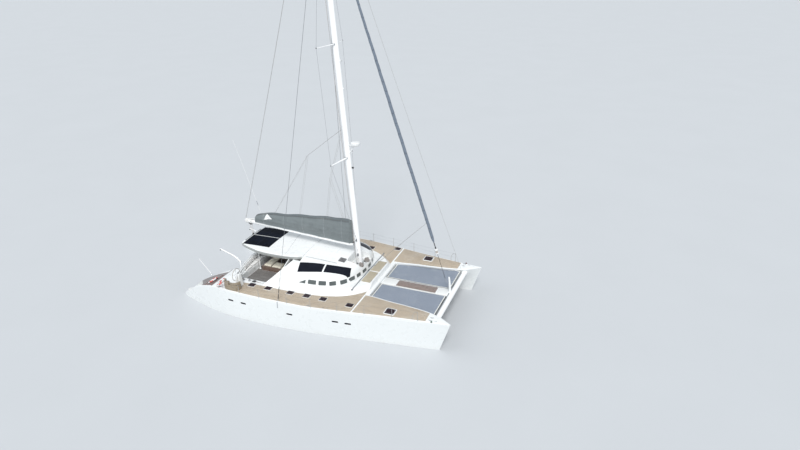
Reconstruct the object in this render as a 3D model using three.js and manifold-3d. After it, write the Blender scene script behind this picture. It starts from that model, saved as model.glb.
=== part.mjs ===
// Sailing catamaran afloat, full size, in millimetres.
// +X towards the bow, +Y to port, +Z up; origin on the centre plane at the waterline, midway along the length.
import * as THREE from 'three';
import { mergeVertices } from 'three/addons/utils/BufferGeometryUtils.js';
import Module from 'manifold-3d';

const wasm = await Module();
wasm.setup();

// ---- driving dimensions -------------------------------------------------
const GAP = 0.3;             // clearance between pieces that rest on each other
const HULL_Y = 3900;         // hull centreplane from the boat's centreplane
const DECK_Z = 2030;         // flush deck
const FLOOR_Z = 1500;        // saloon and cockpit sole
const TUNNEL_Z = 950;        // underside of the bridgedeck
const BRIDGE_Y = 2449;       // half width of the bridgedeck between the hulls
const BRIDGE_AFT = -6900, BRIDGE_FWD = 4100;
const WELL_Y = 3400, WELL_AFT = -5600, WELL_FWD = 1600; // well of cockpit and saloon
const STEM_RAKE = 0.33;      // forward slope of the stem
const WALL = 60;             // saloon wall and roof
const PLINTH_TOP = 2400;
const WALL_TOP = 2950;
const ROOF_AFT = -1300;      // seam between coachroof and hardtop
const BULKHEAD_X = -2210;    // forward face of the aft bulkhead
const MAST_X = 2300, MAST_FOOT = 2930, MAST_TOP = 28300, MAST_RAKE = 0.0664;
const MAST_CHORD = 400, MAST_WIDTH = 250;
const HOUNDS_Z = 26220, HOUNDS_X = 740;
const GOOSE = [1930, 0, 4290];
const BOOM_END = [-7050, 0, 4820];
const BEAM_X = 9110, BEAM_Z = 1700, BEAM_CHORD = 360, BEAM_DEPTH = 300;
const CATWALK_Y = 430;
const RUDDER_X = -8300, DRIVE_X = -5100;

const boat = new THREE.Group();
boat.name = 'sailing_catamaran';

// ---- finishes -------------------------------------------------------------
const finish = (color, roughness = 0.5, metalness = 0) => new THREE.MeshStandardMaterial({ color, roughness, metalness });
const WHITE = finish(0xf1f3f3, 0.25), KEEL = finish(0x2a3038, 0.6), GLASS = finish(0x14161e, 0.05), TINT = finish(0x2b2f30, 0.1);
const ALU = finish(0xb9bdc0, 0.35, 0.9), MASTW = finish(0xeceeee, 0.35), STEEL = finish(0xc9cccf, 0.2, 1), BAG = finish(0x74787a, 0.85);
const TAN = finish(0xb59e84, 0.7), TEAK = finish(0x7d6a5c, 0.75), NET = finish(0x77858f, 0.8), SOLAR = finish(0x12131f, 0.15);
const CREAM = finish(0xd8cfb8, 0.85), JIB = finish(0x707c88, 0.8), GREY = finish(0x6b6b70, 0.7), BRONZE = finish(0x9a7a45, 0.35, 0.9);

const add = (name, geometry, material, parent = boat, position = [0, 0, 0], rotation = [0, 0, 0]) => {
  const mesh = new THREE.Mesh(geometry, material);
  mesh.name = name;
  mesh.position.set(...position);
  mesh.rotation.set(...rotation);
  parent.add(mesh);
  return mesh;
};
const group = (parent, position = [0, 0, 0], rotation = [0, 0, 0]) => {
  const g = new THREE.Group();
  g.position.set(...position);
  g.rotation.set(...rotation);
  parent.add(g);
  return g;
};

// ---- solid helpers ----------------------------------------------------------
const bare = g => {
  const c = g.index ? g.clone() : g.clone();
  for (const key of Object.keys(c.attributes)) if (key !== 'position') c.deleteAttribute(key);
  return mergeVertices(c, 1e-3);
};
const volume = g => {
  const p = g.attributes.position.array, t = g.index.array;
  let v = 0;
  for (let i = 0; i < t.length; i += 3) {
    const [a, b, c] = [t[i] * 3, t[i + 1] * 3, t[i + 2] * 3];
    v += p[a] * (p[b + 1] * p[c + 2] - p[b + 2] * p[c + 1]) - p[a + 1] * (p[b] * p[c + 2] - p[b + 2] * p[c]) + p[a + 2] * (p[b] * p[c + 1] - p[b + 1] * p[c]);
  }
  return v / 6;
};
const solid = g => {
  const m = bare(g);
  return new wasm.Manifold(new wasm.Mesh({ numProp: 3, vertProperties: new Float32Array(m.attributes.position.array), triVerts: new Uint32Array(m.index.array) }));
};
const geom = man => {
  const q = man.getMesh(), g = new THREE.BufferGeometry();
  const n = q.vertProperties.length / q.numProp, pos = new Float32Array(n * 3);
  for (let i = 0; i < n; i++) for (let k = 0; k < 3; k++) pos[i * 3 + k] = q.vertProperties[i * q.numProp + k];
  g.setAttribute('position', new THREE.BufferAttribute(pos, 3));
  g.setIndex(new THREE.BufferAttribute(new Uint32Array(q.triVerts), 1));
  return bare(g);
};
const moved = (g, x, y, z) => { const c = g.clone(); c.translate(x, y, z); return c; };

// a skin over closed rings of equal length, with flat caps (u, v: the axes a cap is drawn in)
const loft = (rings, u = 1, v = 2) => {
  const n = rings[0].length, pos = [], tri = [];
  for (const r of rings) for (const p of r) pos.push(...p);
  for (let i = 0; i + 1 < rings.length; i++)
    for (let j = 0; j < n; j++) {
      const a = i * n + j, b = i * n + (j + 1) % n, c = a + n, d = b + n;
      tri.push(a, b, d, a, d, c);
    }
  const cap = (r, base, flip) => {
    const outline = r.map(p => new THREE.Vector2(p[u], p[v]));
    for (const [a, b, c] of THREE.ShapeUtils.triangulateShape(outline, []))
      flip ? tri.push(base + c, base + b, base + a) : tri.push(base + a, base + b, base + c);
  };
  // the start cap's turning sense is set against the first side quad
  const area = THREE.ShapeUtils.area(rings[0].map(p => new THREE.Vector2(p[u], p[v])));
  cap(rings[0], 0, area > 0);
  cap(rings[rings.length - 1], (rings.length - 1) * n, THREE.ShapeUtils.area(rings[rings.length - 1].map(p => new THREE.Vector2(p[u], p[v]))) < 0);
  const make = t => {
    const g = new THREE.BufferGeometry();
    g.setAttribute('position', new THREE.BufferAttribute(new Float32Array(pos), 3));
    g.setIndex(t);
    return g;
  };
  let g = make(tri);
  if (volume(g) < 0) {
    for (let i = 0; i < tri.length; i += 3) [tri[i], tri[i + 1]] = [tri[i + 1], tri[i]];
    g = make(tri);
  }
  return bare(g);
};
// an outline in the XY plane raised from z0 to z1
const raised = (outline, z0, z1) => {
  const g = new THREE.ExtrudeGeometry(new THREE.Shape(outline.map(([x, y]) => new THREE.Vector2(x, y))), { depth: z1 - z0, bevelEnabled: false });
  g.translate(0, 0, z0);
  return bare(g);
};
// an outline in the XZ plane drawn out from y0 to y1
const across = (outline, y0, y1) => {
  const g = new THREE.ExtrudeGeometry(new THREE.Shape(outline.map(([x, z]) => new THREE.Vector2(x, z))), { depth: y1 - y0, bevelEnabled: false });
  g.rotateX(Math.PI / 2);
  g.translate(0, y1, 0);
  return bare(g);
};
const block = (x0, x1, y0, y1, z0, z1) => bare(moved(new THREE.BoxGeometry(x1 - x0, y1 - y0, z1 - z0), (x0 + x1) / 2, (y0 + y1) / 2, (z0 + z1) / 2));
// a round or oval bar through a list of points with its own half sizes: [x, y, z, rx, ry]
const bar = (points, sides = 8) => {
  const first = new THREE.Vector3(...points[0].slice(0, 3)), last = new THREE.Vector3(...points[points.length - 1].slice(0, 3));
  const dir = last.clone().sub(first).normalize();
  const ref = Math.abs(dir.z) > 0.8 ? new THREE.Vector3(1, 0, 0) : new THREE.Vector3(0, 0, 1);
  const ey = dir.clone().cross(ref).normalize(), ex = ey.clone().cross(dir).normalize();
  const rings = points.map(([x, y, z, rx, ry = rx]) => Array.from({ length: sides }, (_, i) => {
    const a = (i + 0.5) / sides * 2 * Math.PI, c = Math.cos(a) * rx, s = Math.sin(a) * ry;
    return [x + ex.x * c + ey.x * s, y + ex.y * c + ey.y * s, z + ex.z * c + ey.z * s];
  }));
  const g = loft(rings, ...(Math.abs(dir.z) > 0.7 ? [0, 1] : Math.abs(dir.x) > 0.7 ? [1, 2] : [0, 2]));
  return g;
};
// smooth interpolation of one column of a table along its first column, with no overshoot
const along = (table, column, x) => {
  const n = table.length;
  if (x <= table[0][0]) return table[0][column];
  if (x >= table[n - 1][0]) return table[n - 1][column];
  const d = i => (table[i + 1][column] - table[i][column]) / (table[i + 1][0] - table[i][0]);
  const slope = i => i === 0 ? d(0) : i === n - 1 ? d(n - 2) : d(i - 1) * d(i) <= 0 ? 0 : 2 * d(i - 1) * d(i) / (d(i - 1) + d(i));
  let i = 0;
  while (x > table[i + 1][0]) i++;
  const h = table[i + 1][0] - table[i][0], t = (x - table[i][0]) / h;
  return (1 + 2 * t) * (1 - t) ** 2 * table[i][column] + t * (1 - t) ** 2 * h * slope(i) + t * t * (3 - 2 * t) * table[i + 1][column] + t * t * (t - 1) * h * slope(i + 1);
};

// ---- hulls ------------------------------------------------------------------
// columns: station x, half beams from the hull's centreplane (outer waterline, outer deck, inner waterline,
// inner knuckle, inner deck), height of the sheer, depth of the bottom
const HULL = [
  [-10250, 110, 90, 110, 100, 90, 150, -30],
  [-9900, 300, 280, 300, 290, 280, 350, -100],
  [-9500, 450, 430, 450, 440, 430, 620, -180],
  [-9000, 590, 570, 590, 580, 570, 1050, -270],
  [-8500, 730, 715, 730, 720, 710, 1330, -350],
  [-7900, 900, 880, 880, 880, 870, 1590, -430],
  [-7300, 1050, 1035, 1000, 1120, 1160, 1800, -500],
  [-6800, 1150, 1140, 1090, 1449, 1449, 1940, -540],
  [-6300, 1240, 1230, 1180, 1450, 1450, DECK_Z, -580],
  [-5450, 1350, 1335, 1290, 1450, 1450, DECK_Z, -640],
  [-2940, 1450, 1430, 1390, 1450, 1450, DECK_Z, -750],
  [70, 1320, 1370, 1280, 1450, 1450, DECK_Z, -780],
  [2870, 990, 1060, 960, 1450, 1450, DECK_Z, -740],
  [4150, 820, 860, 790, 1420, 1440, DECK_Z, -700],
  [5540, 610, 640, 600, 950, 1270, DECK_Z, -640],
  [7200, 380, 400, 370, 620, 1110, DECK_Z, -550],
  [8130, 240, 250, 235, 420, 930, DECK_Z, -480],
  [8900, 120, 130, 115, 240, 580, DECK_Z, -410],
  [9550, 22, 24, 22, 23, 24, DECK_Z, -300],
];
const STATIONS = [-10250, -9900, -9500, -9000, -8500, -7900, -7300, -6800, -6300, -5450, -4200, -2940, -1400, 70, 1500, 2870, 4110, 5000, 6000, 7200, 8130, 8900, 9300, 9550];
const BILGE = 7; // points round the underwater body

const hullRing = (x, side, inset = 0, lift = 0) => {
  const [oW, oD, iW, iK, iD, zs, zk] = [1, 2, 3, 4, 5, 6, 7].map(c => along(HULL, c, x));
  const rake = STEM_RAKE * Math.min(1, Math.max(0, (x - 7000) / 2550));
  const pts = [[-iD, zs], [-(iD + iK) / 2, (zs + Math.min(TUNNEL_Z, zs * 0.5)) / 2], [-iK, Math.min(TUNNEL_Z, zs * 0.5)], [-iW, 0]];
  for (let j = 1; j <= BILGE; j++) {
    const a = j / (BILGE + 1) * Math.PI, w = Math.cos(a) > 0 ? iW : oW;
    pts.push([-Math.cos(a) * w, zk * Math.sin(a) ** 0.75]);
  }
  pts.push([oW, 0], [(oW + oD) / 2 + 0.02 * oW, zs * 0.5], [oD, zs]);
  return pts.map(([o, z]) => [x + rake * z, side * (HULL_Y + o), z]);
};
const hullSolid = side => solid(loft(STATIONS.map(x => hullRing(x, side))));

// stern steps, sunk between the bulwarks: profile seen from the side, x then z
const STEPS = [[-10400, 450], [-8950, 450], [-8950, 800], [-8450, 800], [-8450, 1120], [-7950, 1120], [-7950, 1400], [-7450, 1400], [-7450, 1660], [-6870, 1660], [-6870, 2600], [-10400, 2600]];
const BULWARK = 95;
const sternCut = side => {
  const xs = [-10400, -9900, -9500, -9000, -8500, -7900, -7300, -6700, -6300];
  const inner = xs.map(x => [x, side * (HULL_Y - Math.max(30, Math.min(along(HULL, 5, x), along(HULL, 3, x)) - BULWARK))]);
  const outer = xs.map(x => [x, side * (HULL_Y + Math.max(30, Math.min(along(HULL, 2, x), along(HULL, 1, x)) - BULWARK))]).reverse();
  const plan = solid(raised([...inner, ...outer], 0, 3000));
  const y0 = Math.min(...[2000, 5600].map(y => side * y)), y1 = Math.max(...[2000, 5600].map(y => side * y));
  return plan.intersect(solid(across(STEPS, y0, y1)));
};
// hatch wells in the decks: x, distance from the centreplane, length, width
const FORE_HATCH = { x: 6170, y: 3810, size: 640 };
const RUDDER_TUBE = 52;

const sides = [['starboard', -1], ['port', 1]];
const hulls = {};
for (const [name, side] of sides) {
  let h = hullSolid(side);
  h = h.subtract(sternCut(side));
  const [wy0, wy1] = [side * 2300, side * WELL_Y].sort((a, b) => a - b);
  h = h.subtract(solid(block(WELL_AFT, WELL_FWD, wy0, wy1, FLOOR_Z, 2600)));
  const [hy0, hy1] = [side * (FORE_HATCH.y - 270), side * (FORE_HATCH.y + 270)].sort((a, b) => a - b);
  h = h.subtract(solid(block(FORE_HATCH.x - 270, FORE_HATCH.x + 270, hy0, hy1, 1500, 2600)));
  const tube = new THREE.CylinderGeometry(RUDDER_TUBE, RUDDER_TUBE, 700, 16);
  tube.rotateX(Math.PI / 2);
  h = h.subtract(solid(moved(tube, RUDDER_X, side * HULL_Y, -250)));
  hulls[name] = h;
  add(`${name}_hull`, geom(h), WHITE);
}

// low-aspect keel under each hull: x of nose and tail, z, half thickness
const KEEL_LEVELS = [[1500, -2300, -560, 170], [1480, -2290, -760, 165], [1250, -2150, -1100, 140], [1000, -2000, -1330, 105]];
for (const [name, side] of sides) {
  const rings = KEEL_LEVELS.map(([nose, tail, z, t]) => [[1, 0], [0.86, 0.75], [0.6, 1], [0.25, 0.7], [0, 0.08], [0, -0.08], [0.25, -0.7], [0.6, -1], [0.86, -0.75]]
    .map(([f, g]) => [tail + f * (nose - tail), side * HULL_Y + g * t, z]));
  const k = solid(loft(rings, 0, 1)).subtract(hullSolid(side));
  add(`${name}_keel`, moved(geom(k), 0, 0, -GAP), KEEL);
}

// ---- rudders, drives, propellers ----------------------------------------------
for (const [name, side] of sides) {
  const yard = group(boat, [0, side * HULL_Y, 0]);
  const hinge = group(yard, [RUDDER_X, 0, 0]);
  // blade levels: nose, tail from the stock, z, half thickness
  const levels = [[150, -520, -470, 55], [140, -500, -900, 48], [110, -420, -1300, 30]];
  const blade = solid(loft(levels.map(([nose, tail, z, t]) => [[1, 0], [0.85, 0.8], [0.6, 1], [0.25, 0.6], [0, 0.08], [0, -0.08], [0.25, -0.6], [0.6, -1], [0.85, -0.8]]
    .map(([f, g]) => [tail + f * (nose - tail), g * t, z])), 0, 1));
  const stock = new THREE.CylinderGeometry(45, 45, 560, 16);
  stock.rotateX(Math.PI / 2);
  add(`${name}_rudder`, geom(blade.add(solid(moved(stock, 0, 0, -350)))), KEEL, hinge);

  const leg = solid(loft([[-560, 95], [-760, 80], [-980, 70]].map(([z, t]) => [[190, 0], [100, t * 0.8], [-60, t * 0.6], [-190, 8], [-190, -8], [-60, -t * 0.6], [100, -t * 0.8]].map(([x, y]) => [x, y, z])), 0, 1));
  const pod = solid(bar([[210, 0, -980, 30], [120, 0, -980, 88], [-120, 0, -980, 88], [-230, 0, -980, 62]], 12));
  const drive = leg.add(pod).translate([DRIVE_X, side * HULL_Y, 0]).subtract(hullSolid(side));
  add(`${name}_saildrive`, moved(geom(drive), 0, 0, -GAP), ALU);

  let prop = solid(bar([[-237, 0, 0, 58], [-330, 0, 0, 55], [-400, 0, 0, 26]], 12));
  for (let i = 0; i < 3; i++) {
    const b = new THREE.BoxGeometry(16, 120, 210);
    b.translate(0, 0, 0);
    const bp = loft([[30, 34, 9], [120, 62, 8], [200, 66, 6], [245, 34, 4]].map(([r, w, t]) => {
      const pitch = Math.atan2(120, r);
      return [[-w, -t], [w, -t], [w, t], [-w, t]].map(([c, e]) => [-292 + Math.sin(pitch) * c * 0.75 + Math.cos(pitch) * e, Math.cos(pitch) * c - Math.sin(pitch) * e * 0.6, r]);
    }), 0, 1);
    bp.rotateX(i * 2 * Math.PI / 3);
    prop = prop.add(solid(bp));
  }
  add(`${name}_propeller`, geom(prop), BRONZE, yard, [DRIVE_X, 0, -980]);
}

// ---- bridgedeck ---------------------------------------------------------------
const BRIDGE = [[BRIDGE_AFT, TUNNEL_Z + 150], [BRIDGE_AFT + 250, TUNNEL_Z], [3200, TUNNEL_Z], [3900, 1350], [BRIDGE_FWD, 1650], [BRIDGE_FWD, DECK_Z], [2950, DECK_Z], [2950, FLOOR_Z], [BRIDGE_AFT, FLOOR_Z]];
const LOCKER = { x0: 3090, x1: 3750, y0: 60, y1: 1560, z0: 1300 };
let bridge = solid(across(BRIDGE, -BRIDGE_Y, BRIDGE_Y));
for (const [, side] of sides) {
  const [y0, y1] = [side * LOCKER.y0, side * LOCKER.y1].sort((a, b) => a - b);
  bridge = bridge.subtract(solid(block(LOCKER.x0, LOCKER.x1, y0, y1, LOCKER.z0, 2600)));
}
add('bridgedeck', geom(bridge), WHITE);

// ---- cabin ----------------------------------------------------------------------
// columns: half width, forward end, squareness of the front, z at the aft end, z at the front
const SHELL = [
  [3500, 2930, 6.5, PLINTH_TOP - 20, PLINTH_TOP - 20],
  [3450, 2905, 6.5, 2560, 2520],
  [3360, 2875, 6.5, 2740, 2700],
  [3170, 2845, 7, 2940, 2900],
  [2920, 2805, 7.5, 3110, 3050],
  [2600, 2755, 8, 3270, 3170],
  [2250, 2690, 8, 3400, 3260],
  [1750, 2560, 7, 3530, 3330],
  [1200, 2350, 6, 3620, 3390],
  [600, 2000, 5, 3675, 3440],
];
const FRACTION = [0, 0.2, 0.4, 0.55, 0.67, 0.76, 0.84, 0.89, 0.93, 0.96, 0.98, 0.994, 1];
const SHELL_AFT = -3600;
const shellRing = ([w, front, p, za, zf], inset = 0, drop = 0, aft = SHELL_AFT) => {
  const half = FRACTION.map(t => {
    const x = t === 0 ? aft : SHELL_AFT + t * (front - inset - SHELL_AFT);
    return [x, (w - inset) * Math.sqrt(Math.max(0, 1 - t ** p)), za + (zf - za) * Math.min(1, Math.max(0, (x + 1000) / 3900)) - drop];
  });
  return [...half.map(([x, y, z]) => [x, -y, z]), ...half.slice(0, -1).reverse()];
};
const shellSolid = (inset, drop, low, aft = SHELL_AFT) => {
  const rings = SHELL.map((r, i) => shellRing(r, inset, drop * Math.min(1, Math.max(0, i - 2) / 3), aft));
  const bottom = rings[0].map(([x, y]) => [x, y, low]);
  return solid(loft([bottom, ...rings], 0, 1));
};
const outer = shellSolid(0, 0, 1800);
const inner = shellSolid(WALL, 55, 1700, SHELL_AFT - 400);
// the cabin sides run aft as sloping wings; the roof stops at the seam with the hardtop
const HARDTOP_LOW = 3400;
const KEEP = [[-3560, 1900], [-1900, HARDTOP_LOW], [ROOF_AFT, HARDTOP_LOW], [ROOF_AFT, 4500], [6000, 4500], [6000, 1900]];
const keep = solid(across(KEEP, -5000, 5000));

// mast well in the front of the roof
const MAST_WELL = { x0: 1720, x1: 2640, y: 900, z: 2920 };
const well = solid(block(MAST_WELL.x0, MAST_WELL.x1 + 400, -MAST_WELL.y, MAST_WELL.y, MAST_WELL.z, 4200));
const tub = solid(block(MAST_WELL.x0 - 50, MAST_WELL.x1 + 40, -MAST_WELL.y - 50, MAST_WELL.y + 50, MAST_WELL.z - 60, 4200)).intersect(outer);

// large side windows of the roof, cut straight down through the sloping side: x, distance from the centreplane
const ROOF_WINDOW = [[-1230, 2190], [-620, 2050], [90, 1910], [620, 1840], [1240, 1740], [1800, 1630], [2360, 1470], [2480, 2050], [1890, 2300], [1390, 2430], [660, 2580], [-160, 2770], [-1050, 2950]];
const windowPrism = (side, grow = 0, z0 = 2800, z1 = 3700) => {
  const cx = 700, cy = 2380;
  return solid(raised(ROOF_WINDOW.map(([x, y]) => [x + Math.sign(x - cx) * grow, side * (y + Math.sign(y - cy) * grow)]), z0, z1));
};
// small windows of the wall, from the side round to the front: x, y, heading of the outward normal, width, height, z
const SMALL = [
  [-450, 3370, 87, 460, 220, 2695], [250, 3290, 83, 600, 250, 2720], [970, 3170, 76, 530, 260, 2715], [1620, 2910, 62, 460, 270, 2690],
  [2210, 2420, 40, 520, 280, 2660], [2565, 1790, 24, 470, 270, 2655], [2755, 1170, 13, 440, 260, 2650], [2850, 430, 4, 540, 250, 2640],
];
const smallCut = (side, [x, y, heading, w, h, z], deep = 700) => {
  const b = new THREE.BoxGeometry(deep, w, h);
  b.rotateZ(side * THREE.MathUtils.degToRad(heading));
  b.translate(x, side * y, z);
  return solid(b);
};

const shell = outer.subtract(inner).intersect(keep);
const above = z => solid(block(-6000, 6000, -6000, 6000, z, 6000));
const below = z => solid(block(-6000, 6000, -6000, 6000, 0, z));

// plinth: the cabin's base moulding on the deck, with the two foredeck lockers in its front
const PLINTH = [[3880, 4400, 4, DECK_Z + GAP], [3860, 4390, 4, 2085], [3690, 4290, 4, 2230], [3545, 4210, 4, PLINTH_TOP - 50], [3500, 4180, 4, PLINTH_TOP]];
const PLINTH_FWD = 3860;
const plinthRing = ([w, front, p, z]) => {
  const ts = [0, 0.2, 0.4, 0.55, 0.66, 0.74, 0.8, 0.85, 0.89, (PLINTH_FWD - SHELL_AFT) / (front - SHELL_AFT)];
  const half = ts.map(t => [SHELL_AFT + t * (front - SHELL_AFT), w * Math.sqrt(1 - t ** p), z]);
  return [...half.map(([x, y, zz]) => [x, -y, zz]), ...half.reverse()];
};
let plinth = solid(loft(PLINTH.map(plinthRing), 0, 1)).subtract(inner).intersect(keep);
for (const [, side] of sides) {
  const [y0, y1] = [side * LOCKER.y0, side * LOCKER.y1].sort((a, b) => a - b);
  plinth = plinth.subtract(solid(block(LOCKER.x0, LOCKER.x1, y0, y1, 1000, 2600)));
}
add('cabin_plinth', geom(plinth), WHITE);

// wall ring with the small windows
let wall = shell.intersect(above(PLINTH_TOP + GAP)).intersect(below(WALL_TOP));
for (const [, side] of sides) for (const w of SMALL) wall = wall.subtract(smallCut(side, w));
add('saloon_wall', geom(wall), WHITE);

// roof with the large windows and the mast well
let roof = outer.subtract(inner).intersect(keep).subtract(well).add(tub.subtract(well)).intersect(above(WALL_TOP + GAP));
roof = roof.subtract(windowPrism(-1)).subtract(windowPrism(1));
const ROOF_HATCH = { x: 1460, y: 1000, z: 3472, size: 520, rise: 6.44, fall: 5.5 }; // rise towards the centre, fall forwards, degrees
roof = roof.subtract(solid(block(ROOF_HATCH.x - 230, ROOF_HATCH.x + 230, -ROOF_HATCH.y - 230, -ROOF_HATCH.y + 230, 3000, 4200)));
add('coachroof', geom(roof), WHITE);

// glazing behind the openings, sunk a little under the outer skin
const glassSkin = shellSolid(WALL + 1, 56, 1750).subtract(shellSolid(WALL + 15, 72, 1700, SHELL_AFT - 400));
const wallGlass = glassSkin.intersect(solid(block(-1000, 4000, -5000, 5000, 2500, 2900)));
add('saloon_window_band', geom(wallGlass), TINT);
for (const [name, side] of sides) add(`${name}_roof_window`, geom(glassSkin.intersect(windowPrism(side, 60, 2960))), GLASS);

// roof hatch lid, hinged at its forward edge
const lidAt = (name, parent, pos, rot, size, thick, material) => {
  const frame = group(parent, pos, rot);
  const s = new THREE.Shape();
  const r = size * 0.12, h = size / 2;
  s.moveTo(-h + r, -h); s.lineTo(h - r, -h); s.quadraticCurveTo(h, -h, h, -h + r); s.lineTo(h, h - r); s.quadraticCurveTo(h, h, h - r, h);
  s.lineTo(-h + r, h); s.quadraticCurveTo(-h, h, -h, h - r); s.lineTo(-h, -h + r); s.quadraticCurveTo(-h, -h, -h + r, -h);
  const g = new THREE.ExtrudeGeometry(s, { depth: thick, bevelEnabled: false, curveSegments: 3 });
  return add(name, bare(g), material, frame);
};
// slope of the roof where the hatch sits
lidAt('roof_hatch_lid', boat, [ROOF_HATCH.x, -ROOF_HATCH.y, ROOF_HATCH.z], [ROOF_HATCH.rise, ROOF_HATCH.fall, 0].map(THREE.MathUtils.degToRad), ROOF_HATCH.size, 45, GLASS);
for (const [name, side] of sides)
  lidAt(`${name}_fore_hatch_lid`, boat, [FORE_HATCH.x, side * FORE_HATCH.y, DECK_Z + GAP], [0, 0, 0], FORE_HATCH.size, 45, GLASS);
for (const [name, side] of sides) {
  const [y0, y1] = [side * 12, side * 1600].sort((a, b) => a - b);
  add(`${name}_locker_lid`, block(3040, 3800, y0, y1, PLINTH_TOP + GAP, PLINTH_TOP + 40), TAN);
}

// aft bulkhead: one panel with a window on each side of the doorway
const DOORWAY = { y0: -750, y1: 500, z0: FLOOR_Z + 40, z1: 3280 };
const AFT_LIGHTS = [['starboard', -3395, DOORWAY.y0, -2650, -950], ['port', DOORWAY.y1, 3395, 700, 2650]];
const cabinInside = shellSolid(WALL + 0.6, 56, 1700, SHELL_AFT - 400).intersect(above(DECK_Z - 5)).add(solid(block(-4000, 0, -WELL_Y + 5, WELL_Y - 5, FLOOR_Z, DECK_Z)));
for (const [name, y0, y1, w0, w1] of AFT_LIGHTS) {
  const panel = solid(block(BULKHEAD_X - 60, BULKHEAD_X, y0, y1, FLOOR_Z + GAP, HARDTOP_LOW)).intersect(cabinInside)
    .subtract(solid(block(-3000, 0, w0, w1, 2350, 3150)));
  add(`${name}_aft_bulkhead`, geom(panel), WHITE);
  add(`${name}_aft_window`, block(BULKHEAD_X - 35, BULKHEAD_X - 23, w0 + GAP, w1 - GAP, 2350 + GAP, 3150 - GAP), GLASS);
}
// sliding door on the bulkhead's cockpit side
const DOOR_X = BULKHEAD_X - 60 - 8;
let door = solid(block(DOOR_X - 34, DOOR_X, DOORWAY.y0 - 40, DOORWAY.y1 + 40, DOORWAY.z0 - 30, DOORWAY.z1 + 40));
door = door.subtract(solid(block(DOOR_X - 100, DOOR_X + 100, DOORWAY.y0 + 50, DOORWAY.y1 - 50, DOORWAY.z0 + 90, DOORWAY.z1 - 50)));
add('saloon_door', geom(door), MASTW);
add('saloon_door_glass', block(DOOR_X - 22, DOOR_X - 12, DOORWAY.y0 + 50 + GAP, DOORWAY.y1 - 50 - GAP, DOORWAY.z0 + 90 + GAP, DOORWAY.z1 - 50 - GAP), GLASS);

// ---- hardtop ----------------------------------------------------------------------
// columns: x, half width, z of the edge's top, z of the crown
const HARDTOP = [[-6620, 1330, 3640, 3685], [-6585, 1400, 3640, 3690], [-6480, 1460, 3642, 3695], [-6200, 1600, 3650, 3705], [-5500, 1860, 3655, 3728], [-4600, 2090, 3660, 3747], [-3700, 2170, 3665, 3760], [-2700, 2150, 3665, 3760], [-1800, 2010, 3655, 3748], [ROOF_AFT - GAP, 1800, 3640, 3730]];
const hardtop = loft(HARDTOP.map(([x, w, ze, zc]) => {
  const top = [1, 0.97, 0.5, 0, -0.5, -0.97, -1].map(f => [x, f * w, Math.abs(f) === 1 ? ze - 50 : zc - (zc - ze) * Math.abs(f) ** 2.2]);
  return [[x, -w + 25, HARDTOP_LOW + GAP], [x, w - 25, HARDTOP_LOW + GAP], ...top];
}));
// two posts carry its after end
const POST = { x: -5490, y: 1020, r: 38 };
let canopy = solid(hardtop);
for (const [, side] of sides) canopy = canopy.add(solid(bar([[POST.x, side * POST.y, FLOOR_Z + GAP, POST.r, POST.r], [POST.x, side * POST.y, HARDTOP_LOW + 60, POST.r, POST.r]], 12)));
add('cockpit_hardtop', geom(canopy), WHITE);
// solar panels let lightly into the crown
for (const [name, side] of sides) {
  const [y0, y1] = [side * 25, side * 1480].sort((a, b) => a - b);
  const slab = loft([[-6430, 3716], [-4180, 3768]].map(([x, z]) => {
    const w = y0 < 0 ? -1 : 1;
    return [[x, y0, 0], [x, y1, 0]].flatMap(([a, b]) => [[a, b, z - 52 * (Math.abs(b) / 1480) ** 2]]).concat([[x, y1, z + 24 - 52 * (Math.abs(y1) / 1480) ** 2], [x, y0, z + 24 - 52 * (Math.abs(y0) / 1480) ** 2]]);
  }));
  add(`${name}_solar_panel`, geom(solid(slab).subtract(solid(moved(hardtop, 0, 0, GAP)))), SOLAR);
}

// ---- cockpit ------------------------------------------------------------------------
// bench across the aft end with its curved back
const SEAT_Y = [-3380, -2600, -1700, -850, 0, 850, 1700, 2600, 3380];
const bow = y => 52 * (y / 1000) ** 2;
const seatBack = SEAT_Y.map(y => [-6320 + bow(y), y]);
const seat = solid(raised([...SEAT_Y.map(y => [-5640, y]), ...[...seatBack].reverse()], FLOOR_Z + GAP, 1930))
  .add(solid(raised([...SEAT_Y.map(y => [-6170 + bow(y), y]), ...[...seatBack].reverse()], FLOOR_Z + GAP, 2330)))
  .intersect(solid(block(-6600, -5601, -2446, 2446, 0, 3000)).add(solid(block(-6600, -5601, -3395, 3395, DECK_Z + GAP, 3000))));
add('cockpit_aft_seat', geom(seat), WHITE);
const settee = solid(block(-5230, -2750, -1180, 3330, FLOOR_Z + GAP, 1850)).subtract(solid(block(-4450, -2600, -400, 2780, 1400, 2000)))
  .add(solid(block(-5230, -2750, 3200, 3330, FLOOR_Z + GAP, 2330))).add(solid(block(-5230, -5110, 700, 3330, FLOOR_Z + GAP, 2330)));
add('cockpit_settee', geom(settee), WHITE);
const cushions = solid(block(-5100, -2760, -1170, 3190, 1850 + GAP, 1960)).subtract(solid(block(-4440, -2600, -410, 2790, 1400, 2200)));
add('settee_cushions', geom(cushions), CREAM);
const table = solid(block(-4150, -2950, 450, 2150, 2180, 2225)).add(solid(block(-3620, -3480, 1230, 1370, FLOOR_Z + GAP, 2180)));
add('cockpit_table', geom(table), TEAK);

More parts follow.
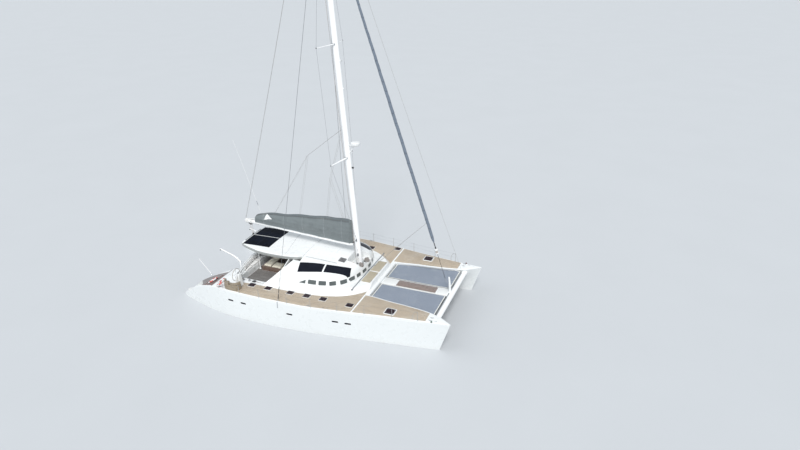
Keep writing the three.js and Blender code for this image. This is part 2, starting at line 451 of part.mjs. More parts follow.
// ---- helm stations at the quarters ------------------------------------------------------
const HELM = { x: -4950, y: 4380, wheel: 430, z: 2900 };
for (const [name, side] of sides) {
  const h = group(boat, [HELM.x, side * HELM.y, DECK_Z + GAP]);
  const console = loft([[0, 190, 230], [500, 160, 200], [960, 110, 150]].map(([z, a, b]) => [[-a + 30, -b], [a, -b], [a, b], [-a + 30, b]].map(([x, y]) => [x + 60, y, z])), 0, 1);
  add(`${name}_helm_console`, console, WHITE, h);
  // wheel: rim, spokes and hub, turning about +X
  let wheel = solid(bare(new THREE.TorusGeometry(HELM.wheel, 16, 8, 40)));
  const hub = new THREE.CylinderGeometry(52, 52, 40, 16);
  hub.rotateX(Math.PI / 2);
  wheel = wheel.add(solid(bare(hub)));
  for (let i = 0; i < 5; i++) {
    const spoke = new THREE.BoxGeometry(HELM.wheel, 18, 12);
    spoke.translate(HELM.wheel / 2, 0, 0);
    spoke.rotateZ(i * 2 * Math.PI / 5 + 0.3);
    wheel = wheel.add(solid(bare(spoke)));
  }
  const wg = geom(wheel);
  wg.rotateY(Math.PI / 2);
  add(`${name}_steering_wheel`, wg, STEEL, h, [-125, 0, HELM.z - DECK_Z - 60]);
  // bench curved along the deck edge, its back split in the middle, with the wheel inboard of it
  const ring = (a, b, turn) => turn.map(t => {
    const [c, q] = [Math.cos(t), Math.sin(t)];
    return [-170 + a * Math.sign(c) * Math.abs(c) ** 0.62, side * (330 + b * Math.abs(q) ** 0.62)];
  });
  const turn = Array.from({ length: 15 }, (_, i) => i / 14 * Math.PI);
  const sweep = (ao, bo, ai, bi) => [...ring(ao, bo, turn), ...ring(ai, bi, [...turn].reverse())];
  const bench = solid(raised(sweep(660, 510, 340, 200), 0, 400)).add(solid(raised(sweep(660, 510, 570, 420), 0, 700)))
    .subtract(solid(block(-200, -140, Math.min(0, side * 1200), Math.max(0, side * 1200), 430, 900)));
  add(`${name}_helm_seat`, geom(bench), TAN, h);
}

// ---- bow: crossbeam, post, catwalk, nets -----------------------------------------------
const oval = Array.from({ length: 12 }, (_, i) => [Math.cos((i + 0.5) / 12 * 2 * Math.PI) * BEAM_CHORD / 2 * 1.035, Math.sin((i + 0.5) / 12 * 2 * Math.PI) * BEAM_DEPTH / 2 * 1.035]);
let beam = solid(loft([-3700, 0, 3700].map(y => oval.map(([x, z]) => [BEAM_X + x, y, BEAM_Z + z])), 0, 2));
for (const [, side] of sides) beam = beam.subtract(hullSolid(side).translate([0, -side * GAP, 0]));
// keep only the length between the hulls
beam = beam.intersect(solid(block(8000, 10000, -3450, 3450, 1000, 2400)));
const beams = beam.decompose ? beam.decompose().sort((a, b) => b.volume() - a.volume()) : [beam];
add('bow_crossbeam', geom(beams[0]), MASTW);
add('forestay_post', bar([[9010, 0, 1850 + 6, 85, 75], [8990, 0, 2300, 80, 70], [8930, 0, 2960, 62, 60], [8900, 0, 3080, 40, 40]], 12), WHITE);
add('catwalk', block(BRIDGE_FWD + GAP, BEAM_X - BEAM_CHORD / 2 - 8, -CATWALK_Y, CATWALK_Y, 1790, 1870), TEAK);
for (const [name, side] of sides) {
  const xs = [4150, 5540, 7200, 8130, 8700];
  const edge = xs.map(x => [x, side * (HULL_Y - Math.max(along(HULL, 5, x - 0.3 * Math.max(0, x - 7000) / 2.55), along(HULL, 5, x)) - 75)]);
  const net = raised([[xs[0], side * (CATWALK_Y + 45)], ...edge, [8860, side * 3080], [8860, side * (CATWALK_Y + 45)]], 1862, 1872);
  add(`${name}_net`, net, NET);
}
add('jib_track', block(2945, 3005, -2850, 2850, PLINTH_TOP + GAP, PLINTH_TOP + 55), ALU);

// ---- mast and rig ---------------------------------------------------------------------------
const mastX = z => MAST_X - (z - 2920) * MAST_RAKE;
const rig = group(boat);
const mastRing = (z, k) => Array.from({ length: 14 }, (_, i) => {
  const a = i / 14 * 2 * Math.PI;
  return [mastX(z) + Math.cos(a) * MAST_CHORD / 2 * k, Math.sin(a) * MAST_WIDTH / 2 * k, z];
});
add('mast', loft([[MAST_FOOT, 1], [12000, 1], [HOUNDS_Z, 0.98], [MAST_TOP, 0.6]].map(([z, k]) => mastRing(z, k)), 0, 1), MASTW, rig);
// spreader pairs, each joined by a collar round the mast's back: z of the root, then the tip's x, y, z
const SPREADERS = [['lower_spreaders', 10700, 1330, 1600, 10580], ['upper_spreaders', 17900, 930, 1750, 17870]];
const mastSolid = k => solid(loft([[MAST_FOOT, k], [12000, k], [HOUNDS_Z, 0.98 * k], [MAST_TOP, 0.6 * k]].map(([z, q]) => mastRing(z, q)), 0, 1));
for (const [name, z, tx, ty, tz] of SPREADERS) {
  let s = solid(raised([[mastX(z) - 236, -60], [mastX(z) + 40, -158], [mastX(z) + 40, 158], [mastX(z) - 236, 60]], z - 45, z + 45));
  for (const [, side] of sides) s = s.add(solid(bar([[mastX(z) - 60, side * 110, z, 26, 75], [tx, side * ty, tz, 16, 36]], 8)));
  s = s.subtract(mastSolid(1.004));
  add(name, geom(s), MASTW, rig);
}
// radar on a bracket ahead of the mast
let radar = solid(bare(new THREE.CylinderGeometry(250, 310, 150, 20).rotateX(Math.PI / 2).translate(2370, 0, 11750)))
  .add(solid(bare(new THREE.CylinderGeometry(310, 270, 90, 20).rotateX(Math.PI / 2).translate(2370, 0, 11631))))
  .add(solid(block(mastX(11550) + 60, 2420, -90, 90, 11530, 11590)));
radar = radar.subtract(mastSolid(1.004));
add('radar', geom(radar), MASTW, rig);

// main stays: foot, head, radius
const SHROUD = { x: -1310, y: 5210, z: DECK_Z + 8, r: 11 };
for (const [name, side] of sides) {
  const foot = [SHROUD.x, side * SHROUD.y, SHROUD.z], head = [HOUNDS_X + 30, side * 175, HOUNDS_Z];
  const at = t => foot.map((f, i) => f + t * (head[i] - f));
  add(`${name}_shroud`, bar([[...foot, 34, 34], [...at(0.012), 30, 30], [...at(0.03), 26, 26], [...at(0.034), SHROUD.r, SHROUD.r], [...head, SHROUD.r, SHROUD.r]], 8), STEEL, rig);
}
const STAY_FOOT = [8745, 0, 2600], STAY_HEAD = [HOUNDS_X + 245, 0, HOUNDS_Z];
const onStay = t => STAY_FOOT.map((f, i) => f + t * (STAY_HEAD[i] - f));
add('forestay_and_jib', bar([[...onStay(0), 14], [...onStay(0.088), 14], [...onStay(0.089), 120], [...onStay(0.092), 120], [...onStay(0.093), 60], [...onStay(0.098), 60], [...onStay(0.099), 125], [...onStay(0.103), 125], [...onStay(0.104), 45],
  [...onStay(0.122), 50], [...onStay(0.134), 105], [...onStay(0.5), 105], [...onStay(0.9), 62], [...onStay(0.925), 40], [...onStay(0.928), 14], [...onStay(1), 14]], 10), JIB, rig);

// boom with the mainsail stowed in its bag
const boomZ = x => GOOSE[2] + (BOOM_END[2] - GOOSE[2]) * (GOOSE[0] - x) / (GOOSE[0] - BOOM_END[0]);
const boomRing = (x, w, h) => Array.from({ length: 12 }, (_, i) => {
  const a = (i + 0.5) / 12 * 2 * Math.PI;
  return [x, Math.cos(a) * w, boomZ(x) + Math.sin(a) * h];
});
const arm = group(boat);
const BOOM = [[1840, 55, 60], [1700, 85, 100], [1400, 100, 120], [-6600, 100, 120], [-7050, 80, 100]]; // x, half width, half height
const boom = solid(loft(BOOM.map(r => boomRing(...r))));
add('boom', geom(boom), MASTW, arm);
// bag sections: x, z of the top, half widths at the foot, the middle and the top
const BAGS = [[-6330, 5030, 118, 116, 60], [-5850, 5530, 122, 170, 60], [-4900, 5745, 125, 200, 70], [-3430, 5880, 125, 225, 85], [-1640, 6060, 125, 225, 85], [-280, 6170, 125, 220, 85], [920, 6215, 122, 205, 80], [1640, 6240, 118, 170, 70]];
const bag = solid(loft(BAGS.map(([x, zt, a, b, c]) => {
  const z0 = boomZ(x) + 10, m = z0 + (zt - z0) * 0.45;
  return [[x, -a, z0], [x, a, z0], [x, b, m], [x, c, zt - 60], [x, 0, zt], [x, -c, zt - 60], [x, -b, m]];
}))).subtract(solid(loft(BOOM.map(([x, w, h]) => boomRing(x, w + 1, h + 1)))));
add('mainsail_bag', geom(bag), BAG, arm);

// ---- davits, antenna, flagstaff -----------------------------------------------------------
for (const [name, side] of sides) {
  const y = side * 1900;
  const arms = solid(bar([[-6560, y, FLOOR_Z + GAP, 60], [-6560, y, 2350, 55]], 10))
    .add(solid(bar([[-6480, y, 2300, 62, 55], [-7000, y, 2690, 55, 50], [-8250, y, 3120, 40, 42]], 10)));
  add(`${name}_davit`, geom(arms), WHITE);
}
add('whip_antenna', bar([[-7080, 2990, 1880, 24], [-7160, 2990, 2140, 24], [-7164, 2990, 2155, 14], [-9560, 2990, 9900, 8]], 8), WHITE);
add('flagstaff', bar([[-8215, -3150, 1505, 20], [-9210, -3150, 2710, 14]], 8), ALU);

export default boat;
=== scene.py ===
# Looks of the sailing catamaran: metres, +X towards the bow, +Y to port, +Z up, waterline at z = 0.
import bpy
import bmesh
import math
import random
from mathutils import Matrix, Vector, noise as mnoise
from mathutils.bvhtree import BVHTree


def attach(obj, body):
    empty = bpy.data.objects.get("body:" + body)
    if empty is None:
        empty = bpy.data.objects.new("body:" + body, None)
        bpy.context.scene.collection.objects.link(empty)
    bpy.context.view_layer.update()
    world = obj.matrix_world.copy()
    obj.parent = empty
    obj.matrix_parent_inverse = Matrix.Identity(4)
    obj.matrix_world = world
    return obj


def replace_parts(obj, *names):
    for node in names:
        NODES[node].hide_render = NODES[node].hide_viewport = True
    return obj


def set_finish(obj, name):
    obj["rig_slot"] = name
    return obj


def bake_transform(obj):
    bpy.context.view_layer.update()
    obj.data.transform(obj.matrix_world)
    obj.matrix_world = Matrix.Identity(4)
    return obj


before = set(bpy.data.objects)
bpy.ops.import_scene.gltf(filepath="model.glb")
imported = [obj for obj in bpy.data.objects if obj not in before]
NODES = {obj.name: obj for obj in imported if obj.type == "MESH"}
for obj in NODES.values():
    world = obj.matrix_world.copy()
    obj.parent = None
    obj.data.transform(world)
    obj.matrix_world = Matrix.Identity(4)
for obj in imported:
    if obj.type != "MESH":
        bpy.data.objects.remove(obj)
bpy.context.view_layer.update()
random.seed(7)
SIDES = (("starboard", -1), ("port", 1))


# ---------------------------------------------------------------- camera
def look():
    pitch, yaw, roll = 0.435266, 1.94814, 0.012016
    f = Vector((math.cos(pitch) * math.cos(yaw), math.cos(pitch) * math.sin(yaw), -math.sin(pitch)))
    r = Vector((math.sin(yaw), -math.cos(yaw), 0))
    d = f.cross(r)
    right = math.cos(roll) * r + math.sin(roll) * d
    down = -math.sin(roll) * r + math.cos(roll) * d
    cam = bpy.data.objects.new("camera", bpy.data.cameras.new("camera"))
    cam.matrix_world = Matrix(((right.x, -down.x, -f.x, 18.62), (right.y, -down.y, -f.y, -33.34), (right.z, -down.z, -f.z, 23.05), (0, 0, 0, 1)))
    cam.data.sensor_fit = "HORIZONTAL"
    cam.data.sensor_width = 36
    cam.data.lens = 36 * 591.34 / 800
    cam.data.clip_start, cam.data.clip_end = 0.5, 3000
    bpy.context.scene.collection.objects.link(cam)
    bpy.context.scene.camera = cam


look()


# ---------------------------------------------------------------- tables of the hull and cabin, in millimetres
DECK, FLOOR, TUNNEL, HULL_Y = 2030, 1500, 950, 3900
STEM_RAKE = 0.33
# station x, half beams from the hull's own centreplane (outer waterline, outer deck, inner waterline, inner knuckle, inner deck), sheer, bottom
HULL = [
    [-10250, 110, 90, 110, 100, 90, 150, -30], [-9900, 300, 280, 300, 290, 280, 350, -100], [-9500, 450, 430, 450, 440, 430, 620, -180],
    [-9000, 590, 570, 590, 580, 570, 1050, -270], [-8500, 730, 715, 730, 720, 710, 1330, -350], [-7900, 900, 880, 880, 880, 870, 1590, -430],
    [-7300, 1050, 1035, 1000, 1120, 1160, 1800, -500], [-6800, 1150, 1140, 1090, 1449, 1449, 1940, -540], [-6300, 1240, 1230, 1180, 1450, 1450, DECK, -580],
    [-5450, 1350, 1335, 1290, 1450, 1450, DECK, -640], [-2940, 1450, 1430, 1390, 1450, 1450, DECK, -750], [70, 1320, 1370, 1280, 1450, 1450, DECK, -780],
    [2870, 990, 1060, 960, 1450, 1450, DECK, -740], [4150, 820, 860, 790, 1420, 1440, DECK, -700], [5540, 610, 640, 600, 950, 1270, DECK, -640],
    [7200, 380, 400, 370, 620, 1110, DECK, -550], [8130, 240, 250, 235, 420, 930, DECK, -480], [8900, 120, 130, 115, 240, 580, DECK, -410],
    [9550, 22, 24, 22, 23, 24, DECK, -300],
]
# cabin side and roof: half width, forward end, squareness of the front, z aft, z front
SHELL_AFT = -3600
SHELL = [
    [3500, 2930, 6.5, 2380, 2380], [3450, 2905, 6.5, 2560, 2520], [3360, 2875, 6.5, 2740, 2700], [3170, 2845, 7, 2940, 2900], [2920, 2805, 7.5, 3110, 3050],
    [2600, 2755, 8, 3270, 3170], [2250, 2690, 8, 3400, 3260], [1750, 2560, 7, 3530, 3330], [1200, 2350, 6, 3620, 3390], [600, 2000, 5, 3675, 3440],
    [280, 1750, 4, 3688, 3451], [20, 1500, 3, 3692, 3455],
]
PLINTH = [[3880, 4400, 4, 2030.3], [3860, 4390, 4, 2085], [3690, 4290, 4, 2230], [3545, 4210, 4, 2350], [3500, 4180, 4, 2400]]
KEEP = [[-3560, 1900], [-1900, 3400], [-1300, 3400], [-1300, 4500], [6000, 4500], [6000, 1900]]
STEPS = [[-10400, 450], [-8950, 450], [-8950, 800], [-8450, 800], [-8450, 1120], [-7950, 1120], [-7950, 1400], [-7450, 1400], [-7450, 1660], [-6870, 1660], [-6870, 2600], [-10400, 2600]]
# hardtop: x, half width, z of the edge, z of the crown
HARDTOP = [[-6620, 1330, 3640, 3685], [-6585, 1400, 3640, 3690], [-6480, 1460, 3642, 3695], [-6200, 1600, 3650, 3705], [-5500, 1860, 3655, 3728], [-4600, 2090, 3660, 3747],
           [-3700, 2170, 3665, 3760], [-2700, 2150, 3665, 3760], [-1800, 2010, 3655, 3748], [-1300.3, 1800, 3640, 3730]]
# small windows: x, y, heading, width, height, z
SMALL = [[-450, 3370, 87, 460, 220, 2695], [250, 3290, 83, 600, 250, 2720], [970, 3170, 76, 530, 260, 2715], [1620, 2910, 62, 460, 270, 2690],
         [2210, 2420, 40, 520, 280, 2660], [2565, 1790, 24, 470, 270, 2655], [2755, 1170, 13, 440, 260, 2650], [2850, 430, 4, 540, 250, 2640]]
# edges of the two large panes of a roof window: x, distance from the centreplane
PANE_TOP = [[-1230, 2190], [-620, 2050], [90, 1910], [620, 1840], [1240, 1740], [1800, 1630], [2360, 1470]]
PANE_LOW = [[-1050, 2950], [-160, 2770], [660, 2580], [1390, 2430], [1890, 2300], [2480, 2050]]


def along(table, column, x):
    n = len(table)
    if x <= table[0][0]:
        return table[0][column]
    if x >= table[-1][0]:
        return table[-1][column]
    d = lambda i: (table[i + 1][column] - table[i][column]) / (table[i + 1][0] - table[i][0])

    def slope(i):
        if i == 0:
            return d(0)
        if i == n - 1:
            return d(n - 2)
        return 0 if d(i - 1) * d(i) <= 0 else 2 * d(i - 1) * d(i) / (d(i - 1) + d(i))
    i = 0
    while x > table[i + 1][0]:
        i += 1
    h = table[i + 1][0] - table[i][0]
    t = (x - table[i][0]) / h
    return ((1 + 2 * t) * (1 - t) ** 2 * table[i][column] + t * (1 - t) ** 2 * h * slope(i)
            + t * t * (3 - 2 * t) * table[i + 1][column] + t * t * (t - 1) * h * slope(i + 1))


def mm(*p):
    return tuple(c / 1000 for c in p)


# ---------------------------------------------------------------- mesh building
class Build:
    """Collects faces of one piece; each face keeps the index of its material."""

    def __init__(self):
        self.v, self.f, self.m = [], [], []

    def add(self, verts, faces, mi=0):
        base = len(self.v)
        self.v += [tuple(p) for p in verts]
        self.f += [[base + i for i in q] for q in faces]
        self.m += [mi] * len(faces)
        return self

    def loft(self, rings, mi=0, caps=True, closed=True):
        n = len(rings[0])
        faces = []
        for i in range(len(rings) - 1):
            for j in range(n if closed else n - 1):
                a, b = i * n + j, i * n + (j + 1) % n
                faces.append([a, b, b + n, a + n])
        if caps:
            faces.append(list(range(n)))
            faces.append([(len(rings) - 1) * n + j for j in range(n)])
        return self.add([p for r in rings for p in r], faces, mi)

    def tube(self, pts, r, sides=10, mi=0, caps=True, flat=1.0, up=None):
        pts = [Vector(p) for p in pts]
        rs = r if hasattr(r, "__len__") else [r] * len(pts)
        rings, ref = [], None
        for i, p in enumerate(pts):
            t = ((pts[i + 1] - p) if i == 0 else (p - pts[i - 1]) if i == len(pts) - 1 else (pts[i + 1] - pts[i - 1])).normalized()
            if ref is None:
                ref = Vector(up) if up else (Vector((0, 0, 1)) if abs(t.z) < 0.9 else Vector((1, 0, 0)))
            a = ref - t * ref.dot(t)
            a.normalize()
            b = t.cross(a)
            ref = a
            rings.append([p + a * math.cos(k / sides * 2 * math.pi) * rs[i] * flat + b * math.sin(k / sides * 2 * math.pi) * rs[i] for k in range(sides)])
        return self.loft(rings, mi, caps)

    def lathe(self, profile, origin=(0, 0, 0), axis=(0, 0, 1), seg=24, mi=0, ref=None):
        """profile: (radius, distance along the axis)"""
        ax = Vector(axis).normalized()
        a = (Vector(ref) if ref else (Vector((1, 0, 0)) if abs(ax.x) < 0.9 else Vector((0, 1, 0))))
        a = (a - ax * a.dot(ax)).normalized()
        b = ax.cross(a)
        o = Vector(origin)
        rings = [[o + ax * h + (a * math.cos(k / seg * 2 * math.pi) + b * math.sin(k / seg * 2 * math.pi)) * max(r, 1e-4) for k in range(seg)] for r, h in profile]
        return self.loft(rings, mi)

    def box(self, lo, hi, r=0.0, mi=0, seg=2, turn=None, at=None):
        bm = bmesh.new()
        bmesh.ops.create_cube(bm, size=1)
        size = [hi[i] - lo[i] for i in range(3)]
        mid = [(hi[i] + lo[i]) / 2 for i in range(3)]
        for v in bm.verts:
            v.co = Vector((v.co.x * size[0], v.co.y * size[1], v.co.z * size[2]))
        if r > 0:
            bmesh.ops.bevel(bm, geom=bm.edges[:], offset=min(r, min(size) * 0.49), segments=seg, profile=0.5, affect="EDGES")
        m = (turn.to_4x4() if turn else Matrix.Identity(4))
        for v in bm.verts:
            v.co = m @ v.co + Vector(mid if at is None else at)
        bm.verts.index_update()
        self.add([v.co.copy() for v in bm.verts], [[v.index for v in f.verts] for f in bm.faces], mi)
        bm.free()
        return self

    def prism(self, outline, z0, z1, mi=0):
        """an outline of (x, y) raised from z0 to z1, which may be functions of x and y"""
        n = len(outline)
        f0 = z0 if callable(z0) else (lambda x, y: z0)
        f1 = z1 if callable(z1) else (lambda x, y: z1)
        v = [(x, y, f0(x, y)) for x, y in outline] + [(x, y, f1(x, y)) for x, y in outline]
        faces = [[i, (i + 1) % n, n + (i + 1) % n, n + i] for i in range(n)] + [list(range(n)), [n + i for i in range(n)]]
        return self.add(v, faces, mi)

    def raw(self, name):
        me = bpy.data.meshes.new(name)
        me.from_pydata([list(p) for p in self.v], [], self.f)
        me.update()
        bm = bmesh.new()
        bm.from_mesh(me)
        bmesh.ops.remove_doubles(bm, verts=bm.verts, dist=1e-6)
        bmesh.ops.recalc_face_normals(bm, faces=bm.faces)
        bm.to_mesh(me)
        bm.free()
        ob = bpy.data.objects.new(name, me)
        bpy.context.scene.collection.objects.link(ob)
        return ob

    def make(self, name, mats, body="root", sharp=32, slot=None, merge=True):
        me = bpy.data.meshes.new(name)
        me.from_pydata([list(p) for p in self.v], [], self.f)
        me.update()
        mats = mats if isinstance(mats, (list, tuple)) else [mats]
        for m in mats:
            me.materials.append(m)
        for p, mi in zip(me.polygons, self.m):
            p.material_index = mi
        ob = bpy.data.objects.new(name, me)
        bpy.context.scene.collection.objects.link(ob)
        soften(ob, sharp, merge)
        if body:
            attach(ob, body)
        if slot:
            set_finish(ob, slot)
        return ob


def soften(ob, sharp=32, merge=True):
    """smooth shading with creases kept where faces meet at more than the angle"""
    bm = bmesh.new()
    bm.from_mesh(ob.data)
    if merge:
        bmesh.ops.remove_doubles(bm, verts=bm.verts, dist=1e-6)
        bmesh.ops.recalc_face_normals(bm, faces=bm.faces)
    lim = math.radians(sharp)
    for e in bm.edges:
        e.smooth = len(e.link_faces) == 2 and e.calc_face_angle(4) < lim
    for f in bm.faces:
        f.smooth = True
    bm.to_mesh(ob.data)
    bm.free()


def carve(ob, cutter, op="DIFFERENCE", keep=False):
    m = ob.modifiers.new("carve", "BOOLEAN")
    m.object = cutter
    m.operation = op
    m.solver = "EXACT"
    bpy.context.view_layer.update()
    dg = bpy.context.evaluated_depsgraph_get()
    me = bpy.data.meshes.new_from_object(ob.evaluated_get(dg))
    ob.modifiers.clear()
    old = ob.data
    ob.data = me
    bpy.data.meshes.remove(old)
    if not keep:
        bpy.data.objects.remove(cutter)
    return ob


def dress(ob, name, mats, body="root", sharp=32, slot=None, replaces=()):
    ob.name = name
    ob.data.materials.clear()
    for m in (mats if isinstance(mats, (list, tuple)) else [mats]):
        ob.data.materials.append(m)
    soften(ob, sharp)
    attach(ob, body)
    if slot:
        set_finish(ob, slot)
    if replaces:
        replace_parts(ob, *replaces)
    return ob


def curve(pts, n):
    """n points on a smooth line through pts"""
    pts = [Vector(p) for p in pts]
    out = []
    m = len(pts) - 1
    for k in range(n):
        s = k / (n - 1) * m
        i = min(int(s), m - 1)
        t = s - i
        p0, p1, p2, p3 = pts[max(i - 1, 0)], pts[i], pts[i + 1], pts[min(i + 2, m)]
        out.append(0.5 * ((2 * p1) + (p2 - p0) * t + (2 * p0 - 5 * p1 + 4 * p2 - p3) * t * t + (3 * p1 - p0 - 3 * p2 + p3) * t ** 3))
    return out


# ---------------------------------------------------------------- materials
def lin(r, g, b):
    def f(c):
        c /= 255
        return c / 12.92 if c <= 0.04045 else ((c + 0.055) / 1.055) ** 2.4
    return (f(r), f(g), f(b), 1)


class Mat:
    """A node material on object coordinates, built step by step."""

    def __init__(self, name, colour, rough=0.5, metal=0.0, coat=0.0, spec=None, sheen=0.0, trans=0.0):
        self.m = bpy.data.materials.new(name)
        self.m.use_nodes = True
        self.t = self.m.node_tree
        self.t.nodes.clear()
        out = self.t.nodes.new("ShaderNodeOutputMaterial")
        self.s = self.t.nodes.new("ShaderNodeBsdfPrincipled")
        self.t.links.new(self.s.outputs[0], out.inputs[0])
        self.co = self.t.nodes.new("ShaderNodeTexCoord").outputs["Object"]
        self.col = None
        self.base = colour
        self.rough = rough
        self.height = None
        self.s.inputs["Base Color"].default_value = colour
        self.s.inputs["Roughness"].default_value = rough
        self.s.inputs["Metallic"].default_value = metal
        if coat:
            self.s.inputs["Coat Weight"].default_value = coat
            self.s.inputs["Coat Roughness"].default_value = 0.12
        if spec is not None:
            self.s.inputs["Specular IOR Level"].default_value = spec
        if sheen:
            self.s.inputs["Sheen Weight"].default_value = sheen
            self.s.inputs["Sheen Roughness"].default_value = 0.5
        if trans:
            self.s.inputs["Transmission Weight"].default_value = trans

    def node(self, kind, **kw):
        n = self.t.nodes.new(kind)
        for k, v in kw.items():
            setattr(n, k, v)
        return n

    def link(self, a, b):
        self.t.links.new(a, b)

    def coords(self, scale=(1, 1, 1), turn=(0, 0, 0), move=(0, 0, 0)):
        n = self.node("ShaderNodeMapping")
        n.inputs["Scale"].default_value = scale
        n.inputs["Rotation"].default_value = turn
        n.inputs["Location"].default_value = move
        self.link(self.co, n.inputs["Vector"])
        return n.outputs[0]

    def noise(self, scale, detail=3, stretch=(1, 1, 1), turn=(0, 0, 0), dist=0.0, rough=0.55):
        n = self.node("ShaderNodeTexNoise")
        n.inputs["Scale"].default_value = scale
        n.inputs["Detail"].default_value = detail
        n.inputs["Roughness"].default_value = rough
        n.inputs["Distortion"].default_value = dist
        self.link(self.coords(stretch, turn), n.inputs["Vector"])
        return n.outputs["Fac"]

    def cells(self, scale, stretch=(1, 1, 1), feature="F1"):
        n = self.node("ShaderNodeTexVoronoi", feature=feature)
        n.inputs["Scale"].default_value = scale
        self.link(self.coords(stretch), n.inputs["Vector"])
        return n.outputs["Distance"]

    def axis(self, i, turn=(0, 0, 0)):
        n = self.node("ShaderNodeSeparateXYZ")
        self.link(self.coords(turn=turn) if turn != (0, 0, 0) else self.co, n.inputs[0])
        return n.outputs[i]

    def math(self, op, a, b=None, c=None, clamp=False):
        n = self.node("ShaderNodeMath", operation=op, use_clamp=clamp)
        for i, v in enumerate((a, b, c)):
            if v is None:
                continue
            if isinstance(v, (int, float)):
                n.inputs[i].default_value = v
            else:
                self.link(v, n.inputs[i])
        return n.outputs[0]

    def step(self, v, lo, hi, a=0.0, b=1.0, smooth=True):
        n = self.node("ShaderNodeMapRange", interpolation_type="SMOOTHSTEP" if smooth else "LINEAR")
        self.link(v, n.inputs["Value"])
        for k, x in (("From Min", lo), ("From Max", hi), ("To Min", a), ("To Max", b)):
            n.inputs[k].default_value = x
        return n.outputs["Result"]

    def tint(self, fac, colour, amount=1.0, mode="MIX"):
        """lays a colour over what is there, by fac times amount"""
        n = self.node("ShaderNodeMix", data_type="RGBA", blend_type=mode)
        if amount != 1.0:
            fac = self.math("MULTIPLY", fac, amount)
        self.link(fac, n.inputs["Factor"])
        if self.col is None:
            n.inputs[6].default_value = self.base
        else:
            self.link(self.col, n.inputs[6])
        n.inputs[7].default_value = colour
        self.col = n.outputs[2]
        return self

    def vary(self, fac, spread):
        """light and dark around the colour"""
        n = self.node("ShaderNodeMix", data_type="RGBA", blend_type="MULTIPLY")
        n.inputs["Factor"].default_value = 1.0
        if self.col is None:
            n.inputs[6].default_value = self.base
        else:
            self.link(self.col, n.inputs[6])
        v = self.step(fac, 0.25, 0.75, 1 - spread, 1 + spread * 0.5, smooth=False)
        c = self.node("ShaderNodeCombineColor")
        for i in range(3):
            self.link(v, c.inputs[i])
        self.link(c.outputs[0], n.inputs[7])
        self.col = n.outputs[2]
        return self

    def shine(self, fac, spread):
        self.link(self.step(fac, 0.25, 0.75, max(0.02, self.rough - spread), min(1, self.rough + spread), smooth=False), self.s.inputs["Roughness"])
        return self

    def relief(self, fac, mm_high):
        """adds height in millimetres"""
        h = self.math("MULTIPLY", fac, mm_high / 1000)
        self.height = h if self.height is None else self.math("ADD", self.height, h)
        return self

    def done(self):
        if self.col is not None:
            self.link(self.col, self.s.inputs["Base Color"])
        if self.height is not None:
            b = self.node("ShaderNodeBump")
            b.inputs["Strength"].default_value = 1.0
            b.inputs["Distance"].default_value = 1.0
            self.link(self.height, b.inputs["Height"])
            self.link(b.outputs[0], self.s.inputs["Normal"])
        return self.m


def m_gelcoat(name="gelcoat", c=(0.83, 0.845, 0.845, 1), streaks=0.22, scum=0.0):
    k = Mat(name, c, 0.3, coat=0.45)
    k.vary(k.noise(0.55, 3), 0.014)
    k.tint(k.step(k.noise(3.2, 4, stretch=(2.2, 2.2, 0.16)), 0.58, 0.80), lin(200, 202, 194), streaks)
    k.tint(k.step(k.noise(38, 3), 0.66, 0.72), lin(190, 192, 188), 0.12)
    if scum:
        low = k.step(k.axis(2), 0.02, 0.42, 1, 0)
        k.tint(k.math("MULTIPLY", low, k.step(k.noise(2.6, 5, stretch=(1, 1, 3)), 0.3, 0.75)), lin(196, 190, 150), scum)
    k.shine(k.noise(2.5, 4), 0.08)
    k.relief(k.noise(0.9, 1), 0.5).relief(k.noise(260, 1), 0.02)
    return k.done()


def m_nonskid(name="nonskid", c=(0.78, 0.79, 0.785, 1)):
    k = Mat(name, c, 0.55)
    k.vary(k.noise(0.9, 4), 0.03)
    k.tint(k.step(k.noise(7, 5), 0.58, 0.76), lin(170, 168, 160), 0.25)
    d = k.cells(190)
    k.tint(k.step(d, 0.42, 0.75), lin(188, 188, 182), 0.35)
    k.relief(k.step(d, 0.15, 0.55, 1, 0), 0.6)
    return k.done()


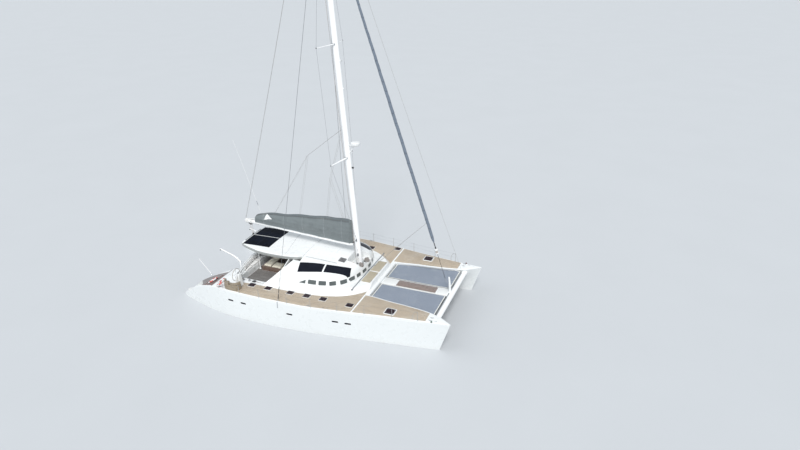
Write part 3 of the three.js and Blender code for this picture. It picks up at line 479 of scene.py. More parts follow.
def m_planks(name, c, dark, width=0.055, length=1.9, seam=0.1, caulk=(62, 58, 55), across=1, run=0, weathered=0.35, rough=0.7):
    """laid wood: boards run along one axis and lie side by side along the other, with caulked seams"""
    k = Mat(name, c, rough)
    side = k.math("DIVIDE", k.axis(across), width)
    board = k.math("FLOOR", side)
    inside = k.math("FRACT", side)
    n = k.node("ShaderNodeTexWhiteNoise", noise_dimensions="1D")
    k.link(board, n.inputs["W"])
    shift = k.math("MULTIPLY", n.outputs["Value"], length)
    end = k.math("DIVIDE", k.math("ADD", k.axis(run), shift), length)
    butt = k.math("FRACT", end)
    n2 = k.node("ShaderNodeTexWhiteNoise", noise_dimensions="2D")
    cc = k.node("ShaderNodeCombineXYZ")
    k.link(board, cc.inputs[0])
    k.link(k.math("FLOOR", end), cc.inputs[1])
    k.link(cc.outputs[0], n2.inputs["Vector"])
    k.tint(n2.outputs["Value"], dark, 0.45)
    stretch = [30, 30, 30]
    stretch[run] = 1.1
    stretch[2] = 12
    grain = k.noise(1.6, 5, stretch=tuple(stretch), dist=0.4)
    k.tint(k.step(grain, 0.42, 0.72), dark, 0.55)
    k.tint(k.step(k.noise(1.3, 5), 0.45, 0.75), lin(205, 200, 190), weathered)
    k.tint(k.step(k.noise(0.5, 3), 0.52, 0.8), dark, 0.35)
    line = k.math("MAXIMUM", k.step(k.math("ABSOLUTE", k.math("SUBTRACT", inside, 0.5)), 0.5 - seam / 2 - 0.02, 0.5 - seam / 2),
                  k.step(k.math("ABSOLUTE", k.math("SUBTRACT", butt, 0.5)), 0.5 - 0.003, 0.5 - 0.0015))
    k.tint(line, lin(*caulk), 0.9)
    k.shine(grain, 0.1)
    k.relief(grain, 0.35).relief(k.math("MULTIPLY", line, -1.0), 0.8)
    return k.done()


def m_glass(name="dark_glass", c=(0.006, 0.0075, 0.014, 1), rough=0.06, spec=0.19):
    k = Mat(name, c, rough, spec=spec)
    k.tint(k.step(k.noise(1.4, 4), 0.45, 0.8), lin(36, 40, 56), 0.25)
    k.tint(k.step(k.noise(9, 5, stretch=(1, 1, 0.4)), 0.6, 0.8), lin(120, 124, 128), 0.08)
    k.shine(k.noise(5, 5), 0.045)
    k.relief(k.noise(0.9, 2), 0.5)
    return k.done()


def m_paint(name, c, rough=0.35, metal=0.0, coat=0.0, worn=(150, 150, 148), wear=0.22, grain=0.0, spread=0.04, scale=1.6):
    k = Mat(name, c, rough, metal, coat=coat)
    k.vary(k.noise(scale, 4), spread)
    k.tint(k.step(k.noise(13, 6), 0.57, 0.7), lin(*worn), wear)
    k.shine(k.noise(6, 4), 0.08)
    k.relief(k.noise(3.5, 2), 0.25)
    if grain:
        k.relief(k.noise(420, 1), grain)
    return k.done()


def m_steel(name="polished_steel", c=(0.66, 0.67, 0.68, 1), rough=0.2, along=(1, 1, 60)):
    k = Mat(name, c, rough, 1.0)
    k.vary(k.noise(8, 4), 0.08)
    k.tint(k.step(k.noise(30, 5), 0.62, 0.75), lin(140, 118, 92), 0.22)
    k.shine(k.noise(20, 3, stretch=along), 0.1)
    k.relief(k.noise(45, 2, stretch=along), 0.02)
    return k.done()


def m_plastic(name, c, rough=0.45, spread=0.08, grain=0.12):
    k = Mat(name, c, rough)
    k.vary(k.noise(3, 4), spread)
    k.tint(k.step(k.noise(17, 5), 0.6, 0.74), (min(1, c[0] * 1.6 + 0.05), min(1, c[1] * 1.6 + 0.05), min(1, c[2] * 1.6 + 0.05), 1), 0.25)
    k.shine(k.noise(11, 3), 0.09)
    k.relief(k.noise(520, 1), grain)
    return k.done()


def m_cloth(name, c, dark, thread=0.0032, rough=0.88, soil=0.25, sheen=0.25, plane=(0, 1), fade=(200, 200, 195), faded=0.2, high=0.35):
    """plain weave: threads cross along two of the axes"""
    k = Mat(name, c, rough, sheen=sheen)
    k.vary(k.noise(1.1, 4), 0.05)
    k.tint(k.step(k.noise(2.3, 5), 0.48, 0.76), dark, soil)
    k.tint(k.step(k.noise(0.8, 3), 0.5, 0.8), lin(*fade), faded)
    waves = [k.math("SINE", k.math("MULTIPLY", k.axis(a), 2 * math.pi / thread)) for a in plane]
    weave = k.math("MULTIPLY", waves[0], waves[1])
    k.tint(k.step(weave, 0.1, 1.0), dark, 0.22)
    k.shine(k.noise(14, 3), 0.06)
    k.relief(weave, high).relief(k.noise(9, 4), 1.4)
    return k.done()


def m_leather(name, c, dark, rough=0.5):
    k = Mat(name, c, rough, sheen=0.08)
    k.vary(k.noise(2.1, 4), 0.06)
    k.tint(k.step(k.noise(3.5, 6), 0.5, 0.78), dark, 0.4)
    d = k.cells(330)
    k.tint(k.step(d, 0.45, 0.8), dark, 0.3)
    k.shine(k.noise(9, 4), 0.1)
    k.relief(k.step(d, 0.1, 0.7, 1, 0), 0.35).relief(k.noise(7, 4), 1.8)
    return k.done()


def m_net(name, c, hole, pitch=0.012):
    """woven trampoline mesh: light cords, with the openings between them coloured darker as painted shade seen through
    the mesh
    """
    k = Mat(name, c, 0.8)
    k.vary(k.noise(0.7, 4), 0.07)
    u = k.math("ABSOLUTE", k.math("SUBTRACT", k.math("FRACT", k.math("DIVIDE", k.axis(0), pitch)), 0.5))
    v = k.math("ABSOLUTE", k.math("SUBTRACT", k.math("FRACT", k.math("DIVIDE", k.axis(1), pitch)), 0.5))
    gap = k.math("MULTIPLY", k.step(u, 0.3, 0.36, 1, 0), k.step(v, 0.3, 0.36, 1, 0))
    # the openings take the darker colour: painted shade seen through the net
    k.tint(gap, hole, 0.85)
    k.tint(k.step(k.noise(1.8, 5), 0.5, 0.8), lin(176, 180, 184), 0.3)
    k.relief(k.math("SUBTRACT", 1.0, gap), 1.2)
    return k.done()


def m_cells(name="solar_cells"):
    """dark cells in a grid with thin bright collector lines"""
    k = Mat(name, (0.0022, 0.0038, 0.0078, 1), 0.45, coat=0.0, spec=0.04)
    cell = 0.156
    u = k.math("FRACT", k.math("DIVIDE", k.axis(0), cell))
    v = k.math("FRACT", k.math("DIVIDE", k.axis(1), cell))
    n = k.node("ShaderNodeTexWhiteNoise", noise_dimensions="2D")
    cc = k.node("ShaderNodeCombineXYZ")
    k.link(k.math("FLOOR", k.math("DIVIDE", k.axis(0), cell)), cc.inputs[0])
    k.link(k.math("FLOOR", k.math("DIVIDE", k.axis(1), cell)), cc.inputs[1])
    k.link(cc.outputs[0], n.inputs["Vector"])
    k.tint(n.outputs["Value"], (0.0034, 0.0070, 0.0200, 1), 0.6)
    edge = lambda w, h: k.step(k.math("ABSOLUTE", k.math("SUBTRACT", w, 0.5)), 0.5 - h, 0.5 - h + 0.006)
    k.tint(k.math("MAXIMUM", edge(u, 0.016), edge(v, 0.016)), (0.010, 0.012, 0.017, 1), 0.8)
    bus = k.step(k.math("ABSOLUTE", k.math("SUBTRACT", k.math("FRACT", k.math("MULTIPLY", v, 3.0)), 0.5)), 0.0, 0.02, 1, 0)
    k.tint(bus, (0.10, 0.11, 0.12, 1), 0.35)
    k.tint(k.step(k.noise(2.2, 5), 0.55, 0.85), lin(80, 84, 90), 0.03)
    k.shine(k.noise(4, 4), 0.08)
    k.relief(k.math("MAXIMUM", edge(u, 0.016), edge(v, 0.016)), -0.15)
    return k.done()


def m_rope(name, c, fleck, pitch=0.03):
    k = Mat(name, c, 0.85, sheen=0.15)
    s = k.math("ADD", k.math("ADD", k.axis(0), k.axis(1)), k.math("MULTIPLY", k.axis(2), 1.3))
    w = k.math("SINE", k.math("MULTIPLY", s, 2 * math.pi / pitch))
    k.tint(k.step(w, 0.62, 0.85), fleck, 0.8)
    k.vary(k.noise(12, 4), 0.1)
    k.relief(w, 0.5)
    return k.done()


def m_stripe_sail(name="furled_sail"):
    """rolled sail: a darker sun strip wound in a spiral over the cloth's edge"""
    k = Mat(name, lin(116, 126, 139), 0.9, sheen=0.04)
    k.vary(k.noise(1.2, 4), 0.08)
    ang = k.math("ARCTAN2", k.axis(1), k.math("ADD", k.axis(0), k.math("MULTIPLY", k.axis(2), 0.3284)))
    k.tint(k.step(k.noise(2.5, 4, stretch=(1, 1, 0.35)), 0.45, 0.75), lin(92, 101, 112), 0.45)
    turns = k.math("FRACT", k.math("ADD", k.math("DIVIDE", k.axis(2), 0.62), k.noise(0.8, 2)))
    k.tint(k.step(k.math("ABSOLUTE", k.math("SUBTRACT", turns, 0.5)), 0.40, 0.49), lin(84, 92, 104), 0.5)
    k.relief(k.noise(30, 3, stretch=(1, 1, 0.2)), 1.2).relief(ang, 0.01)
    return k.done()


def m_wood(name="varnished_wood", c=(0.19, 0.095, 0.045, 1), dark=(0.08, 0.038, 0.018, 1), run=0):
    k = Mat(name, c, 0.28, coat=0.5)
    st = [24, 24, 24]
    st[run] = 1.0
    g = k.noise(1.4, 6, stretch=tuple(st), dist=0.8)
    k.tint(k.step(g, 0.4, 0.7), dark, 0.8)
    k.vary(k.noise(2, 3), 0.1)
    k.shine(k.noise(8, 4), 0.07)
    k.relief(g, 0.15)
    return k.done()


def m_foul(name="antifouling"):
    k = Mat(name, lin(44, 51, 60), 0.7)
    k.vary(k.noise(1.2, 5), 0.18)
    k.tint(k.step(k.noise(4, 6), 0.5, 0.72), lin(74, 86, 74), 0.45)
    k.tint(k.step(k.noise(40, 4), 0.62, 0.75), lin(96, 100, 92), 0.4)
    k.shine(k.noise(10, 4), 0.12)
    k.relief(k.noise(60, 5), 1.4)
    return k.done()


def m_lens(name, c):
    k = Mat(name, c, 0.1, coat=0.6)
    k.vary(k.noise(20, 3), 0.12)
    k.relief(k.math("SINE", k.math("MULTIPLY", k.axis(2), 900)), 0.2)
    return k.done()


def m_screen(name="display"):
    k = Mat(name, (0.01, 0.012, 0.014, 1), 0.12, coat=0.4)
    k.tint(k.step(k.noise(8, 5), 0.52, 0.8), lin(70, 78, 84), 0.3)
    k.shine(k.noise(30, 3), 0.05)
    k.relief(k.noise(3, 2), 0.1)
    return k.done()


GEL = m_gelcoat(c=(0.855, 0.872, 0.872, 1), streaks=0.10, scum=0.05)
# hull topsides: a darker copy of the gelcoat, painted shade on the hull's sides
SHADED_HULL_GEL = m_gelcoat("hull_gelcoat_painted_shade", (0.775, 0.80, 0.80, 1), streaks=0.12, scum=0.06)
STEPGEL = m_gelcoat("gelcoat_steps", lin(158, 156, 157), streaks=0.3)
GEL_IN = m_gelcoat("gelcoat_inner", (0.85, 0.865, 0.86, 1), streaks=0.10)
# grey gelcoat for the hardtop's side band: painted shade
HARDTOP_SIDE_SHADE = m_gelcoat("hardtop_side_painted_shade", lin(165, 168, 166), streaks=0.25)
NONSKID = m_nonskid()
TEAK = m_planks("deck_teak", lin(197, 182, 162), lin(162, 147, 129), weathered=0.3)
SOLE = m_planks("cockpit_teak", lin(128, 126, 124), lin(100, 96, 94), width=0.06, caulk=(48, 46, 46), weathered=0.12)
STEPTEAK = m_planks("step_teak", lin(138, 118, 114), lin(104, 88, 84), width=0.055, length=3.0, across=0, run=1, weathered=0.25)
LOCKERTEAK = m_planks("locker_teak", lin(196, 186, 164), lin(168, 156, 134), width=0.06, length=4.0, across=0, run=1, weathered=0.25)
SLAT = m_wood("catwalk_wood", lin(150, 134, 126), lin(104, 88, 80), run=1)
# dark wood-grained brown for the settee's base: painted shade
SETTEE_BASE_SHADE = m_wood("seat_wood", lin(116, 98, 88), lin(76, 60, 52), run=0)
TABLEWOOD = m_planks("table_teak", lin(140, 104, 74), lin(104, 72, 48), width=0.09, length=6.0, seam=0.05, caulk=(40, 34, 30), weathered=0.06, rough=0.35)
DARKGLASS = m_glass()
SMOKE = m_glass("smoked_acrylic", (0.032, 0.020, 0.024, 1), 0.16, 0.1)
GREYACRYLIC = m_glass("grey_acrylic", lin(112, 112, 113), 0.2, 0.2)
GREYGLASS = m_glass("window_glass", lin(92, 98, 98), 0.08, 0.4)
GASKET = m_plastic("rubber_gasket", (0.02, 0.02, 0.021, 1), 0.6)
BLACK = m_plastic("black_plastic", (0.025, 0.025, 0.027, 1), 0.42)
GREYPLASTIC = m_plastic("grey_plastic", lin(120, 122, 124), 0.5)
WHITEPLASTIC = m_plastic("white_plastic", (0.78, 0.79, 0.79, 1), 0.38, spread=0.03)
REDPLASTIC = m_plastic("lifebuoy_red", lin(206, 92, 84), 0.5, spread=0.12)
MASTPAINT = m_paint("mast_paint", (0.93, 0.935, 0.935, 1), 0.34, coat=0.3, wear=0.05, spread=0.02)
ALU = m_paint("anodised_alloy", lin(176, 180, 184), 0.36, 0.85, worn=(210, 212, 214), wear=0.2)
STEEL = m_steel()
WIRE = m_steel("rigging_wire", (0.30, 0.31, 0.32, 1), 0.38)
BAGCLOTH = m_cloth("bag_cloth", lin(115, 123, 125), lin(90, 97, 99), plane=(0, 2), soil=0.35, fade=(144, 149, 150))
# darker cloth for the strip along the bag's ridge: painted shade
BAG_RIDGE_SHADE = m_cloth("bag_flap", lin(98, 106, 110), lin(76, 84, 88), plane=(0, 2), soil=0.3)
BAGSEAM = m_cloth("bag_seam", lin(137, 144, 146), lin(108, 114, 116), plane=(0, 2), soil=0.2)
BAGTRIM = m_cloth("bag_trim", lin(96, 100, 100), lin(70, 74, 74), plane=(0, 2))
SAILWHITE = m_cloth("sail_cloth", (0.82, 0.83, 0.83, 1), lin(196, 198, 198), thread=0.004, plane=(0, 2), soil=0.2)
FURLED = m_stripe_sail()
# the second colour is the painted shade in the net's openings
NETM = m_net("net_mesh", lin(150, 158, 170), lin(104, 114, 130))
NETTAPE = m_cloth("net_tape", lin(232, 232, 226), lin(190, 190, 184), soil=0.3)
CREAM = m_cloth("cream_fabric", lin(232, 226, 208), lin(198, 190, 170), soil=0.2)
WHITEVINYL = m_leather("white_vinyl", lin(240, 240, 239), lin(206, 205, 201))
TANVINYL = m_leather("tan_vinyl", lin(154, 141, 121), lin(114, 102, 84))
GREYBAG = m_cloth("grey_bag", lin(138, 132, 128), lin(96, 90, 86), plane=(1, 2), soil=0.4)
TANBAG = m_cloth("tan_bag", lin(176, 156, 140), lin(128, 106, 92), plane=(0, 2), soil=0.4)
ROPEW = m_rope("rope_white", lin(206, 204, 196), lin(150, 60, 54))
ROPEB = m_rope("rope_blue", lin(196, 198, 200), lin(48, 74, 120))
ROPEP = m_rope("rope_plain", lin(236, 236, 234), lin(206, 208, 208), pitch=0.045)
ROPEG = m_rope("rope_grey", lin(150, 148, 142), lin(90, 88, 84))
SOLAR = m_cells()
FOUL = m_foul()
BRONZE = m_paint("bronze", (0.42, 0.28, 0.13, 1), 0.35, 0.95, worn=(84, 112, 92), wear=0.35)
DRIVEPAINT = m_paint("drive_paint", lin(150, 154, 158), 0.45, 0.3, worn=(96, 100, 96), wear=0.4)
RED = m_lens("red_lens", (0.5, 0.02, 0.02, 1))
GREEN = m_lens("green_lens", (0.02, 0.32, 0.1, 1))
CLEAR = m_lens("clear_lens", (0.6, 0.62, 0.62, 1))
DISPLAY = m_screen()


# ---------------------------------------------------------------- shapes shared by the pieces
def smooth2(pts, n):
    """points of a smooth line through 2-D points, n for each stretch"""
    out, m = [], len(pts) - 1
    for i in range(m):
        p0, p1, p2, p3 = pts[max(i - 1, 0)], pts[i], pts[i + 1], pts[min(i + 2, m)]
        for k in range(n):
            t = k / n
            out.append(tuple(0.5 * (2 * b + (c - a) * t + (2 * a - 5 * b + 4 * c - d) * t * t + (3 * b - a - 3 * c + d) * t ** 3) for a, b, c, d in zip(p0, p1, p2, p3)))
    out.append(tuple(pts[-1]))
    return out


def hull_profile(x):
    oW, oD, iW, iK, iD, zs, zk = [along(HULL, c, x) for c in range(1, 8)]
    k = min(TUNNEL, zs * 0.5)
    r = max(6, min(38, 0.3 * min(iD, oD), zs * 0.2))
    key = [(-iD, zs - r), (-(iD + iK) / 2, (zs + k) / 2), (-iK, k), (-iW, 0)]
    for j in range(1, 8):
        a = j / 8 * math.pi
        w = iW if math.cos(a) > 0 else oW
        key.append((-math.cos(a) * w, zk * math.sin(a) ** 0.75))
    key += [(oW, 0), ((oW + oD) / 2 + 0.02 * oW, zs * 0.5), (oD, zs - r)]
    line = [(max(-1469.0, min(1469.0, o)), z) for o, z in smooth2(key, 5)]
    arc = [math.radians(a) for a in (0, 18, 36, 54, 72)]
    inner = [(-iD + r - r * math.sin(a), zs - r + r * math.cos(a)) for a in arc]
    outer = [(oD - r + r * math.sin(a), zs - r + r * math.cos(a)) for a in reversed(arc)]
    return inner + line + outer


def rake(x):
    return STEM_RAKE * min(1, max(0, (x - 7000) / 2550))


def hull_y(x, z, side, out=True):
    """distance from the boat's centreplane of the hull's outer or inner side, in millimetres"""
    s = x - rake(x) * z
    pts = hull_profile(s)
    half = pts[len(pts) // 2:] if out else pts[:len(pts) // 2]
    best = min(range(len(half) - 1), key=lambda i: 0 if (half[i][1] - z) * (half[i + 1][1] - z) <= 0 else min(abs(half[i][1] - z), abs(half[i + 1][1] - z)) + 1)
    (o0, z0), (o1, z1) = half[best], half[best + 1]
    t = 0 if z1 == z0 else min(1, max(0, (z - z0) / (z1 - z0)))
    return side * (HULL_Y + o0 + t * (o1 - o0))


def span(a, b, step):
    n = max(1, round((b - a) / step))
    return [a + (b - a) * i / n for i in range(n + 1)]


def mirrored(ob, name, body="root", swap=None):
    """a copy of a starboard piece on the port side"""
    me = ob.data.copy()
    bm = bmesh.new()
    bm.from_mesh(me)
    for v in bm.verts:
        v.co.y = -v.co.y
    bmesh.ops.reverse_faces(bm, faces=bm.faces)
    bm.to_mesh(me)
    bm.free()
    n = bpy.data.objects.new(name, me)
    bpy.context.scene.collection.objects.link(n)
    if swap:
        for i, m in enumerate(me.materials):
            if m in swap:
                me.materials[i] = swap[m]
    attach(n, body)
    if "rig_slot" in ob:
        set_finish(n, ob["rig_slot"])
    return n


def other(ob, replaces=(), body="root", swap=None):
    p = mirrored(ob, ob.name.replace("starboard", "port"), body, swap)
    if replaces:
        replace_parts(p, *replaces)
    return p


def rounded(cx, cy, sx, sy, r, n=5):
    """outline of a rectangle with rounded corners"""
    pts = []
    for (qx, qy, a0) in ((1, 1, 0), (-1, 1, 90), (-1, -1, 180), (1, -1, 270)):
        for k in range(n + 1):
            a = math.radians(a0 + 90 * k / n)
            pts.append((cx + qx * (sx / 2 - r) + r * math.cos(a), cy + qy * (sy / 2 - r) + r * math.sin(a)))
    return pts


def shrink(outline, d):
    """an outline drawn in by d along the bisectors of its corners; works either way round"""
    n = len(outline)
    area = sum(outline[i][0] * outline[(i + 1) % n][1] - outline[(i + 1) % n][0] * outline[i][1] for i in range(n))
    s = 1 if area > 0 else -1
    out = []
    for i in range(n):
        a, b, c = outline[i - 1], outline[i], outline[(i + 1) % n]
        u = Vector((b[0] - a[0], b[1] - a[1])).normalized() if a != b else Vector((1, 0))
        w = Vector((c[0] - b[0], c[1] - b[1])).normalized() if c != b else Vector((1, 0))
        nu, nw = Vector((-u.y, u.x)) * s, Vector((-w.y, w.x)) * s
        m = nu + nw
        m = m.normalized() if m.length > 1e-6 else nu
        k = d / max(0.35, m.dot(nu))
        out.append((b[0] + m.x * k, b[1] + m.y * k))
    return out


def pad(b, outline, z0, z1, bevel=0.004, mi=0, top=None):
    """a low slab on an outline, with a softened upper edge; z1 may be a function of x and y"""
    f = z1 if callable(z1) else (lambda x, y: z1)
    g = z0 if callable(z0) else (lambda x, y: z0)
    i1, i2 = shrink(outline, bevel * 0.3), shrink(outline, bevel)
    rings = [[(x, y, g(x, y)) for x, y in outline], [(x, y, f(x, y) - bevel) for x, y in outline],
             [(x, y, f(x, y) - bevel * 0.3) for x, y in i1], [(x, y, f(x, y)) for x, y in i2]]
    return b.loft(rings, mi)


# ---------------------------------------------------------------- hulls
def solid_of(rings, name):
    return Build().loft(rings).raw(name)


def hull_mesh(side, inset=0):
    rings = []
    for x in span(-10250, 9550, 115):
        rings.append([mm(x + rake(x) * z, side * (HULL_Y + o), z) for o, z in hull_profile(x)])
    return rings


def prism_xz(outline, y0, y1, name):
    b = Build()
    b.loft([[(x / 1000, y0, z / 1000) for x, z in outline], [(x / 1000, y1, z / 1000) for x, z in outline]])
    return b.raw(name)


def stern_plan(margin, side):
    xs = [-10400, -10050, -9700, -9350, -9000, -8650, -8300, -7950, -7600, -7250, -6900, -6600, -6300]
    inner = [(x / 1000, side * (HULL_Y - max(30, min(along(HULL, 5, x), along(HULL, 3, x)) - margin)) / 1000) for x in xs]
    outer = [(x / 1000, side * (HULL_Y + max(30, min(along(HULL, 2, x), along(HULL, 1, x)) - margin)) / 1000) for x in reversed(xs)]
    return inner + outer


hull = solid_of(hull_mesh(-1), "starboard_hull_skin")
cut = Build().prism(stern_plan(95, -1), -0.2, 3.0).raw("cut")
carve(cut, prism_xz(STEPS, -2.0, -5.6, "steps"), "INTERSECT")
carve(hull, cut)
well = Build().box((-5.6, -3.4, 1.5), (1.6, -2.3, 2.6)).raw("well")
carve(hull, well)
pit = Build()
pit.loft([[(x, y, z) for x, y in rounded(6.17, -3.81, 0.54, 0.54, 0.05)] for z in (1.5, 2.6)])
carve(hull, pit.raw("pit"))
tube = Build().lathe([(0.052, 0), (0.052, 0.7)], (-8.3, -3.9, -0.6), (0, 0, 1), 32)
carve(hull, tube.raw("tube"))
# side lights of the hull, let in
PORTLIGHTS = [(-5.11, 1.30), (-4.06, 1.30), (-0.47, 1.22), (2.74, 1.18), (3.60, 1.14)]


def portlight_frame(x, z, side, out=True):
    y0 = hull_y(x * 1000 - 150, z * 1000, side, out) / 1000
    y1 = hull_y(x * 1000 + 150, z * 1000, side, out) / 1000
    yu = hull_y(x * 1000, z * 1000 + 60, side, out) / 1000
    yd = hull_y(x * 1000, z * 1000 - 60, side, out) / 1000
    o = Vector((x, (y0 + y1) / 2, z))
    ax = Vector((0.3, y1 - y0, 0)).normalized()
    up = Vector((0, yu - yd, 0.12)).normalized()
    n = ax.cross(up).normalized()
    if n.y * side * (1 if out else -1) < 0:
        n = -n
    return o, ax, up, n


def slot_ring(o, ax, up, n, w, h, r, depth):
    return [o + ax * u + up * v + n * depth for u, v in rounded(0, 0, w, h, r)]


slots = Build()
for x, z in PORTLIGHTS:
    o, ax, up, n = portlight_frame(x, z, -1)
    slots.loft([slot_ring(o, ax, up, n, 0.46, 0.15, 0.06, d) for d in (-0.022, 0.05)])
carve(hull, slots.raw("slots"))
hull = dress(hull, "starboard_hull_skin", [SHADED_HULL_GEL, FOUL, GEL, STEPGEL], sharp=38, slot="gelcoat", replaces=("starboard_hull",))
for p in hull.data.polygons:
    x, y, z = p.center.x * 1000, -p.center.y * 1000, p.center.z * 1000
    m = 88
    in_steps = -8952 < x < -6862 and HULL_Y - min(along(HULL, 5, x), along(HULL, 3, x)) + m < y < HULL_Y + min(along(HULL, 2, x), along(HULL, 1, x)) - m and z > 400
    # faces turned up keep the lighter gelcoat and the sides take the darker copy: painted shade by facing
    p.material_index = 1 if z < 0 and x < 9600 else 3 if in_steps else 2 if p.normal.z > 0.5 else 0
other(hull, ("port_hull",))

# glass and rims of the side lights
b = Build()
for x, z in PORTLIGHTS:
    o, ax, up, n = portlight_frame(x, z, -1)
    b.loft([slot_ring(o, ax, up, n, 0.455, 0.145, 0.058, d) for d in (-0.022, -0.012)], 0)
    outer, inner = slot_ring(o, ax, up, n, 0.49, 0.18, 0.075, 0), slot_ring(o, ax, up, n, 0.44, 0.13, 0.05, 0)
    k = len(outer)
    rings = [[p + n * -0.004 for p in outer], [p + n * 0.005 for p in slot_ring(o, ax, up, n, 0.484, 0.174, 0.073, 0)], [p + n * 0.005 for p in slot_ring(o, ax, up, n, 0.448, 0.138, 0.053, 0)], [p + n * -0.014 for p in inner]]
    b.loft(rings, 1, caps=False)
lights = b.make("starboard_hull_lights", [DARKGLASS, GEL_IN])
other(lights)


# moulded line along the topsides
def side_strip(z_of, x0, x1, thick, high, name, mat, side=-1):
    b = Build()
    rings = []
    for x in span(x0, x1, 150):
        z = z_of(x)
        y = hull_y(x, z, side) / 1000
        s = side
        zz, h = z / 1000, high / 2000
        rings.append([(x / 1000, y - s * 0.012, zz - h), (x / 1000, y + s * thick * 0.6, zz - h * 0.8), (x / 1000, y + s * thick, zz - h * 0.3), (x / 1000, y + s * thick, zz + h * 0.3), (x / 1000, y + s * thick * 0.6, zz + h * 0.8), (x / 1000, y - s * 0.012, zz + h)])
    b.loft(rings)
    ob = b.make(name, mat)
    other(ob)
    return ob


side_strip(lambda x: min(1905, along(HULL, 6, x) - 125), -6200, 8500, 0.006, 26, "starboard_sheer_moulding", GEL)

# stern steps: a pad on each tread, teak above and non-skid on the lowest
def tread(x0, x1, z, side=-1):
    xs = span(x0, x1, 90)
    m = 135
    inner = [(x / 1000, side * (HULL_Y - max(36, min(along(HULL, 5, x), along(HULL, 3, x)) - m)) / 1000) for x in xs]
    outer = [(x / 1000, side * (HULL_Y + max(36, min(along(HULL, 2, x), along(HULL, 1, x)) - m)) / 1000) for x in reversed(xs)]
    return inner + outer


b = Build()
for x0, x1, z in ((-9950, -8990, 450), (-8910, -8490, 800), (-8410, -7990, 1120), (-7910, -7490, 1400), (-7410, -6910, 1660)):
    pad(b, tread(x0, x1, z), z / 1000 + 0.0005, z / 1000 + 0.008, 0.003, 0 if x0 > -9000 else 1)
treads = b.make("starboard_stern_treads", [STEPTEAK, NONSKID], slot=None)
other(treads)


# ---------------------------------------------------------------- teak side decks
def deck_edge(x, margin, out=True):
    """distance of the deck's edge from the boat's centreplane, drawn in by a margin (m)"""
    s = x * 1000 - rake(x * 1000) * DECK
    s = x * 1000 - rake(s) * DECK
    return (HULL_Y + (along(HULL, 2, s) if out else -along(HULL, 5, s))) / 1000 - margin * (1 if out else -1)


def plinth_edge(x, margin=0.02):
    """distance of the cabin's base from the centreplane"""
    t = (x * 1000 - SHELL_AFT) / (4400 - SHELL_AFT)
    if t >= 1:
        return 0
    return 3.88 * math.sqrt(max(0, 1 - max(0, t) ** 4)) + margin


def strip_deck(x0, x1, inner, outer, name, mat, z0=2.0304, z1=2.038, step=0.12, slot=None):
    xs = span(x0, x1, step)
    b = Build()
    line = [(x, -inner(x)) for x in xs] + [(x, -outer(x)) for x in reversed(xs)]
    pad(b, line, z0, z1, 0.003)
    return b.make(name, mat, slot=slot)


def aft_inner(x):
    # the coaming round the cockpit well, then the cabin's base
    if x > -3.42:
        return plinth_edge(x)
    if x > -4.2:
        return 3.9
    return 3.9 + 0.12 * min(1, (-4.2 - x) / 1.2)


OUT_MARGIN = 0.085
side_deck = strip_deck(-5.35, 3.765, aft_inner, lambda x: deck_edge(x, OUT_MARGIN), "starboard_teak_deck", TEAK)
other(side_deck)
fore_deck = strip_deck(3.875, 8.62, lambda x: max(deck_edge(x, 0.10, False), plinth_edge(x, 0.02) if x < 4.3 else 0), lambda x: max(deck_edge(x, OUT_MARGIN), deck_edge(x, 0.10, False) + 0.03),
                       "starboard_teak_foredeck", TEAK)
other(fore_deck)


# ---------------------------------------------------------------- cabin
def shell_row(s):
    """a row of the cabin's table at a place between its rows"""
    s = min(max(s, 0), len(SHELL) - 1)
    i = min(int(s), len(SHELL) - 2)
    t = s - i
    if i < 1:
        return [a + (b - a) * t for a, b in zip(SHELL[i], SHELL[i + 1])]
    p0, p1, p2, p3 = SHELL[i - 1], SHELL[i], SHELL[i + 1], SHELL[min(i + 2, len(SHELL) - 1)]
    return [0.5 * (2 * b + (c - a) * t + (2 * a - 5 * b + 4 * c - d) * t * t + (3 * b - a - 3 * c + d) * t ** 3) for a, b, c, d in zip(p0, p1, p2, p3)]


def plan_curve(w, front, p, n=88):
    """half outline from the after end to the nose, evenly spaced"""
    fine = []
    for k in range(160):
        fine.append((k / 160 * 0.72, 0))
    ts = [t for t, _ in fine] + [math.sin(a) ** (2 / p) for a in [math.asin(0.72 ** (p / 2)) + (math.pi / 2 - math.asin(0.72 ** (p / 2))) * k / 400 for k in range(401)]]
    pts = [(SHELL_AFT + t * (front - SHELL_AFT), w * math.sqrt(max(0, 1 - t ** p))) for t in ts]
    acc = [0]
    for a, c in zip(pts, pts[1:]):
        acc.append(acc[-1] + math.hypot(c[0] - a[0], c[1] - a[1]))
    out, j = [], 0
    for k in range(n):
        d = acc[-1] * k / (n - 1)
        while j < len(acc) - 2 and acc[j + 1] < d:
            j += 1
        u = (d - acc[j]) / max(1e-9, acc[j + 1] - acc[j])
        out.append((pts[j][0] + (pts[j + 1][0] - pts[j][0]) * u, pts[j][1] + (pts[j + 1][1] - pts[j][1]) * u))
    out[0], out[-1] = pts[0], (front, 0)
    return out


def shell_ring(row, inset=0, drop=0, aft=0):
    w, front, p, za, zf = row
    half = plan_curve(w - inset, front - inset, p)
    ring = []
    for i, (x, y) in enumerate(half):
        ring.append((x - (aft if i == 0 else 0), y, za + (zf - za) * min(1, max(0, (x + 1000) / 3900)) - drop))
    return [mm(x, -y, z) for x, y, z in ring] + [mm(x, y, z) for x, y, z in reversed(ring[:-1])]


def shell_solid(name, inset, drop, low, aft=0, step=0.25, first=0.0):
    rings = []
    n = int((len(SHELL) - 1) / step)
    for k in range(n + 1):
        s = k * step
        if shell_row(s)[0] - inset < 15:
            break
        rings.append(shell_ring(shell_row(s), inset, drop * min(1, max(0, s - 2) / 3), aft))
    rings.insert(0, [(x, y, low) for x, y, z in rings[0]])
    return Build().loft(rings).raw(name)


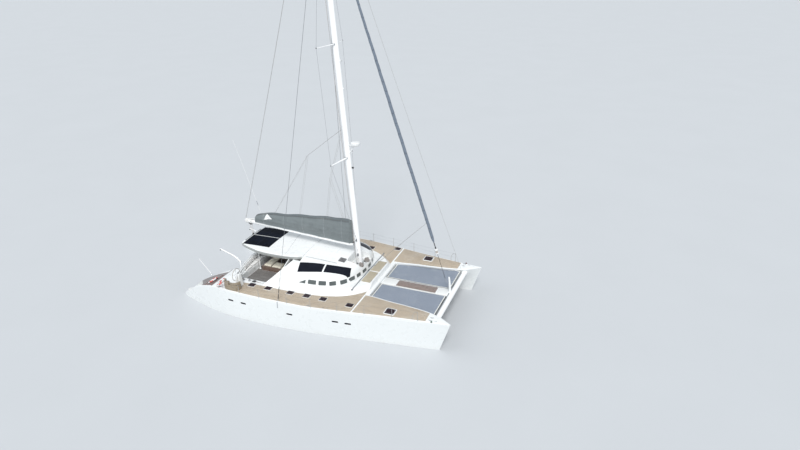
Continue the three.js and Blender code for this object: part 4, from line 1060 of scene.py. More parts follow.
def roof_z(x, y, lift=0.0):
    """height of the cabin's skin over a point of the plan, in metres"""
    X, Y = x * 1000, abs(y) * 1000

    def beyond(s):
        w, front, p, za, zf = shell_row(s)
        t = (X - SHELL_AFT) / (front - SHELL_AFT)
        return t >= 1 or Y > w * math.sqrt(max(0, 1 - max(0, t) ** p))
    lo, hi = 0.0, float(len(SHELL) - 1)
    if not beyond(hi):
        s = hi
    else:
        for _ in range(34):
            mid = (lo + hi) / 2
            if beyond(mid):
                hi = mid
            else:
                lo = mid
        s = lo
    w, front, p, za, zf = shell_row(s)
    return (za + (zf - za) * min(1, max(0, (X + 1000) / 3900))) / 1000 + lift


def plinth_solid():
    rings = []
    rows = PLINTH
    for i in range(len(rows) - 1):
        for k in range(6 if i < len(rows) - 2 else 7):
            t = k / 6
            p0, p1, p2, p3 = rows[max(i - 1, 0)], rows[i], rows[i + 1], rows[min(i + 2, len(rows) - 1)]
            rings.append([0.5 * (2 * b + (c - a) * t + (2 * a - 5 * b + 4 * c - d) * t * t + (3 * b - a - 3 * c + d) * t ** 3) for a, b, c, d in zip(p0, p1, p2, p3)])
    out = []
    for w, front, p, z in rings:
        half = [mm(x, y, z) for x, y in plan_curve(w, front, p, 80)]
        out.append([(x, -y, zz) for x, y, zz in half] + list(reversed(half[:-1])))
    return Build().loft(out).raw("plinth")


outer = shell_solid("outer", 0, 0, 2.3)
inner = shell_solid("inner", 60, 55, 2.2, 400, step=0.5)
cabin = carve(outer, inner)
plinth = plinth_solid()
carve(plinth, Build().box((3.86, -6, 1.5), (6, 6, 3)).raw("front"))
pin = shell_solid("inner2", 60, 55, 1.7, 400, step=0.5)
carve(plinth, pin)
carve(cabin, plinth, "UNION")
keep = prism_xz(KEEP, -5, 5, "keep")
carve(cabin, keep, "INTERSECT")
# well round the mast's foot, with its own tub
wellcut = Build()
wellcut.loft([[(x, y, z) for x, y in rounded(2.38, 0, 1.32, 1.8, 0.14, 6)] for z in (2.92, 4.2)])
wellcut = wellcut.raw("wellcut")
tub = Build()
tub.loft([[(x, y, z) for x, y in rounded(2.20, 0, 1.06, 1.9, 0.18, 6)] for z in (2.86, 3.9)])
tub = tub.raw("tub")
carve(tub, shell_solid("outer3", 1.0, 1.0, 2.3, step=0.5), "INTERSECT")
carve(cabin, tub, "UNION")
carve(cabin, wellcut)

# openings: two panes a side in the roof, eight small lights a side in the wall
def pane_outline(x0, x1, side, grow=0.0):
    top = [(x / 1000, along(PANE_TOP, 1, x) / 1000) for x in span(max(x0, PANE_TOP[0][0]), min(x1[0], PANE_TOP[-1][0]), 110)]
    low = [(x / 1000, along(PANE_LOW, 1, x) / 1000) for x in span(max(x0 + (180 if x0 <= PANE_TOP[0][0] else 20), PANE_LOW[0][0]), min(x1[1], PANE_LOW[-1][0]), 110)]
    line = [(x, side * y) for x, y in top + low[::-1]]
    return shrink(line, -grow) if grow else line


PANES = [(-1230, (560, 580)), (690, (2360, 2480))]


def pane_lines(i):
    if i == 0:
        top = [(x, along(PANE_TOP, 1, x)) for x in span(-1230, 545, 100)]
        low = [(x, along(PANE_LOW, 1, x)) for x in span(-1050, 640, 100)]
    else:
        top = [(x, along(PANE_TOP, 1, x)) for x in span(665, 2360, 100)]
        low = [(x, along(PANE_LOW, 1, x)) for x in span(760, 2480, 100)]
    return top, low


def pane_plan(i, side, grow=0.0):
    top, low = pane_lines(i)
    line = [(x / 1000, side * y / 1000) for x, y in top + low[::-1]]
    return shrink(line, -grow) if grow else line


def skin_patch(b, top, low, side, lift, thick, mi=0, rows=10):
    """a sheet over the roof between two lines of the plan (mm), lift above the skin"""
    n = max(len(top), len(low))

    def at(line, t):
        s = t * (len(line) - 1)
        i = min(int(s), len(line) - 2)
        u = s - i
        return (line[i][0] + (line[i + 1][0] - line[i][0]) * u, line[i][1] + (line[i + 1][1] - line[i][1]) * u)
    cols = n * 2
    grid = []
    for r in range(rows + 1):
        row = []
        for c in range(cols + 1):
            a, d = at(top, c / cols), at(low, c / cols)
            x, y = (a[0] + (d[0] - a[0]) * r / rows) / 1000, (a[1] + (d[1] - a[1]) * r / rows) / 1000
            row.append((x, side * y, roof_z(x, y)))
        grid.append(row)
    v, f = [], []
    for k in (lift, lift - thick):
        v += [(x, y, z + k) for row in grid for x, y, z in row]
    m = (rows + 1) * (cols + 1)
    ix = lambda r, c, k: k * m + r * (cols + 1) + c
    for r in range(rows):
        for c in range(cols):
            f.append([ix(r, c, 0), ix(r, c + 1, 0), ix(r + 1, c + 1, 0), ix(r + 1, c, 0)])
            f.append([ix(r, c, 1), ix(r + 1, c, 1), ix(r + 1, c + 1, 1), ix(r, c + 1, 1)])
    rim = [(0, c) for c in range(cols)] + [(r, cols) for r in range(rows)] + [(rows, c) for c in range(cols, 0, -1)] + [(r, 0) for r in range(rows, 0, -1)]
    for i in range(len(rim)):
        a, d = rim[i], rim[(i + 1) % len(rim)]
        f.append([ix(*a, 0), ix(*a, 1), ix(*d, 1), ix(*d, 0)])
    b.add(v, f, mi)


cuts = Build()
for side in (-1, 1):
    for i in (0, 1):
        cuts.prism(pane_plan(i, side, 0.006), 2.85, 3.9)
carve(cabin, cuts.raw("panes"))


def small_ring(side, row, grow, deep, r=0.05):
    x, y, heading, w, h, z = row
    a = math.radians(heading) * side
    n = Vector((math.cos(a), math.sin(a), 0))
    t = Vector((-n.y, n.x, 0))
    o = Vector((x / 1000, side * y / 1000, z / 1000))
    pts = rounded(0, 0, w / 1000 + grow, h / 1000 + grow, r)
    if row is SMALL[0]:
        # the aftmost light tapers to a point
        aft = []
        for u, v in rounded(0, 0, w / 1000 + grow, h / 1000 + grow, 0.02):
            k = (u * side / (w / 1000 + grow) + 0.5)     # 0 at the after end
            aft.append((u, (v + h / 2000) * (0.12 + 0.88 * min(1, max(0, 1 - k) * 1.6)) - h / 2000))
        pts = aft
    return [o + t * u + Vector((0, 0, v)) + n * deep for u, v in pts]


cuts = Build()
for side in (-1, 1):
    for row in SMALL:
        cuts.loft([small_ring(side, row, 0, d) for d in (-0.35, 0.35)])
carve(cabin, cuts.raw("smalls"))
hatchhole = Build().loft([[(x, y, z) for x, y in rounded(1.46, -1.0, 0.46, 0.46, 0.04)] for z in (3.0, 4.2)]).raw("hole")
carve(cabin, hatchhole)
lock = Build()
for side in (-1, 1):
    lock.box((3.09, min(side * 0.06, side * 1.56), 1.9), (3.75, max(side * 0.06, side * 1.56), 2.6))
carve(cabin, lock.raw("lockers"))
cabin = dress(cabin, "cabin_moulding", [GEL_IN], sharp=30, slot="gelcoat", replaces=("coachroof", "saloon_wall", "cabin_plinth"))

for s, side in SIDES:
    b = Build()
    for i in (0, 1):
        top, low = pane_lines(i)
        skin_patch(b, top, low, side, -0.003, 0.008)
    ob = b.make(f"{s}_roof_glass", DARKGLASS, sharp=40, slot="dark_glass")
    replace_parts(ob, f"{s}_roof_window")

# glass of the small lights: a slice of the cabin's side seen through the openings
slice_out = shell_solid("slice", 14, 0, 2.3, step=0.5)
slice_in = shell_solid("slice2", 22, 0, 2.2, 300, step=0.5)
carve(slice_out, slice_in)
cuts = Build()
for side in (-1, 1):
    for row in SMALL:
        cuts.loft([small_ring(side, row, 0.03, d) for d in (-0.16, 0.16)])
carve(slice_out, cuts.raw("cuts"), "INTERSECT")
glass = dress(slice_out, "saloon_side_lights", [GREYGLASS], sharp=40, slot="dark_glass", replaces=("saloon_window_band",))


# ---------------------------------------------------------------- hardtop and its posts
def hardtop_row(x):
    return [along(HARDTOP, c, x) for c in (1, 2, 3)]


def hardtop_z(x, y, lift=0.0):
    w, ze, zc = hardtop_row(x * 1000)
    return (zc - (zc - ze) * min(1, abs(y) * 1000 / w) ** 2.2) / 1000 + lift


def hardtop_ring(x):
    w, ze, zc = hardtop_row(x)
    r = 42
    half = [(0, 3400.3), (w * 0.5, 3400.3), (w - 60, 3400.3), (w - 34, 3404), (w - 24, 3420), (w - 12, 3500), (w - 2, ze - 62)]
    for a in (0, 22, 45, 68, 90):
        q = math.radians(a)
        half.append((w - r + r * math.cos(q), ze - 46 + (r - 2) * math.sin(q)))
    for f in (0.93, 0.85, 0.75, 0.62, 0.5, 0.36, 0.2, 0.08):
        y = w * f
        half.append((y, zc - (zc - ze) * f ** 2.2))
    half.append((0, zc))
    return [mm(x, y, z) for y, z in half] + [mm(x, -y, z) for y, z in reversed(half[1:-1])]


rows = [-6620, -6612, -6600, -6585, -6560, -6530, -6480, -6420, -6340] + span(-6250, -1300.3, 120)
b = Build().loft([hardtop_ring(x) for x in rows])
# the strip between the lower lip and the edge's radius is coloured grey: painted shade on the hardtop's side band
n = len(hardtop_ring(-3000))
for i, f in enumerate(b.f):
    zs = [b.v[k][2] for k in f]
    ys = [abs(b.v[k][1]) for k in f]
    if len(f) == 4 and min(zs) > 3.41 and max(zs) < 3.64 and sum(ys) / 4 > 0.5 and b.v[f[0]][0] < -1.32:
        b.m[i] = 1
hard = b.make("hardtop", [GEL_IN, HARDTOP_SIDE_SHADE], sharp=34, slot="gelcoat")
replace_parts(hard, "cockpit_hardtop")
b = Build()
for s, side in SIDES:
    y = side * 1.02
    b.lathe([(0.08, 0), (0.08, 0.006), (0.074, 0.012), (0.05, 0.03), (0.040, 0.06), (0.038, 0.1), (0.038, 1.80), (0.044, 1.84), (0.07, 1.872), (0.078, 1.885), (0.078, 1.905)], (-5.49, y, 1.5003), seg=32)
posts = b.make("hardtop_posts", MASTPAINT, sharp=50)

# lining and lamps under the hardtop
b = Build()
for x0, x1 in ((-6.46, -4.75), (-4.69, -3.05), (-2.99, -1.5)):
    for y0, y1 in ((-1.55, -0.06), (0.06, 1.55)):
        if x0 < -6:
            y0, y1 = max(y0, -1.2), min(y1, 1.2)
        pad(b, rounded((x0 + x1) / 2, (y0 + y1) / 2, x1 - x0, y1 - y0, 0.05)[::-1], 3.402, 3.391, -0.004)
lining = b.make("hardtop_lining", WHITEVINYL, sharp=40)
b = Build()
for x in (-5.6, -4.0, -2.4):
    for y in (-0.9, 0.9):
        b.lathe([(0.045, 0), (0.045, -0.008), (0.036, -0.012), (0.034, -0.009), (0.0, -0.009)], (x, y, 3.3908), seg=24)
b.make("cockpit_lamps", STEEL, sharp=50)

# solar panels on the crown
for s, side in SIDES:
    b = Build()

    def panel(x0, x1, y0, y1, lift, thick, mi):
        nx, ny = 22, 14
        v, f = [], []
        for k in (lift, lift - thick):
            for i in range(nx + 1):
                for j in range(ny + 1):
                    x, y = x0 + (x1 - x0) * i / nx, y0 + (y1 - y0) * j / ny
                    v.append((x, side * y, hardtop_z(x, y, k)))
        m = (nx + 1) * (ny + 1)
        ix = lambda i, j, k: k * m + i * (ny + 1) + j
        for i in range(nx):
            for j in range(ny):
                f.append([ix(i, j, 0), ix(i + 1, j, 0), ix(i + 1, j + 1, 0), ix(i, j + 1, 0)])
                f.append([ix(i, j, 1), ix(i, j + 1, 1), ix(i + 1, j + 1, 1), ix(i + 1, j, 1)])
        rim = [(i, 0) for i in range(nx)] + [(nx, j) for j in range(ny)] + [(i, ny) for i in range(nx, 0, -1)] + [(0, j) for j in range(ny, 0, -1)]
        for i in range(len(rim)):
            a, d = rim[i], rim[(i + 1) % len(rim)]
            f.append([ix(*a, 0), ix(*a, 1), ix(*d, 1), ix(*d, 0)])
        b.add(v, f, mi)
    panel(-6.43, -4.18, 0.036, 1.48, 0.012, 0.016, 1)
    for x0, x1 in ((-6.412, -5.313), (-5.297, -4.198)):
        panel(x0, x1, 0.054, 1.462, 0.015, 0.012, 0)
    ob = b.make(f"{s}_solar_array", [SOLAR, BLACK], sharp=40, slot="solar_panel")
    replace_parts(ob, f"{s}_solar_panel")



# ---------------------------------------------------------------- hatches
def turned(rx, ry, rz=0):
    return Matrix.Rotation(math.radians(rz), 3, "Z") @ Matrix.Rotation(math.radians(ry), 3, "Y") @ Matrix.Rotation(math.radians(rx), 3, "X")


def place(b, start, at, turn=None):
    """moves what was added after start to its place"""
    for i in range(start, len(b.v)):
        p = Vector(b.v[i])
        if turn:
            p = turn @ p
        b.v[i] = tuple(p + Vector(at))


def deck_hatch(b, cx, cy, sx, sy, z, heading=0, lid=True):
    """fixed frame (0) with a dark lid (1), a gasket (2) and its steel catches (3)"""
    i = len(b.v)
    o = rounded(0, 0, sx, sy, 0.06)
    b.loft([[(x, y, 0.0) for x, y in o], [(x, y, 0.010) for x, y in o], [(x, y, 0.018) for x, y in shrink(o, 0.007)], [(x, y, 0.018) for x, y in shrink(o, 0.019)], [(x, y, 0.010) for x, y in shrink(o, 0.022)]], 0)
    if lid:
        l = rounded(0, 0, sx - 0.052, sy - 0.052, 0.05)
        b.loft([[(x, y, 0.006) for x, y in shrink(l, -0.006)], [(x, y, 0.016) for x, y in shrink(l, -0.006)], [(x, y, 0.018) for x, y in shrink(l, 0.001)]], 2)
        b.loft([[(x, y, 0.014) for x, y in l], [(x, y, 0.027) for x, y in l], [(x, y, 0.031) for x, y in shrink(l, 0.005)], [(x, y, 0.0315) for x, y in shrink(l, 0.03)]], 1)
        for s in (-1, 1):
            b.box((-0.018, -0.012, 0), (0.018, 0.012, 0.010), 0.004, 3, at=(s * sx * 0.22, -sy / 2 + 0.055, 0.034))
            b.lathe([(0.014, 0.028), (0.014, 0.036), (0.010, 0.040), (0.0, 0.041)], (s * sx * 0.22, sy / 2 - 0.075, 0), seg=16, mi=3)
    place(b, i, (cx, cy, z), turned(0, 0, heading))


SMALLHATCH = [(-4.10, 4.07), (-2.79, 4.06), (-1.06, 4.03), (0.19, 4.01), (1.42, 3.99), (3.40, 4.06)]
for s, side in SIDES:
    b = Build()
    for x, y in SMALLHATCH:
        if side > 0 and x > 3:
            y = 4.50
        deck_hatch(b, x, side * y, 0.52, 0.47, 2.0383)
    b.make(f"{s}_deck_hatches", [GEL, SMOKE, GASKET, STEEL], sharp=40, slot="hatch_acrylic")


def hinged_lid(name, node, body, at, turn, size, glass=None):
    """hatch lid of dark acrylic in a light frame, in the space of its node"""
    b = Build()
    i = len(b.v)
    o = rounded(0, 0, size, size, size * 0.11, 6)
    b.loft([[(x, y, 0.001) for x, y in shrink(o, 0.003)], [(x, y, 0.004) for x, y in o], [(x, y, 0.022) for x, y in o], [(x, y, 0.029) for x, y in shrink(o, 0.006)], [(x, y, 0.029) for x, y in shrink(o, 0.018)],
            [(x, y, 0.026) for x, y in shrink(o, 0.021)]], 0)
    l = shrink(o, 0.023)
    b.loft([[(x, y, 0.010) for x, y in l], [(x, y, 0.033) for x, y in l], [(x, y, 0.037) for x, y in shrink(l, 0.005)], [(x, y, 0.0375) for x, y in shrink(l, 0.05)]], 1)
    b.loft([[(x, y, 0.02) for x, y in shrink(o, 0.017)], [(x, y, 0.0312) for x, y in shrink(o, 0.017)], [(x, y, 0.0312) for x, y in shrink(o, 0.0245)], [(x, y, 0.02) for x, y in shrink(o, 0.0245)]], 2, caps=False)
    h = size / 2
    for y in (-size * 0.28, size * 0.28):
        b.box((h * 0.70, y - 0.03, 0.030), (h * 0.985, y + 0.03, 0.0385), 0.003, 3)
        b.lathe([(0.016, 0.036), (0.016, 0.041), (0.012, 0.044), (0.0, 0.0445)], (-h * 0.62, y, 0), seg=18, mi=3)
        b.box((-0.03, -0.008, -0.004), (0.03, 0.008, 0.004), 0.003, 3, at=(-h * 0.62 + 0.02, y, 0.0415))
    place(b, i, at, turn)
    ob = b.make(name, [GEL, glass or SMOKE, GASKET, STEEL], body=body, sharp=40, slot="hatch_acrylic")
    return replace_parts(ob, node)


hinged_lid("roof_hatch", "roof_hatch_lid", "roof_hatch", (1.46, -1.0, 3.472), turned(6.44, 5.5), 0.52, GREYACRYLIC)
for s, side in SIDES:
    hinged_lid(f"{s}_fore_hatch", f"{s}_fore_hatch_lid", f"{s}_fore_hatch", (6.17, side * 3.81, 2.0303), None, 0.64)
# rims let into the deck and the roof round the lids
b = Build()
for s, side in SIDES:
    o = rounded(6.17, side * 3.81, 0.74, 0.74, 0.10, 6)
    h = rounded(6.17, side * 3.81, 0.662, 0.662, 0.085, 6)
    b.loft([[(x, y, 2.028) for x, y in o], [(x, y, 2.041) for x, y in o], [(x, y, 2.047) for x, y in shrink(o, 0.006)], [(x, y, 2.047) for x, y in shrink(h, -0.006)], [(x, y, 2.041) for x, y in h], [(x, y, 2.028) for x, y in h]], caps=False)
b.make("fore_hatch_rims", GEL, sharp=40)
b = Build()
o, h = rounded(1.46, -1.0, 0.62, 0.62, 0.08, 6), rounded(1.46, -1.0, 0.536, 0.536, 0.07, 6)
b.loft([[(x, y, roof_z(x, y, -0.01)) for x, y in o], [(x, y, roof_z(x, y, 0.014)) for x, y in o], [(x, y, roof_z(x, y, 0.019)) for x, y in shrink(o, 0.006)], [(x, y, roof_z(x, y, 0.019)) for x, y in shrink(h, -0.006)],
        [(x, y, roof_z(x, y, 0.014)) for x, y in h], [(x, y, roof_z(x, y, -0.01)) for x, y in h]], caps=False)
b.make("roof_hatch_rim", GEL_IN, sharp=40)

# foredeck lockers: teak lids in a light rim, hinged at the front
for s, side in SIDES:
    lo, hi = (min(side * 0.012, side * 1.6), max(side * 0.012, side * 1.6))
    b = Build()
    o = rounded(3.42, (lo + hi) / 2, 0.76, hi - lo, 0.05)
    b.loft([[(x, y, 2.4006) for x, y in shrink(o, 0.004)], [(x, y, 2.405) for x, y in o], [(x, y, 2.424) for x, y in o], [(x, y, 2.430) for x, y in shrink(o, 0.006)], [(x, y, 2.430) for x, y in shrink(o, 0.036)], [(x, y, 2.427) for x, y in shrink(o, 0.039)]], 1)
    pad(b, shrink(o, 0.041), 2.42, 2.434, 0.003, 0)
    for y in (lo + 0.3, hi - 0.3):
        b.box((3.70, y - 0.05, 2.431), (3.785, y + 0.05, 2.4385), 0.003, 2)
    b.lathe([(0.034, 2.433), (0.034, 2.4375), (0.028, 2.4395), (0.018, 2.438), (0.0, 2.438)], (3.12, (lo + hi) / 2, 0), seg=24, mi=2)
    ob = b.make(f"{s}_foredeck_locker", [LOCKERTEAK, GEL, STEEL], body=f"{s}_locker", sharp=40, slot="locker_teak")
    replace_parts(ob, f"{s}_locker_lid")

# jib track across the front of the cabin, with its car and end stops
b = Build()
b.loft([[(2.975 + u, y, 2.4004 + v) for u, v in ((-0.03, 0), (0.03, 0), (0.03, 0.012), (0.012, 0.018), (0.012, 0.03), (0.022, 0.034), (0.022, 0.046), (0.014, 0.052), (-0.014, 0.052), (-0.022, 0.046), (-0.022, 0.034), (-0.012, 0.03), (-0.012, 0.018), (-0.03, 0.012))] for y in span(-2.84, 2.84, 0.2)])
for k in range(29):
    y = -2.8 + 0.2 * k
    b.lathe([(0.007, 2.4004), (0.007, 2.4170), (0.0, 2.418)], (2.951, y, 0), seg=10, mi=1)
    b.lathe([(0.007, 2.4004), (0.007, 2.4170), (0.0, 2.418)], (2.999, y, 0), seg=10, mi=1)
b.box((2.94, -0.11, 2.432), (3.01, 0.11, 2.453), 0.006, 2)
for y in (-2.82, 2.82):
    b.box((2.945, y - 0.03, 2.402), (3.005, y + 0.03, 2.4545), 0.008, 2)
ob = b.make("jib_sheet_track", [ALU, STEEL, BLACK], sharp=40, slot="spar_white")
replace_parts(ob, "jib_track")


# ---------------------------------------------------------------- bow: beam, post, catwalk, nets
def oval_tube(b, pts, a, c, sides=28, mi=0):
    """an oval bar along y: a across x, c across z"""
    b.loft([[(x + math.cos(k / sides * 2 * math.pi) * a * s, y, z + math.sin(k / sides * 2 * math.pi) * c * s) for k in range(sides)] for x, y, z, s in pts], mi)


beam_end = 3.9 - along(HULL, 5, 8900) / 1000
b = Build()
oval_tube(b, [(9.11, y, 1.70, 1.0) for y in span(-3.42, 3.42, 0.3)], 0.18, 0.15)
for s in (-1, 1):
    oval_tube(b, [(9.11, s * y, 1.70, k) for y, k in ((3.10, 1.0), (3.11, 1.07), (3.16, 1.09), (3.40, 1.09))], 0.18, 0.15)
    for k in range(8):
        a = k / 8 * 2 * math.pi + 0.3
        b.lathe([(0.012, 0), (0.012, 0.008), (0.0, 0.009)], (9.11 + math.cos(a) * 0.196, s * 3.25, 1.70 + math.sin(a) * 0.163), (math.cos(a), 0, math.sin(a)), 8, 1)
# net track along the beam's after side
b.box((8.915, -3.35, 1.755), (8.945, 3.35, 1.785), 0.006, 1)
ob = b.make("bow_beam", [MASTPAINT, STEEL], sharp=45, slot="spar_white")
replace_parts(ob, "bow_crossbeam")

b = Build()
prof = [(9.02, 1.845, 0.100, 0.090), (9.012, 1.87, 0.098, 0.088), (9.008, 1.90, 0.088, 0.078), (8.998, 2.1, 0.084, 0.074), (8.99, 2.3, 0.080, 0.070), (8.96, 2.62, 0.072, 0.065), (8.93, 2.94, 0.062, 0.058), (8.918, 3.02, 0.056, 0.052), (8.905, 3.06, 0.044, 0.040), (8.90, 3.078, 0.02, 0.02)]
b.loft([[(x + math.cos(k / 28 * 2 * math.pi) * rx, math.sin(k / 28 * 2 * math.pi) * ry, z) for k in range(28)] for x, z, rx, ry in prof])
b.lathe([(0.03, 0), (0.03, 0.09), (0.0, 0.09)], (8.87, 0.045, 2.30), (0, -1, 0), 16, 1)
b.box((8.80, -0.03, 2.27), (8.92, -0.018, 2.33), 0.004, 1)
b.box((8.80, 0.018, 2.27), (8.92, 0.03, 2.33), 0.004, 1)
ob = b.make("stay_post", [GEL, STEEL], sharp=50)
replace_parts(ob, "forestay_post")

# catwalk: alloy side rails, white landings at both ends and wooden slats between
b = Build()
for y in (-0.405, 0.405):
    b.box((4.1006, y - 0.022, 1.792), (8.918, y + 0.022, 1.866), 0.010, 0)
for x0, x1 in ((4.1006, 5.16), (8.06, 8.918)):
    b.box((x0, -0.385, 1.800), (x1, 0.385, 1.8695), 0.012, 0, 3)
    b.box((x0 + 0.06, -0.33, 1.8690), (x1 - 0.06, 0.33, 1.8699), 0.0004, 2)
x = 5.185
while x < 8.03:
    b.box((x, -0.384, 1.838), (x + 0.098, 0.384, 1.8675), 0.007, 1)
    x += 0.112
for x in (5.6, 6.4, 7.2, 7.9):
    b.box((x, -0.385, 1.802), (x + 0.05, 0.385, 1.836), 0.006, 0)
ob = b.make("catwalk_slats", [GEL, SLAT, NONSKID], sharp=40, slot="catwalk_teak")
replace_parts(ob, "catwalk")


def net_out(x):
    return max(deck_edge(x, 0.105, False), 0.5)


NET_IN, NET_X0, NET_X1 = 0.475, 4.17, 8.86


def net_z(x, y, side):
    """the mesh hangs a little between its edges"""
    y0, y1 = NET_IN, net_out(x)
    u = min(1, max(0, (abs(y) - y0) / max(0.1, y1 - y0)))
    w = min(1, max(0, (x - NET_X0) / (NET_X1 - NET_X0)))
    return 1.869 - 0.038 * (4 * u * (1 - u)) ** 0.8 * (4 * w * (1 - w)) ** 0.8


for s, side in SIDES:
    b = Build()
    nx, ny = 64, 36
    v, f = [], []
    for i in range(nx + 1):
        x = NET_X0 + (NET_X1 - NET_X0) * i / nx
        y0, y1 = NET_IN, min(net_out(x), 3.08 if x > 8.55 else 9)
        for j in range(ny + 1):
            # the edges draw in a little between the lacing eyes
            y = y0 + (y1 - y0) * j / ny
            pull = 0.012 * abs(math.sin(x * math.pi / 0.26))
            if j == 0:
                y += pull
            elif j == ny:
                y -= pull
            xx = x + (0.012 * abs(math.sin(y * math.pi / 0.26)) if i == 0 else -0.012 * abs(math.sin(y * math.pi / 0.26)) if i == nx else 0)
            v.append((xx, side * y, net_z(x, y, side)))
    for i in range(nx):
        for j in range(ny):
            a = i * (ny + 1) + j
            f.append([a, a + 1, a + ny + 2, a + ny + 1])
    net = Build().add(v, f).make(f"{s}_trampoline", NETM, sharp=60, slot="netting")
    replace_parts(net, f"{s}_net")
    # webbing sewn round the mesh, and the lacing that stretches it
    rim = [v[i * (ny + 1)] for i in range(nx + 1)] + [v[nx * (ny + 1) + j] for j in range(1, ny + 1)] + [v[i * (ny + 1) + ny] for i in range(nx - 1, -1, -1)] + [v[j] for j in range(ny - 1, 0, -1)]
    plan = [(p[0], p[1]) for p in rim]
    inner_line = shrink(plan, 0.055)
    tape = Build()
    zz = lambda p: net_z(p[0], p[1], side)
    tape.loft([[(p[0], p[1], zz(p) - 0.002) for p in plan], [(p[0], p[1], zz(p) + 0.004) for p in plan], [(p[0], p[1], zz(p) + 0.0045) for p in inner_line], [(p[0], p[1], zz(p) - 0.002) for p in inner_line]], caps=False)
    edge = tape.make(f"{s}_net_webbing", NETTAPE, sharp=60)
    lace = Build()

    def zigzag(points_in, points_out):
        path = []
        for k, (a, c) in enumerate(zip(points_in, points_out)):
            path.append(a if k % 2 == 0 else c)
        lace.tube(path, 0.004, 6)
    step = 0.13
    ins, outs = [], []
    for x in span(NET_X0 + 0.05, NET_X1 - 0.05, step):
        ins.append((x, side * (net_out(x) - 0.02), net_z(x, net_out(x), side) + 0.006))
        outs.append((x, side * (deck_edge(x, 0.03, False)), 1.885))
    zigzag(ins, outs)
    ins, outs = [], []
    for x in span(NET_X0 + 0.05, NET_X1 - 0.05, step):
        ins.append((x, side * (NET_IN + 0.02), 1.874))
        outs.append((x, side * 0.428, 1.85))
    zigzag(ins, outs)
    ins, outs = [], []
    for y in span(NET_IN + 0.05, 2.33, step):
        ins.append((NET_X0 + 0.02, side * y, 1.872))
        outs.append((4.105, side * y, 1.88))
    zigzag(ins, outs)
    ins, outs = [], []
    for y in span(NET_IN + 0.05, 3.0, step):
        ins.append((NET_X1 - 0.02, side * y, 1.872))
        outs.append((8.935, side * y, 1.785))
    zigzag(ins, outs)
    lacing = lace.make(f"{s}_net_lacing", ROPEG, sharp=80)
    # white rail along the hull's inner edge that takes the lacing
    rail = Build()
    rail.tube([(x, side * (deck_edge(x, 0.016, False)), 1.885) for x in span(4.2, 8.6, 0.2)], 0.012, 10)
    rail.make(f"{s}_net_rail", STEEL, sharp=80)
    area = (NET_X1 - NET_X0) * (sum(min(net_out(NET_X0 + (NET_X1 - NET_X0) * (i + 0.5) / nx), 3.08 if i > nx * 0.945 else 9) - NET_IN for i in range(nx)) / nx)
    wide = max(min(net_out(NET_X0 + (NET_X1 - NET_X0) * i / nx), 9) for i in range(nx + 1)) - NET_IN



# ---------------------------------------------------------------- mast and standing rig
MAST_RAKE, MAST_TOP, HOUNDS = 0.0664, 28.3, 26.22


def mast_x(z):
    return 2.3 - (z - 2.92) * MAST_RAKE


def mast_k(z):
    if z < 12:
        return 1.0
    if z < HOUNDS:
        return 1 - 0.02 * (z - 12) / (HOUNDS - 12)
    return 0.98 + (0.6 - 0.98) * (z - HOUNDS) / (MAST_TOP - HOUNDS)


def mast_section(z, n=44, grow=0.0):
    """rounded nose forward, fuller shoulders, flat back with the sail track's lips"""
    k = mast_k(z)
    out = []
    for i in range(n):
        a = i / n * 2 * math.pi
        c, q = math.cos(a), math.sin(a)
        x = 0.2 * k * math.copysign(abs(c) ** 0.92, c)
        y = 0.125 * k * math.copysign(abs(q) ** 0.86, q)
        if c < -0.93:
            x = -0.195 * k
        out.append((mast_x(z) + x * (1 + grow), y * (1 + grow), z))
    return out


b = Build()
b.loft([mast_section(z) for z in [2.931, 2.99] + span(3.2, 26.2, 0.9) + [26.6, 27.0, 27.4, 27.8, 28.12, 28.18]])
# sail track up the after face
track = [(-0.196, -0.022), (-0.214, -0.022), (-0.214, -0.007), (-0.204, -0.007), (-0.204, 0.007), (-0.214, 0.007), (-0.214, 0.022), (-0.196, 0.022)]
b.loft([[(mast_x(z) + x * (mast_k(z) if z > 12 else 1), y, z) for x, y in track] for z in [5.0] + span(6.0, 26.0, 4) + [27.9]], 1)
# foot casting, exit slots, winch pads and the masthead crane
b.lathe([(0.245, 0), (0.25, 0.01), (0.25, 0.03), (0.225, 0.045), (0.2, 0.05)], (mast_x(2.93), 0, 2.9305), seg=36, mi=1)
b.box((mast_x(28.15) - 0.34, -0.05, 28.14), (mast_x(28.15) + 0.26, 0.05, 28.205), 0.02, 0)
b.lathe([(0.055, -0.014), (0.06, -0.01), (0.045, 0), (0.06, 0.01), (0.055, 0.014)], (mast_x(28.15) - 0.31, 0, 28.12), (0, 1, 0), 20, 1)
b.lathe([(0.055, -0.014), (0.06, -0.01), (0.045, 0), (0.06, 0.01), (0.055, 0.014)], (mast_x(28.15) + 0.23, 0, 28.12), (0, 1, 0), 20, 1)
b.lathe([(0.032, 0), (0.034, 0.03), (0.03, 0.075), (0.012, 0.085), (0.0, 0.086)], (mast_x(28.15) - 0.02, 0, 28.205), seg=18, mi=3)
b.tube([(mast_x(28.15) - 0.16, 0.0, 28.2), (mast_x(28.15) - 0.16, 0, 28.285)], 0.006, 8, 1)
b.box((mast_x(28.15) - 0.27, -0.004, 28.262), (mast_x(28.15) - 0.07, 0.004, 28.292), 0.003, 2)
for z, y in ((3.62, 0.128), (3.62, -0.128), (4.75, 0.122), (4.75, -0.122)):
    b.box((mast_x(z) - 0.045, y - 0.012, z - 0.12), (mast_x(z) + 0.045, y + 0.012, z + 0.12), 0.008, 1)
for z in (15.2, 22.4):
    b.box((mast_x(z) + 0.15, -0.035, z - 0.02), (mast_x(z) + 0.24, 0.035, z + 0.05), 0.012, 0)
mast = b.make("mast_tube", [MASTPAINT, ALU, BLACK, CLEAR], sharp=50, slot="spar_white")
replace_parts(mast, "mast")


